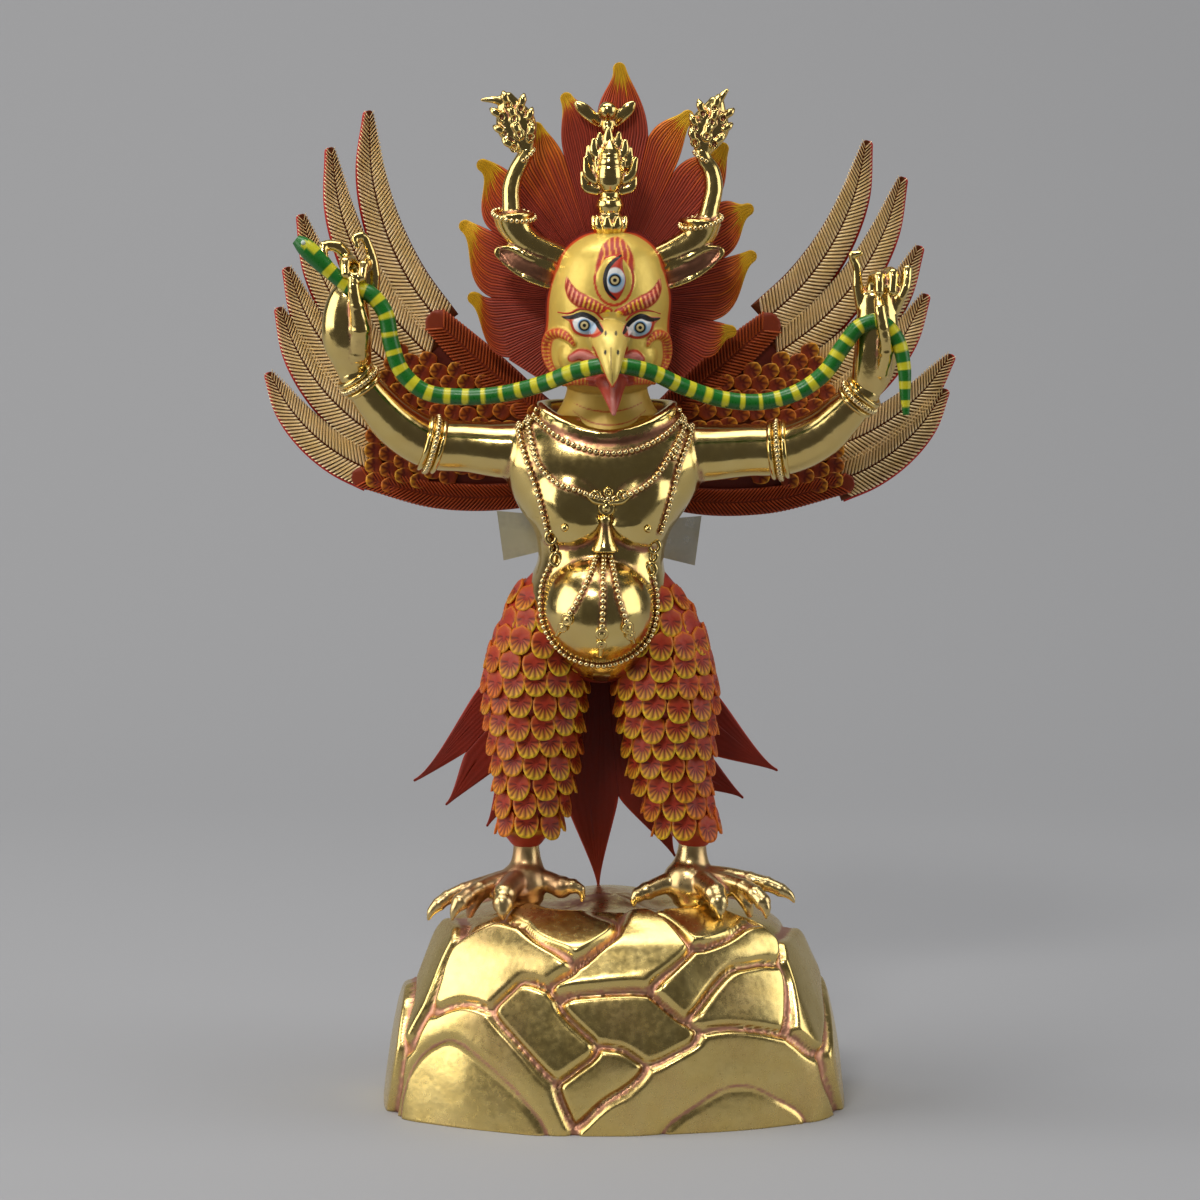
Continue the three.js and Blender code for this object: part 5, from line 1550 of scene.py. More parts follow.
def paint_brow(coat, x, height, path, sign):
    """A brow of bright strokes on red, yellow towards its inner end."""
    away, along = stroke(x, height, path, BROW_HALVES)
    coat.lay(soft(away, 0.12), tone(186, 50, 34))
    wave = np.cos(2 * math.pi * (x * sign * 0.56 + height * 0.16))
    bright = np.where((along > 0.5)[:, None], tone(240, 190, 60), tone(238, 156, 108))
    on_brow = soft(away / 0.84, 0.3)
    coat.lay(on_brow * held(wave * 2.2 - 0.3) * (along < 0.88), bright)
    coat.lay(on_brow * held(-wave * 3 - 1.6) * 0.6, tone(110, 24, 20))


def paint_curls(coat, x, height, front):
    """The small curls between the brows."""
    for centre in ([-2.8, 224.9], [1.3, 224.4]):
        away = oval(x, height, centre, [2.1, 1.9])
        coat.lay(soft(away) * front, tone(190, 52, 30))
        coat.lay(soft(np.abs(away - 0.72) / 0.14, 0.5) * front * (height < centre[1]), tone(236, 150, 40))
        coat.lay(soft(away / 0.48) * front, tone(236, 200, 30))


def paint_forehead(coat, x, height):
    """The field of the third eye and the tuft over it."""
    field = oval(x, height, [-0.5, 236.6], [7.1, 9.3])
    coat.lay(soft(field, 0.1), GOLD_PAINT)
    coat.lay(soft(np.abs(field - 1) / 0.07), tone(196, 56, 30))
    on_tuft = within(TUFT, x, height)
    coat.lay(on_tuft, tone(190, 60, 36))
    licks = np.cos(x * 2.5 + 0.9 * np.sin((height - 240) * 0.8) + 0.05 * x * (height - 240))
    coat.lay(on_tuft * held(licks * 3 - 1.4), tone(238, 172, 66))
    coat.lay(on_tuft * held(-licks * 3 - 2) * 0.5, tone(130, 28, 20))


# %% Paint the face
x, y, height = places(head).T
facing = normals(head)
front = facing[:, 1] < 0.25
coat = Coat(GOLD_PAINT, len(x))
paint_ground(coat, x, y, height, -facing[:, 2])
CURL_TONES = [(196, 66, 34), (236, 172, 60)]
for path, half in ((LEFT_CURL, [0.7, 2, 2.4, 2.4, 2, 1.2]), (RIGHT_CURL, [0.7, 2, 2.3, 2.3, 2, 1.2])):
    striped(coat, front, x, height, path, half, 19, CURL_TONES, 1.2)
for path in BEARD:
    striped(coat, front & (y > -27), x, height, path, [1.4, 2.6, 2.2], 9, [(206, 74, 34), (230, 170, 60)])
bridge = oval(x, height, [-0.7, 220.6], [3.8, 2.5])
coat.lay(soft(bridge, 0.3) * front * (y > -31), tone(196, 66, 46))
for centre in ([-2.4, 220.8], [-0.7, 221.2], [1.1, 220.8]):
    coat.lay(soft(oval(x, height, centre, [0.55, 1.2]), 0.4) * front * 0.8, tone(232, 150, 120))
paint_brow(coat, x, height, LEFT_BROW, -1)
paint_brow(coat, x, height, RIGHT_BROW, 1)
paint_curls(coat, x, height, front)
paint_forehead(coat, x, height)
for path in LIPS:
    on_lip, _ = stroke(x, height, path, [1.8, 2.9, 2.9])
    coat.lay(soft(on_lip, 0.2) * (front & (y < -18)), RED)
    coat.lay(soft(on_lip / 0.66, 0.25) * (front & (y < -18)), PINK)
by_upper, by_lower = beside(places(head), UPPER_BEAK), beside(places(head), LOWER_BEAK)
upper = (y < -23) & (by_upper < 1.3) & (by_upper < by_lower)
lower = (y < -20) & (by_lower < 1.35) & ~upper
coat.lay(upper, tone(230, 202, 106))
coat.lay(lower, tone(186, 72, 52))
tongue_line = np.abs(x + 1.1 + (height - 200) * 0.03) / 1.1
coat.lay(soft(tongue_line, 0.7) * lower * 0.7, tone(222, 150, 138))
coat.lay(held((y + 7.5) / 1.5) * (height > 196), MAROON)
ridge = np.abs(x - np.interp(height, [198, 210, 220], [-1.1, -1.7, -2.2]))
on_beak = (y < -24) & (height > 197) & (by_upper < 1.3)
coat.lay(soft(ridge / 0.3, 0.5) * on_beak * (height < 213) * (height > 200) * 0.7, tone(90, 54, 20))
for *centre, wide, tall in NOSTRILS:
    coat.lay(soft(oval(x, height, centre, [wide, tall]), 0.3) * (y < -22), BLACK)
beak_rim = np.minimum(*(stroke(x, height, path, 0.7)[0] for path in BEAK_RIMS))
coat.lay(soft(beak_rim, 0.4) * on_beak, tone(200, 66, 30))
gold_share = held(1 - np.linalg.norm(coat.colours - GOLD_PAINT, axis=1) / 0.25) * 0.35
painted(head, coat.colours, "face_paint", "head", gold_share)
print("head painted")

# %% [markdown]
# An eye needs crisper lines than the head's mesh can hold. Each one is a thin swollen patch of its own,
# built from its centre outwards, whose rim is the black lash line and sinks into the face.

# %% Eyes


def eye_patch(name, outline, iris, lift, colour_of):
    """A swollen patch inside a closed outline of [x, height]."""
    rim = flow(outline, 96, closed=True)
    centre = rim.mean(axis=0)
    rings = []
    for share in np.linspace(0.02, 1, 34):
        ring = centre + (rim - centre) * share
        rise = 0.12 + lift * (1 - share**2)
        rings.append([lifted(on_head, x, height, rise) for x, height in ring])
    rings.append([lifted(on_head, x, height, -0.5) for x, height in rim])
    rings.append([lifted(on_head, x, height, -0.6) for x, height in centre + (rim - centre) * 0.5])
    piece = new_piece(name, *skin(np.array(rings)), FACE_PAINT)
    x, _, height = places(piece).T
    painted(piece, colour_of(x, height, iris), "face_paint", "head")


def eyeball(x, height, iris, size):
    """White of the eye, blue shading, iris rings and pupil."""
    away = oval(x, height, iris, [size, size])
    coat = Coat(WHITE, len(x))
    coat.lay(held((x - iris[0]) * 0.35 + (iris[1] - height) * 0.45) * 0.6, PALE_BLUE)
    for edge, colour in ((0.82, PALE_BLUE), (0.7, BLACK), (0.47, CREAM), (0.22, BLACK)):
        coat.lay(soft(away / edge, 0.12), colour)
    return coat


def side_eye(upper, lower):
    """The paint of a side eye with its lash lines."""

    def colour_of(x, height, iris):
        coat = eyeball(x, height, iris, 3.2)
        white = oval(x, height, iris, [4.5, 3.6])
        coat.lay(held((white - 0.95) / 0.12), tone(214, 120, 92))
        coat.lay(line_share(x, height, lower, [0.5, 0.55, 0.5], 0.3), RED)
        return coat.lay(line_share(x, height, upper, [0.45, 1.1, 1.1, 0.7], 0.2), BLACK)

    return colour_of


LEFT_LASH = [[-19.6, 222.3], [-16.6, 222.5], [-12.2, 223.8], [-8.2, 222.2], [-5, 218.4]]
LEFT_LOW = [[-16.6, 221.4], [-15, 217.6], [-11.4, 216], [-7.4, 216.7], [-5.2, 218.2]]
RIGHT_LASH = [[16.4, 221.6], [13.4, 221.6], [9.4, 223], [6, 221.4], [3.2, 217.6]]
RIGHT_LOW = [[14.2, 220.6], [12.6, 216.8], [9.4, 215.2], [5.8, 215.6], [3.6, 217.4]]
LEFT_EYE = [
    [-20, 222.6], [-16.4, 223.4], [-12.2, 224.7], [-7.8, 223], [-4.4, 218.2], [-7.2, 216], [-11.4, 215.4],
    [-15.4, 217.2], [-17.2, 220.8],
]
eye_patch("left_eye", LEFT_EYE, (-11.5, 219.8), 0.7, side_eye(LEFT_LASH, LEFT_LOW))
RIGHT_EYE = [
    [16.8, 222], [13.6, 222.6], [9.4, 223.9], [5.8, 222.2], [2.6, 217.4], [5.8, 215], [9.4, 214.6],
    [13, 216.4], [15, 220.2],
]
eye_patch("right_eye", RIGHT_EYE, (9.2, 218.9), 0.7, side_eye(RIGHT_LASH, RIGHT_LOW))


def brow_eye_colours(x, height, iris):
    """The third eye stands upright, with red corners and a black line down its left side."""
    coat = eyeball(x, height, iris, 3.4)
    white = oval(x, height, iris, [3.7, 4.6])
    coat.lay(held((white - 0.95) / 0.12), RED)
    line = [[2, 245.4], [-0.6, 243.6], [-3, 240.6], [-3.9, 236.6], [-2.8, 232.4], [0.1, 229.6]]
    return coat.lay(line_share(x, height, line, [0.4, 0.9, 0.9, 0.8, 0.4], 0.25), BLACK)


THIRD_EYE = [
    [2.2, 245.8], [-0.8, 244.4], [-3.6, 241], [-4.6, 236.6], [-3.4, 232], [0.1, 228.9], [2.6, 232],
    [3.8, 236.6], [2.8, 240.8],
]
eye_patch("third_eye", THIRD_EYE, (-0.2, 236.6), 0.8, brow_eye_colours)

for name, path in (("left_lid_line", [[-21.4, 224], [-17, 224], [-12.6, 225.9], [-7.7, 224.8], [-4.8, 222]]),
                   ("right_lid_line", [[16.8, 223.4], [11.8, 225], [8.6, 225], [5.6, 223.4], [4, 221.6]])):
    line = new_piece(name, *path_limb(on_head, path, [0.25, 0.5, 0.3], 0.0, 40, 10), FACE_PAINT)
    painted(line, RED, "face_paint", "head")
print("eyes set")

# %% [markdown]
# Ears, horns and the crest are gilt. The ears are leaf shaped shells with a rolled rim. Each horn rises
# from the temple, turns in at the top, carries two bead rings and ends in a flame jewel.

# %% Ears and horns


def leaf_ear(sign):
    """An ear: a hollow leaf with a rolled rim."""
    middle = -2.2
    stations = [[middle + sign * 18.5, -4.5, 235, 3.4, 2.6], [middle + sign * 26, -6.5, 238.4, 4.8, 2.8],
                [middle + sign * 34, -6, 242.4, 4.6, 2.6], [middle + sign * 41.5, -4, 246.6, 2.2, 1.4]]
    path = flow([[middle + sign * 19.5, 232.8], [middle + sign * 30, 235.6], [middle + sign * 38.6, 241.4],
                 [middle + sign * 42.4, 246.4], [middle + sign * 38.6, 247.4], [middle + sign * 29, 243.6],
                 [middle + sign * 19.5, 239]], 48, closed=True)
    depth = np.interp(np.abs(path[:, 0] - middle), [18, 30, 43], [-6.5, -9, -6])
    return [limb(stations, 24, 30), hoop(np.column_stack([path[:, 0], depth, path[:, 1]]), 0.95, 10)]


HORNS = {
    "left": {
        "cup": [
            [-16, -2, 241.5, 4.7], [-24, -3.4, 245, 4.9], [-31.6, -4.2, 248.6, 5.2],
            [-35.8, -3.8, 252.6, 5.9], [-37.6, -3, 256.6, 7.3], [-37.9, -2.8, 259.4, 7.9],
        ],
        "stem": [
            [-38.2, -2.4, 255, 4.4], [-38.8, -1.6, 263, 3.6], [-38.8, -0.6, 270, 3.4],
            [-36.8, 0.2, 276, 3.2], [-34.4, 0.5, 280.4, 3.0], [-32.8, 0.6, 283.2, 2.8],
        ],
        "rings": [
            [[-37.9, -2.7, 259.4], [0.12, -0.22, 0.95], 8], [[-33.4, 0.6, 281.4], [-0.6, -0.2, 0.7], 3.7],
        ],
        "jewel": [[-32.6, 281.6], [-41.2, 303.4], [-50, 302.2], 8.2],
    },
    "right": {
        "cup": [
            [12, -2, 241.5, 4.6], [17.6, -3.2, 244, 4.8], [24, -4.2, 247, 5.3], [29.4, -4, 250.4, 6],
            [31.6, -3, 254.4, 7.3], [32, -2.8, 257, 8],
        ],
        "stem": [
            [33.4, -2.4, 254, 4.4], [35.5, -1.6, 262.6, 3.6], [36.9, -0.6, 270, 3.5],
            [35.8, 0.2, 276, 3.2], [33.4, 0.5, 280, 3.0], [32.3, 0.6, 283, 2.8],
        ],
        "rings": [[[32, -2.7, 257], [-0.2, -0.22, 0.94], 8.1], [[32.8, 0.6, 281], [0.5, -0.2, 0.8], 3.6]],
        "jewel": [[32.2, 281.4], [38, 301.8], [42, 306], 8.2],
    },
}
EYES_OF_FLAME = [
    [-0.5, 0.2], [0.45, 0.26], [-0.02, 0.36], [-0.62, 0.46], [0.6, 0.5], [0.04, 0.62], [-0.5, 0.72],
    [0.52, 0.74], [0, 0.86],
]


def flame_jewel(foot, top, spike, half, y=0.6):
    """A lump of hooked tongues, each rolled round a pierced eye, with one long spike."""
    foot, top, spike = (np.array(p, float) for p in (foot, top, spike))
    length = np.linalg.norm(top - foot)
    up = (top - foot) / length
    side = np.array([up[1], -up[0]])
    heart = foot + up * length * 0.52
    shells = [limb([[foot[0], y, foot[1], 2.4, 2.2], [heart[0], y, heart[1], half * 0.92, 3.8],
                    [top[0], y, top[1], 3, 2.2]], 22, 30)]
    start = top - up * 3
    bend = (start + spike) / 2 + [0, 0.8]
    shells.append(limb([[start[0], y, start[1], 1.8, 1.6], [bend[0], y - 1, bend[1], 1.5, 1.3],
                        [spike[0], y - 1, spike[1], 0.6, 0.6]], 12, 18))
    for aside, share in EYES_OF_FLAME:
        middle = foot + up * length * share + side * half * aside * 0.92
        lean = unit(side * aside * 1.2 + up * 0.9)
        root, tip = middle + lean * 1.6, middle + lean * 5.4
        bend = (root + tip) / 2
        for front in (-1, 1):
            depth = y + front * (3.9 - 1.5 * abs(aside))
            shells.append(hoop(upright_oval([middle[0], depth, middle[1]], 1.3, 1.6, 18), 0.5, 8))
            shells.append(limb([[root[0], depth, root[1], 1.3, 1.1], [bend[0], depth, bend[1], 1.5, 1.2],
                                [tip[0], depth - front * 0.8, tip[1], 0.6, 0.5]], 10, 12))
    return shells


horn_beads = []
for side, sign in (("left", -1), ("right", 1)):
    horn = HORNS[side]
    shells = [limb(horn["cup"], 32, 50, blunt=0.15), limb(horn["stem"], 28, 50)] + leaf_ear(sign)
    for middle, axis, radius in horn["rings"]:
        circle = circle_round(unit(axis), [0, 1, 0])
        shells.append(hoop(middle + circle * (radius - 1), 0.7, 10))
        horn_beads.append((middle + circle * radius, circle, 1.0, True))
    smooth_horn = cast(side + "_horn_and_ear", shells, 0.62, 2, GILT)
    x, y, height = places(smooth_horn).T
    out = np.abs(x + 2.2)
    in_ear = (np.abs(x + 2.2 - sign * 31) < 10) & (np.abs(height - 234.4 - 0.5 * (out - 19)) < 2.8)
    in_ear &= (y < -5.5) & (normals(smooth_horn)[:, 1] < -0.5)
    gilded(smooth_horn, 8, 0.25, "horn_" + side, extra=in_ear)
    flame = cast(side + "_horn_jewel", flame_jewel(*horn["jewel"]), 0.42, 1, GILT)
    gilded(flame, 5, 0.2, "horn_" + side)
small_bead = item_piece("small_bead", *ball([0, 0, 0], 0.98, 10))
horn_row = row_of("horn_beads", horn_beads, small_bead, 2.05, BEAD_GILT)
gilded(horn_row, 1, 0.2, "horn_left", "horn_right")
drop_item(small_bead)

# %% [markdown]
# On the crown stands a lotus foot with petals, a bulb, and an egg shaped jewel with two turned bands in
# a halo of flame tongues. A ball with two leaves sits above it on the hair.

# %% Crest and hair ornament
CREST = (-2.0, -7.0)
CREST_FOOT = [
    [0.3, 251], [4.4, 252], [5.2, 254.4], [5.4, 257.6], [4.8, 259.4], [4.2, 260.4], [4.8, 261.6],
    [5.4, 263.4], [4.8, 265.2], [3.6, 266.4], [3.6, 268], [0.4, 269],
]
CREST_BUD = [
    [0.3, 268], [3.2, 268.8], [4.5, 271], [4.9, 274], [4.6, 277.4], [4.1, 278.1], [4.5, 279], [4, 280.6],
    [3.5, 281.3], [3.8, 282.2], [2.8, 284.2], [1.6, 285.8], [0.3, 287.4],
]
CREST_LEAF = [
    [-2.3, -5.4, 269, 5.4, 1], [-2.3, -5.2, 275, 6.8, 1.2], [-2.3, -5.2, 282, 5.4, 1.2],
    [-2.3, -5.2, 287, 2, 0.9],
]
crest_shells = [turned(CREST_FOOT, [*CREST, 0], 40)]
for k in range(9):
    turn = 2 * math.pi * (k + 0.5) / 9
    out = np.array([math.cos(turn), math.sin(turn)])
    low, high = np.array(CREST) + out * 4.4, np.array(CREST) + out * 5.9
    petal = [[*low, 252.8, 1.7, 1.2], [*high, 256, 2, 1.3], [*(high + out * 0.3), 259, 1, 0.8]]
    crest_shells.append(limb(petal, 12, 12, facing=(*out, 0)))
crest_shells.append(turned(CREST_BUD, [CREST[0], CREST[1] - 1.6, 0], 36))
crest_shells.append(limb(CREST_LEAF, 24, 24))
HALO = [
    [[-6.6, 268.6], [-10.4, 269.6], [-12.4, 275.6]], [[-6.8, 272.6], [-9.6, 274.4], [-11.2, 281]],
    [[-6.6, 277.6], [-9, 279], [-10, 285.2]], [[-5.6, 281.6], [-7.4, 283], [-8, 287.8]],
    [[-4.4, 284.8], [-5.4, 286.4], [-5.8, 290]], [[-2.5, 286.6], [-2.6, 288.6], [-2.5, 292]],
    [[0, 284.8], [0.8, 286.4], [1.4, 290.2]], [[1.2, 281.6], [3, 283], [3.8, 287.4]],
    [[2.2, 277.6], [4.4, 279], [5.6, 284.6]], [[2.6, 272.6], [5.4, 274.2], [7.8, 280.8]],
    [[2.4, 268.6], [5.8, 269.8], [7.4, 275]],
]
for k, (start, bend, end) in enumerate(HALO):
    depth = CREST[1] + (0.8 if k % 2 == 0 else -0.2)
    flame = [[start[0], depth, start[1], 2, 1.4], [bend[0], depth, bend[1], 1.9, 1.4],
             [end[0], depth, end[1], 0.9, 0.7]]
    crest_shells.append(limb(flame, 14, 16))
    middle = np.array([-2.3, 277]) + 0.55 * (np.array(bend) - [-2.3, 277])
    tip = middle + 0.6 * (np.array(end) - bend) + [0, 1.2]
    lick = [[middle[0], depth - 1.2, middle[1], 1.2, 1], [tip[0], depth - 1.5, tip[1], 0.6, 0.5]]
    crest_shells.append(limb(lick, 12, 12))
crest = cast("crest_jewel_fine", crest_shells, 0.4, 1, GILT)
gilded(crest, 5, 0.2, "crest_jewel")
ornament_shells = [ball([-2.7, 6, 298], 3.6, 32), limb([[-2.7, 6, 291, 2.6], [-2.7, 8, 294.5, 2.8]], 16, 12)]
for out in (-12, 9.6):
    leaf = [[-2.7 + math.copysign(1.6, out), 8, 292, 1.4, 1.2], [-2.7 + out * 0.5, 6.8, 295.6, 2.4, 1.5],
            [-2.7 + out * 0.85, 6.4, 299.4, 2.3, 1.3], [-2.7 + out, 6.6, 301, 1.2, 0.9]]
    ornament_shells.append(limb(leaf, 18, 24))
ornament = cast("hair_ornament", ornament_shells, 0.5, 1, GILT)
gilded(ornament, 3, 0.2, "mane_ornament")

# %% [markdown]
# The flame hair is one cast sheet that stands up behind the head and breaks up into slender tongues.
# Fine strands are engraved from the face out into every tip. The paint is a dusty maroon near the face,
# turns orange where the tongues part and is yellow only on the tips; the grooves are painted dark as shade.

# %% Sheet with strands


def bent_edge(first, out_of_first, into_last, last, shares):
    """A curved edge between two places, led by its two handles."""
    t = np.asarray(shares, float)[:, None]
    return first * (1 - t)**3 + 3 * out_of_first * t * (1
                                                        - t)**2 + 3 * into_last * t**2 * (1
                                                                                          - t) + last * t**3


def tongue_edges(tongue, centre, blunt, rows_low, rows_high, grip, belly=0.0):
    """Both edges of a tongue from its root behind the head to its tip, and the level of each row."""
    tip, valleys, lean = (np.array(part, float) for part in tongue[:3])
    lean = unit(lean)
    grow = unit(unit((valleys[0] + valleys[1]) / 2 - centre) + 0.5 * lean)
    aside = np.array([lean[1], -lean[0]])
    low = np.linspace(0.3, 1, rows_low, endpoint=False)
    high = np.linspace(0, 1, rows_high)
    cap = np.radians([25, 50, 70, 84])
    edges = []
    for k, valley in enumerate(valleys):
        sign = 1 if (valley - valleys[1 - k]) @ aside > 0 else -1
        reach = np.linalg.norm(tip - valley)
        end = tip - lean * blunt + aside * sign * blunt
        fuller = aside * sign * belly
        edge = bent_edge(valley, valley + grow * reach * grip[0], end - lean * reach * grip[1] + fuller,
                         end, high)
        round_end = [tip - lean * blunt + lean * blunt * math.sin(a) + aside * sign * blunt * math.cos(a)
                     for a in cap]
        edges.append(np.vstack([centre + (valley - centre) * low[:, None], edge, round_end]))
    level = np.concatenate([low - 1, high, 1 + 0.01 * np.arange(1, len(cap) + 1)])
    return edges[0], edges[1], level


def strand_sheet(first, second, level, y_front, thick, pitch, groove, bend=0.0, seed=0):
    """A closed sheet between two edges [x, height] with engraved strands, and its own coordinates."""
    neck = np.linalg.norm(first - second, axis=1)[np.abs(level).argmin()]
    strands = max(5, int(neck / pitch))
    across = np.linspace(0, 1, 4 * strands + 1)
    ridge = np.tile([0, 0.75, 1.0, 0.75], strands)
    ridge = np.append(ridge, 0)
    strand = np.append(np.repeat(np.arange(strands), 4), strands - 1)
    wander = 0.25 / strands * np.sin(strand * 1.7 + seed)
    rings, coords = [], []
    for a, b, s in zip(first, second, level):
        wide = np.linalg.norm(b - a)
        beyond = held(s / 0.3)
        fraction = across + wander * np.sin(across * math.pi) * math.sin(5 * s)
        rounding = np.sqrt(held(1 - (2 * across - 1)**2))
        edge = 1 - beyond * (1 - np.minimum(1, 1.5 * rounding))
        deep = thick * (1 - 0.45 * held(s))
        cut = groove * min(1, wide / strands / 0.55) * ridge * np.minimum(1, 0.25 + edge)
        y = y_front + (thick - deep) / 2 - cut + bend * max(s, 0)**2 + deep * 0.4 * (1 - edge)
        spot = a + (b - a) * fraction[:, None]
        rear = a + (b - a) * np.linspace(0.97, 0.03, 7)[:, None]
        rear_y = np.full(7, y_front + (thick + deep) / 2 + bend * max(s, 0)**2)
        rings.append(np.vstack([np.column_stack([spot[:, 0], y, spot[:, 1]]),
                                np.column_stack([rear[:, 0], rear_y, rear[:, 1]])]))
        coords.append(np.column_stack([np.full(len(across) + 7, s), np.append(across, np.full(7, 0.5)),
                                       np.append(1 - ridge, np.full(7, 0.4)),
                                       np.append(strand, np.full(7, 0))]))
    ends = [[level[0], 0.5, 0.5, 0], [level[-1], 0.5, 0, 0]]
    return skin(np.array(rings)), np.vstack(coords + [np.array(ends)])


def painted_sheets(name, sheets, paint_of, material, slot, node):
    """Join sheets into one piece that carries its paint."""
    piece = new_piece(name, *joined([shell for shell, _ in sheets]), material)
    colours = np.vstack([paint_of(k, coords, shell[0]) for k, (shell, coords) in enumerate(sheets)])
    painted(piece, colours, slot, node)
    print(name, "has", len(piece.data.polygons), "faces")


# %% [markdown]
# A tongue is written as its tip, the two valleys beside it, the way its tip leans, and how far out the
# warm tones and the yellow begin.

# %% Flame hair
HAIR_CENTRE = np.array([-2.5, 226.0])
TONGUES = [
    [[1.1, 316], [[-6.9, 294.4], [12.5, 288.2]], [-0.2, 1], 0.62, 0.66],
    [[-19.4, 304.6], [[-19.3, 281.2], [-6.9, 294.4]], [-0.5, 1], 0.75, 0.86],
    [[-30.6, 293.6], [[-37, 273], [-19.3, 281.2]], [-0.45, 1], 0.0, 0.75],
    [[-52, 278.7], [[-46.6, 252.8], [-37, 273]], [-1, 0.55], 0.3, 0.52],
    [[-58.7, 255.9], [[-46.8, 227.6], [-46.6, 252.8]], [-1, 0.7], 0.25, 0.55],
    [[-55.6, 228.7], [[-40, 204.8], [-46.8, 227.6]], [-1, 0.6], 0.4, 0.68],
    [[-33, 200.4], [[-25, 195.6], [-40, 204.8]], [-1, -1], 1.2, 2],
    [[29, 297.6], [[12.5, 288.2], [21.9, 274.8]], [0.8, 0.85], 0.1, 0.72],
    [[41.4, 286], [[21.9, 274.8], [38.2, 263]], [0.4, 1], 0.3, 0.7],
    [[52.2, 262], [[38.2, 263], [41.2, 242.6]], [1, 0.5], 0.25, 0.58],
    [[53.4, 244.3], [[41.2, 242.6], [37.2, 218.9]], [1, 0.6], 0.2, 0.66],
    [[46.1, 214.9], [[37.2, 218.9], [32.9, 204.8]], [1, 0.05], 0.3, 0.6],
    [[28.6, 200.4], [[32.9, 204.8], [22, 195.4]], [1, -1], 1.2, 2],
]


def hair_sheet(tongue, order):
    """A tongue of hair; its neighbours bend forward and back by turns."""
    first, second, level = tongue_edges(tongue, HAIR_CENTRE, 2.5, 12, 26, (0.42, 0.22), 0.5)
    bend = (-1.3, 0.9, -0.4)[order % 3] if tongue[4] < 2 else 0
    return strand_sheet(first, second, level, 10.0, 3.6, 1.1, 0.62, bend, order)


def hair_paint(k, coords, points):
    """The painter's blend along each tongue, ragged from strand to strand."""
    level, across, groove, strand = coords.T
    warm, yellow = TONGUES[k][3:]
    ragged = level + 0.09 * np.sin(strand * 2.4 + k) + 0.06 * np.sin(strand * 5.3 + 2 * k)
    coat = Coat(tone(176, 70, 56), len(points))
    coat.lay((level + 1.0) / 0.9 * 0.5, tone(190, 72, 42))
    coat.lay((ragged + 0.42 - warm) / 0.5, tone(216, 92, 34))
    coat.lay((ragged + 0.12 - warm) / 0.4, tone(236, 128, 34))
    in_middle = 0.25 * np.abs(2 * across - 1)
    coat.lay((ragged - in_middle * (k == 0) - yellow + 0.14) / 0.16, tone(250, 196, 36))
    shade = 1 + 0.12 * np.sin(strand * 3.7 + k * 1.3)
    coat.colours = held(coat.colours * shade[:, None])
    # painted shade: the engraved grooves are laid over with a dark maroon
    return coat.lay(groove**2 * 0.75, tone(96, 26, 20))


hair_sheets = [hair_sheet(tongue, k) for k, tongue in enumerate(TONGUES)]
painted_sheets("flame_hair", hair_sheets, hair_paint, HAIR_PAINT, "flame_paint", "flame_mane")
boss = cast("hair_boss", [ball([HAIR_CENTRE[0], 12.4, HAIR_CENTRE[1]], [18, 2.7, 22], 48)], 1.4, 2,
            HAIR_PAINT)
painted(boss, tone(150, 50, 40), "flame_paint", "flame_mane")

# %% [markdown]
# The thighs come out of the gilt belly as plain red hips, and below them the legs are clothed in rows of
# small round feathers like scales. Each scale has a thick lower rim and a fan of engraved lines. The
# ground is red, the rims run from orange to bright yellow where the light falls, and a flared hem ends
# above the gilt ankle. One scale is modelled, and the row tree sets it around the leg, row by row.

# %% Leg cores
LEGS = {
    "left": [
        [128, -20, -2, 7], [122, -22, -2, 11.5], [114, -24.8, -2, 14.6], [106, -27, -2, 16.6],
        [96, -29.4, -1.5, 17.6], [84, -30.6, -1, 17.8], [67, -30.6, -1, 15.8], [49, -30.8, -1, 13.4],
        [32, -32.6, -1, 10.4],
    ],
    "right": [
        [128, 9, -2, 7], [122, 10.6, -2, 10.5], [114, 13.6, -2, 13.8], [106, 16, -2, 16],
        [96, 18.2, -1.5, 17], [84, 19.4, -1, 17.8], [67, 20.4, -1, 15.8], [50, 21.8, -1, 13.2],
        [41, 24, -1, 11.6], [31, 27.8, -1, 10.4],
    ],
}
SCALE_PITCH = 7.9
SCALE_WIDTH = 8.6


def leg_at(table, height):
    """Centre and radius of a leg at a height."""
    rows = flow(table, 200)[::-1]
    return [np.interp(height, rows[:, 0], rows[:, k]) for k in (1, 2, 3)]


def leg_core(table, hem):
    """Hip, thigh and shin with the flared hem and the cone to the ankle."""
    x, y, radius = leg_at(table, 31)
    ankle_x = {"left": -33.9, "right": 30.2}[hem]
    low = [[31, x, y, radius], [28, (x + ankle_x) / 2, y, radius + 0.2], [25.5, ankle_x, y, radius + 0.1],
           [23.5, ankle_x, y, radius - 1.6], [21.5, ankle_x, y, 7.2], [19.6, ankle_x, y, 5.8],
           [18.8, ankle_x, y, 5.0]]
    rows = flow(table[:-1] + low, 90)
    turn = full_turn(64)
    rings = []
    for height, cx, cy, r in rows:
        wave = 0.5 * np.sin(turn * 5 + height) * held((30 - height) / 4) * held((height - 22) / 3)
        rings.append(np.stack([cx + np.cos(turn) * (r + wave), cy + np.sin(turn) * (r + wave),
                               np.full(64, height)], axis=1))
    return skin(np.array(rings))


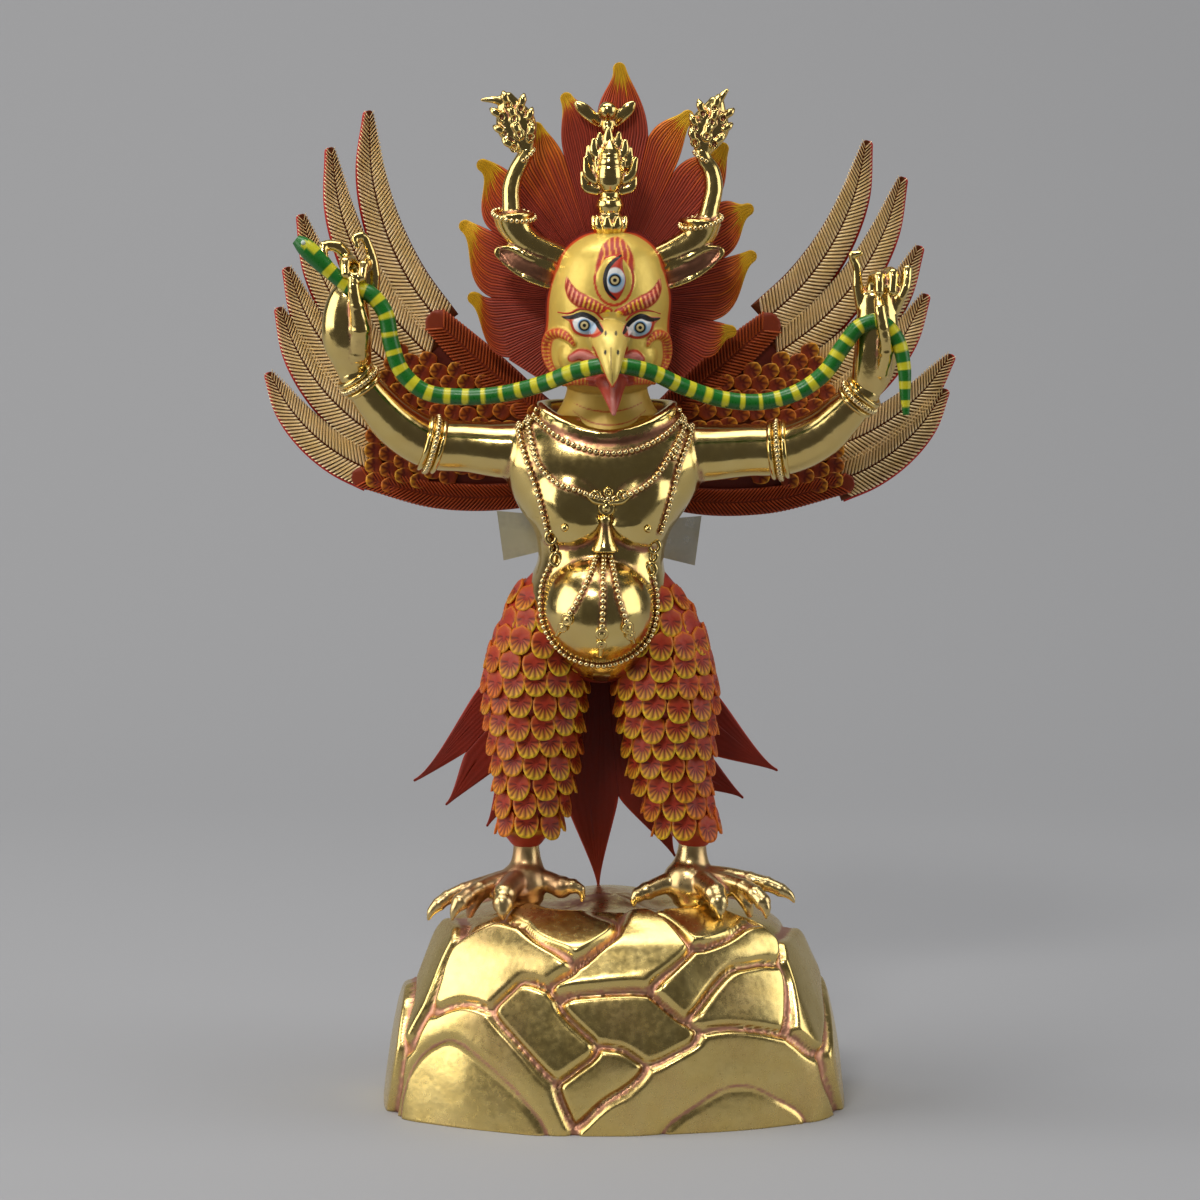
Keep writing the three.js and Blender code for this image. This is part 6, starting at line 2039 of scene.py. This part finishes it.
leg_shells = [leg_core(table, side) for side, table in LEGS.items()]
leg_shells.append(ball([-5.8, -1, 91], [16, 15, 9], 32))
hips = cast("hips_and_shins", leg_shells, 1.1, 2, LEG_PAINT)
x, y, height = places(hips).T
blotch = np.sin(x * 0.7) * np.sin(height * 0.9 + y * 0.5)
coat = Coat(tone(176, 54, 30), len(x))
coat.lay(held(blotch) * 0.4, tone(150, 30, 22))
in_hem = held((height - 24) / 2) * held((31 - height) / 2)
coat.lay(in_hem * held(0.5 + blotch) * (y < 4), tone(214, 160, 38))
# painted shade: the inner hips between the legs are darker below the belly
shade_between_legs = held((100 - height) / 10) * (np.abs(x + 6) < 12)
painted(hips, coat.lay(shade_between_legs * 0.6, tone(96, 22, 14)), "leg_paint", "body")

# %% One scale


def fan_scale(width, length, stand, grooves=6):
    """A round ended scale, hung at its top; also how near each place is to the rim and to a groove."""
    count = 2 * grooves + 1
    fan = np.radians(np.linspace(-100, 100, count))
    top = np.radians([128, 180, -128])
    angle = np.concatenate([fan, top])
    reach_x = squared(np.sin(angle), 2.7) * width / 2
    reach_y = -np.cos(angle) * np.where(np.cos(angle) > 0, length * 0.56, length * 0.44)
    groove = np.concatenate([np.arange(count) % 2 == 1, [False] * 3]).astype(float)
    rings, edge, cut = [], [], []
    for share, lift in ((0.3, 0.35), (0.8, 0.75), (1.0, 0.55), (0.96, -0.35)):
        x, y = reach_x * share, reach_y * share
        hang = np.clip(-y / (length * 0.56), -0.8, 1)
        z = stand * (0.45 + 0.5 * hang) + lift - 0.42 * groove * (0.25 < share < 0.9)
        rings.append(np.stack([x, y - length * 0.3, z], axis=1))
        edge.append(np.full(len(x), share if lift > 0 else 1.0) * (0.6 + 0.4 * held(hang)))
        cut.append(groove * (0.25 < share < 0.9))
    points, faces = skin(np.array(rings))
    return points, faces, np.concatenate(edge + [[0.1, 0.1]]), np.concatenate(cut + [[0.0, 0.0]])


def scale_item(name, width, length, stand, grooves=6):
    """A pattern scale that carries its edge and groove numbers."""
    points, faces, edge, cut = fan_scale(width, length, stand, grooves)
    item = item_piece(name, points, faces)
    mark(item, "edge", edge)
    mark(item, "cut", cut)
    return item


# %% Rows of scales on the legs
scale = scale_item("scale_item", SCALE_WIDTH * 1.08, SCALE_PITCH * 1.42, 1.9, 7)
scale_rows = []
for table, top in ((LEGS["left"], 112), (LEGS["right"], 111)):
    for row in range(-1, 11):
        height = top - row * SCALE_PITCH
        x, y, radius = leg_at(table, height)
        count = max(8, int(round(2 * math.pi * radius / SCALE_WIDTH)))
        turn = full_turn(6 * count) + (row % 2) * math.pi / count + row * 0.15
        wave = 0.9 * np.sin(turn * 3 + row * 2)
        ring = np.stack([x + np.cos(turn) * radius, y + np.sin(turn) * radius, height + wave], axis=1)
        slope = np.full(len(turn), 0.45 if row < 0 else 0.1)
        scale_rows.append((ring, np.stack([np.cos(turn), np.sin(turn), slope], axis=1), 1.0, True))
scales = row_of("leg_scales", scale_rows, scale, SCALE_WIDTH, LEG_PAINT)


def scale_paint(piece, item, tones, highlight_share, slot, node):
    """Paint each scale by ground, rim and bright tone, with a painted highlight where the share says so, brighter
    by chance, and painted shade in its engraved lines.
    """
    points, edge, cut = places(piece), numbers(piece, "edge"), numbers(piece, "cut")
    each = len(item.data.vertices)
    island = np.repeat(np.random.default_rng(7).random(len(points) // each), each)
    ground, rim, bright = (tone(*chart) for chart in tones)
    coat = Coat(ground, len(points))
    coat.lay((edge - 0.42) / 0.3, rim)
    yellow = held(highlight_share(points) + (island - 0.5) * 0.7)
    coat.lay(held((edge - 0.55) / 0.25) * yellow, bright)
    # painted shade: the engraved lines of each scale are laid over with a dark red
    painted(piece, coat.lay(cut * 0.85, tone(90, 20, 14)), slot, node)


def leg_light(points):
    """Painted highlight: the brightest yellow lies on the front and the inner side of each leg."""
    left = points[:, 0] < -5
    out = (points[:, 0] - np.where(left, -31, 21)) * np.where(left, -1, 1) / 16
    return held(-points[:, 1] / 14) * held(0.95 - 0.75 * np.clip(out, -0.2, 1))


LEG_TONES = [(176, 54, 30), (240, 124, 38), (250, 210, 44)]
scale_paint(scales, scale, LEG_TONES, leg_light, "leg_paint", "body")
drop_item(scale)

# %% [markdown]
# Behind the legs hangs a tail of nine pointed feathers cut into one thin sheet. It is painted a matt
# dark red, with a painted shadow behind the legs, and faint barbs scratched along the feathers.

# %% Tail
TAIL_CENTRE = np.array([-5.0, 110.0])
TAIL = [
    [[-78.1, 39], [[-50.7, 78], [-57.6, 50.6]], [-1, -0.5]],
    [[-65.7, 29.4], [[-57.6, 50.6], [-44.6, 45]], [-1, -0.9]],
    [[-49.8, 20.8], [[-44.6, 45], [-31, 39]], [-0.6, -1]],
    [[-35, 8.7], [[-31, 39], [-19.5, 33]], [-0.35, -1]],
    [[-6.3, -3.8], [[-19.5, 33], [1.5, 33]], [0.05, -1]], [[23.7, 8.7], [[1.5, 33], [23, 39]], [0.6, -1]],
    [[38.3, 21], [[23, 39], [33, 37]], [0.6, -1]], [[50, 32.1], [[33, 37], [37, 50]], [1, -0.9]],
    [[63.3, 43.1], [[37, 50], [39, 74]], [1, -0.5]],
]


def tail_sheet(feather, order):
    """A tail feather; the sheet leans forward towards its root."""
    first, second, level = tongue_edges(feather, TAIL_CENTRE, 0.5, 14, 22, (0.14, 0.2))
    shell, coords = strand_sheet(first, second, level, 26.4, 1.9, 2.6, 0.14, 0.0, order)
    shell[0][:, 1] -= 6.2 * held(shell[0][:, 2] / 110)
    return shell, coords


def tail_paint(k, coords, points):
    """Dark red, with a painted shadow behind the legs, and lighter edges."""
    coat = Coat(tone(134, 32, 8), len(points))
    # painted shadow: the red is darker where the legs stand in front of the tail
    behind = held(1.15 - np.abs(points[:, 0] + 5) / 36) * held((points[:, 2] + 2) / 45)
    coat.lay(behind * 0.8, tone(108, 22, 3))
    edge = held((np.abs(2 * coords[:, 1] - 1) - 0.9) / 0.08) * (coords[:, 0] > 0)
    return coat.lay(edge * 0.6, tone(206, 60, 34))


tail_sheets = [tail_sheet(feather, k) for k, feather in enumerate(TAIL)]
painted_sheets("tail_feathers", tail_sheets, tail_paint, TAIL_PAINT, "tail_paint", "tail")
TAIL_ROOT = [[-5, 15, 107, 8, 6], [-5, 21, 99, 11, 4.5], [-5, 22.5, 88, 12, 2.4]]
tail_root = cast("tail_root", [limb(TAIL_ROOT, 24, 24)], 1.2, 2, TAIL_PAINT)
painted(tail_root, tone(120, 30, 16), "tail_paint", "tail")

# %% [markdown]
# Each wing has six long gilt feathers with an engraved herringbone of barbs, a painted field of small
# round feathers, and a painted band of barbs above and below it. A barb is one slanting ridge, and the
# row tree sets it along both sides of every shaft. The backs and the edges of the feathers are red.

# %% Long feathers
WING_Y = 21.5
LEFT_TIPS = [
    [-94.2, 299.2], [-109.1, 285.2], [-120.6, 259.7], [-126.3, 239.5], [-129.5, 224.2], [-133.9, 199],
]
RIGHT_TIPS = [[96.9, 287.7], [110.6, 273.8], [117.4, 247.5], [120, 229.1], [130.2, 205.6], [128, 192.5]]
WINGS = {
    "left": {"sign": -1, "roots": [[-66, 216], [-92, 160]], "tips": LEFT_TIPS, "hub": [-12, 166],
             "upper": [[-16, 168], [-36, 189], [-52, 203], [-67, 217]],
             "lower": [[-14, 155], [-38, 151], [-66, 151], [-97, 158]]},
    "right": {"sign": 1, "roots": [[57, 218], [84, 156]], "tips": RIGHT_TIPS, "hub": [4, 166],
              "upper": [[8, 170], [28, 190], [43, 203], [58, 216]],
              "lower": [[6, 155], [28, 149.4], [56, 149], [88, 155.6]]},
}


def feather_line(plan, k):
    """The shaft of a long feather as [x, y, height]."""
    share = k / (len(plan["tips"]) - 1)
    root = np.array(plan["roots"][0]) * (1 - share) + np.array(plan["roots"][1]) * share
    tip = np.array(plan["tips"][k], float)
    tip -= 3.1 * unit(tip - root)
    span = tip - root
    aside = np.array([span[1], -span[0]]) * plan["sign"]
    steps = (0, 0.25, 0.5, 0.75, 1)
    line = [root + span * t + aside * 0.2 * 2 * t * (1 - t) for t in steps]
    return np.array([[x, WING_Y + 1.2 * t, z] for (x, z), t in zip(line, steps)])


FEATHER_HALVES = [7.8, 7.6, 6.8, 5.2, 1.6]


def vane(line, halves, thick, widen=0.0, back=0.0, count=44):
    """The flat plate of a feather or of a band, with a round end."""
    rows = flow(np.column_stack([line, halves]), count)
    along = unit(np.gradient(rows[:, :3], axis=0))
    side = unit(np.cross(along, [0, 1, 0]))
    across = np.array([-1, -0.9, -0.45, 0, 0.45, 0.9, 1])
    rise = np.array([0, 0.3, 0.3, 0.3, 0.3, 0.3, 0])
    stations = [(rows[k, :3], side[k], rows[k, 3] + widen) for k in range(count)]
    last, reach_end = rows[-1, 3] + widen, rows[-1, 3]
    for turn in np.radians([30, 55, 75]):
        stations.append((rows[-1, :3] + along[-1] * reach_end * math.sin(turn), side[-1],
                         last * math.cos(turn)))
    rings = []
    for middle, out, half in stations:
        front = middle + out * (across * half)[:, None] + np.outer(back - rise, [0, 1, 0])
        rear = middle + out * (across[::-1][1:-1] * half)[:, None] + np.array([0, thick + back, 0])
        rings.append(np.vstack([front, rear]))
    return skin(np.array(rings))


def barb_item(name, sign, pitch, height=0.85, lean=0.95, reach_mm=5.0):
    """One slanting ridge from the shaft to the edge."""
    rings = []
    for share, rise, half in ((0.0, 0.2, 0.26), (0.08, 0.6, 0.38), (0.45, 1.0, 0.42), (0.85, 0.9, 0.4),
                              (1.0, 0.3, 0.26)):
        x, y, half = lean * reach_mm * share, sign * reach_mm * (0.04 + 0.96 * share), half * pitch
        rings.append([[x - half, y, 0.1], [x, y, height * rise + 0.15], [x + half, y, 0.1], [x, y, -0.1]])
    points, faces = skin(np.array(rings))
    return item_piece(name, points, faces)


def barb_strand(line, halves, reach_mm=5.0, count=60, trim=2):
    """The path of a row of barbs on a vane, sized by its half width."""
    rows = flow(np.column_stack([line, halves]), count)[:count - trim]
    share = rows[:, 3] / reach_mm
    sizes = np.column_stack([np.minimum(1, 0.35 + 0.65 * share), share * 0.97, np.ones(len(rows))])
    return rows[:, :3] + [0, -0.35, 0], FORWARD, sizes, False


BARB_PITCH = 1.5
barb_items = [barb_item("barb_left", 1, BARB_PITCH), barb_item("barb_right", -1, BARB_PITCH)]
for side, plan in WINGS.items():
    node = "wing_" + side
    lines = [feather_line(plan, k) for k in range(6)]
    strands = [barb_strand(line, FEATHER_HALVES, trim=1) for line in lines]
    outer = [line + [plan["sign"] * 0.9, 0, -0.3] for line in lines]
    for item, hand in zip(barb_items, ("upper", "lower")):
        barbs = row_of(side + "_" + hand + "_barbs", strands, item, BARB_PITCH, FEATHER_GILT)
        shade(barbs, False)
        mark(barbs, "crevice", np.resize([0.14, 0, 0.14, 0.16], len(barbs.data.vertices)))
        finish_as(barbs, "gilt", node)
    plates = {"vanes": [vane(line, FEATHER_HALVES, 0.5) for line in lines],
              "backs": [vane(line, FEATHER_HALVES, 0.9, widen=0.2, back=1.0) for line in outer]}
    # the vanes are a dark copper-brown: the copper of the grooves between the barbs, darkened further as painted
    # shade
    for kind, colour, metal in (("vanes", tone(108, 54, 26), 0.6), ("backs", tone(196, 44, 32), 0.0)):
        plate = new_piece(side + "_feather_" + kind, *joined(plates[kind]), WING_PAINT)
        painted(plate, colour, "wing_paint", node, metal)
print("long feathers set")

# %% Painted field, bands and small feathers
FIELDS = {
    "left": [
        [-8, 172], [-24, 187], [-40, 200], [-55, 211], [-69, 222], [-78, 214], [-86, 200], [-93, 180],
        [-98, 163], [-92, 154], [-78, 149], [-60, 147], [-40, 149.5], [-20, 153], [-8, 158],
    ],
    "right": [
        [0, 172], [16, 187], [30, 200], [45, 211], [60, 221], [68, 212], [76, 198], [84, 178], [90, 159],
        [84, 151], [70, 146.6], [52, 145.2], [32, 147.5], [12, 152], [0, 158],
    ],
}


def field_shell(outline, y, thick):
    """A smooth swollen sheet inside a closed outline."""
    rim = flow(outline, 120, closed=True)
    centre = rim.mean(axis=0)
    rings = [np.column_stack([x, np.full(120, y - thick * rise), z]) for share, rise in
             ((0.1, 0.5), (0.4, 0.48), (0.7, 0.42), (0.9, 0.3), (1.0, 0.0), (0.9, -0.4), (0.5, -0.5))
             for x, z in [((centre + (rim - centre) * share)).T]]
    return skin(np.array(rings))


COVERT_TONES = [(122, 38, 15), (204, 98, 26), (240, 178, 40)]
covert = scale_item("covert_item", 6.2, 7.4, 1.5, 4)
for side, plan in WINGS.items():
    node, sign = "wing_" + side, plan["sign"]
    field = new_piece(side + "_wing_field", *field_shell(FIELDS[side], WING_Y + 1.6, 4.2), WING_PAINT)
    x, y, _ = places(field).T
    coat = Coat(tone(98, 28, 10), len(x))
    coat.lay(np.clip((40 - np.abs(x - plan["hub"][0])) / 40, 0, 0.5), tone(100, 26, 14))
    painted(field, coat.lay(y > WING_Y + 2, tone(150, 26, 20)), "wing_paint", node)
    rows = []
    for k, reach_mm in enumerate(np.arange(16, 82, 5.6)):
        low, high = -8 + 5 * (k < 2), 37 - 0.9 * k
        turn = np.radians(np.linspace(low, high, 40) + (k % 2) * 150 / reach_mm)
        ring = np.stack([plan["hub"][0] + sign * np.cos(turn) * reach_mm,
                         np.full(40, WING_Y - 0.4 - 0.05 * k),
                         plan["hub"][1] + np.sin(turn) * reach_mm * 1.05], axis=1)
        rows.append((ring if sign > 0 else ring[::-1], FORWARD, 1.0, False))
    coverts = row_of(side + "_coverts", rows, covert, 5.5, WING_PAINT)
    scale_paint(coverts, covert, COVERT_TONES, lambda points: 0.5, "wing_paint", node)
    band_strands, band_vanes = [], []
    for path, halves in ((plan["upper"], [5, 6.6, 7, 5.4]), (plan["lower"], [3.5, 5, 5.2, 4])):
        line = np.array([[x, WING_Y - 1.2, z] for x, z in path], float)
        band_vanes.append(vane(line, halves, 2.5))
        band_strands.append(barb_strand(line, halves, trim=2))
    shell = new_piece(side + "_wing_bands", *joined(band_vanes), WING_PAINT)
    painted(shell, tone(136, 50, 20), "wing_paint", node)
    for item, hand in zip(barb_items, ("upper", "lower")):
        barbs = row_of(side + "_band_" + hand + "_barbs", band_strands, item, BARB_PITCH, WING_PAINT)
        x, _, height = places(barbs).T
        coat = Coat(tone(178, 78, 26), len(x))
        coat.lay(held((46 - np.abs(x)) / 26) * 0.7, tone(140, 44, 20))
        painted(barbs, coat.lay(held((165 - height) / 10) * 0.6, tone(190, 74, 24)), "wing_paint", node)
for item in barb_items + [covert]:
    drop_item(item)
print("wings done")

# %% [markdown]
# The snake is a main form that follows a rule: a tube whose width follows its path. Geometry Nodes draw
# it from one curve that carries the half width and the distance along it, and the painter's rings are
# laid on by that distance.

# %% Snake
SNAKE = [
    [-118.6, -19, 251.2, 1.9], [-116, -19, 249.2, 3.2], [-111, -19.3, 244.5, 3.6],
    [-105, -19.7, 238.6, 2.9], [-98, -20, 233.5, 3], [-91, -20.5, 231, 3.1], [-86, -21, 225, 3.1],
    [-83.3, -21.5, 213, 3.1], [-79.5, -22, 202.5, 3.1], [-72, -22.5, 195.5, 3.1], [-57, -23, 193, 3.1],
    [-42, -24.5, 194.2, 3.1], [-27, -28, 198.3, 3.1], [-14, -33, 203.5, 3.1], [-2, -35, 205.8, 3],
    [12, -33, 203.4, 3.1], [25, -28, 197.3, 3.1], [40, -24.5, 192.2, 3.1], [55, -23, 191.2, 3.1],
    [68, -22.5, 194.8, 3.1], [78, -22, 202, 3.1], [85, -21, 212, 3.1], [91, -20.5, 219, 3],
    [98, -20, 220.8, 3], [104.5, -20.5, 214.5, 2.9], [107.3, -21, 205, 2.6], [107.9, -21.5, 194, 2],
    [108.3, -22, 186.2, 1.2],
]


def tube_tree():
    """A closed tube around a wire whose points carry their half width."""
    tree, given, out = new_group("GeometryNodeTree", "Tube of changing width", {
        "Wire": ("Geometry",), "Sides": ("Int",), "Finish": ("Material",)}, {"Tube": ("Geometry",)})
    curve = wired(tree, "GeometryNodeMeshToCurve", {"Mesh": given["Wire"]}).outputs[0]
    half = wired(tree, "GeometryNodeInputNamedAttribute", {"Name": "half"}, data_type="FLOAT").outputs[0]
    circle = wired(tree, "GeometryNodeCurvePrimitiveCircle",
                   {"Resolution": given["Sides"], "Radius": 1.0}).outputs[0]
    sweep = {"Curve": curve, "Profile Curve": circle, "Scale": half, "Fill Caps": True}
    tube = wired(tree, "GeometryNodeCurveToMesh", sweep).outputs[0]
    done = wired(tree, "GeometryNodeSetMaterial", {"Geometry": tube, "Material": given["Finish"]}).outputs[0]
    tree.links.new(wired(tree, "GeometryNodeRealizeInstances", {"Geometry": done}).outputs[0], out.inputs[0])
    return tree


SNAKE_ROWS = 640


def snake_piece():
    """The snake's body, and its length."""
    rows = flow(SNAKE, SNAKE_ROWS)
    along = walked(rows[:, :3])
    mesh = bpy.data.meshes.new("snake_wire")
    mesh.from_pydata(in_metres(rows[:, :3]).tolist(), [(k, k + 1) for k in range(SNAKE_ROWS - 1)], [])
    for title, values in (("half", np.maximum(rows[:, 3], 0.2) * MM), ("along", along)):
        mesh.attributes.new(title, "FLOAT", "POINT").data.foreach_set("value", values)
    piece = placed("snake_body", mesh)
    set_modifier(piece, tube_tree(), {"Sides": 20, "Finish": SNAKE_PAINT})
    settled(piece)
    shade(piece)
    return piece, along[-1]


snake, snake_length = snake_piece()
walk = numbers(snake, "along")
_, forth, up = normals(snake).T
ring_phase = np.abs(((walk / 6.9 + 0.06 * np.sin(walk * 1.7)) % 1) - 0.5)
wide = np.clip(0.75 - forth * 0.5 + up * 0.35, 0.15, 1)
coat = Coat(tone(22, 112, 34), len(walk))
# painted shade: the underside of the snake is a darker green
coat.lay(held(-up) * 0.6, tone(12, 64, 24))
ring = held((0.19 * wide - ring_phase) / 0.025) * (walk > 15) * (walk < snake_length - 2)
ring *= held((0.6 * up - 0.8 * forth + 0.16) / 0.16)
coat.lay(ring, tone(214, 206, 40))
streak = (walk > 3) & (walk < 9) & (up > 0.1) & (up < 0.75) & (forth < -0.2)
painted(snake, coat.lay(streak, tone(200, 198, 40)), "snake_paint", "snake")
eye_balls = joined([ball(spot, 0.9, 14) for spot in ([-115.6, -22, 250.2], [-116.2, -17.2, 247.4])])
snake_eyes = new_piece("snake_eyes", *eye_balls, SNAKE_PAINT)
painted(snake_eyes, tone(200, 214, 200), "snake_paint", "snake")
print("snake is", round(float(snake_length)), "mm long")

# %% [markdown]
# Two pieces of yellowed adhesive film are stuck to the waist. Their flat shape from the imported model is
# right as it is, so they only get a finish: thin, a little cloudy, uneven in tone.

# %% Film
FILM, film_tree, film_shader = new_material("yellowed_film", {})
film_place = film_tree.nodes.new("ShaderNodeTexCoord").outputs["Object"]
cloud = noise(film_tree, film_place, 90.0, 3.0)
feed(film_tree, film_shader, {
    "Base Color": blend(film_tree, reach(film_tree, cloud, 0.35, 0.65), (0.33, 0.3, 0.15, 1),
                        (0.44, 0.41, 0.26, 1)),
    "Alpha": reach(film_tree, cloud, 0.3, 0.7, 0.5, 0.72),
    "Roughness": reach(film_tree, cloud, 0.3, 0.7, 0.3, 0.5),
})
for node in ("tape_tab_left", "tape_tab_right"):
    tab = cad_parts[node]
    tab.data.materials.clear()
    tab.data.materials.append(FILM)
print("film laid on")

# %% Print the sizes
size = {"cad_box": [list(corner) for corner in CAD_BOX], "visual_box": [list(corner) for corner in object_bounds()]}
print("sizes:", size)
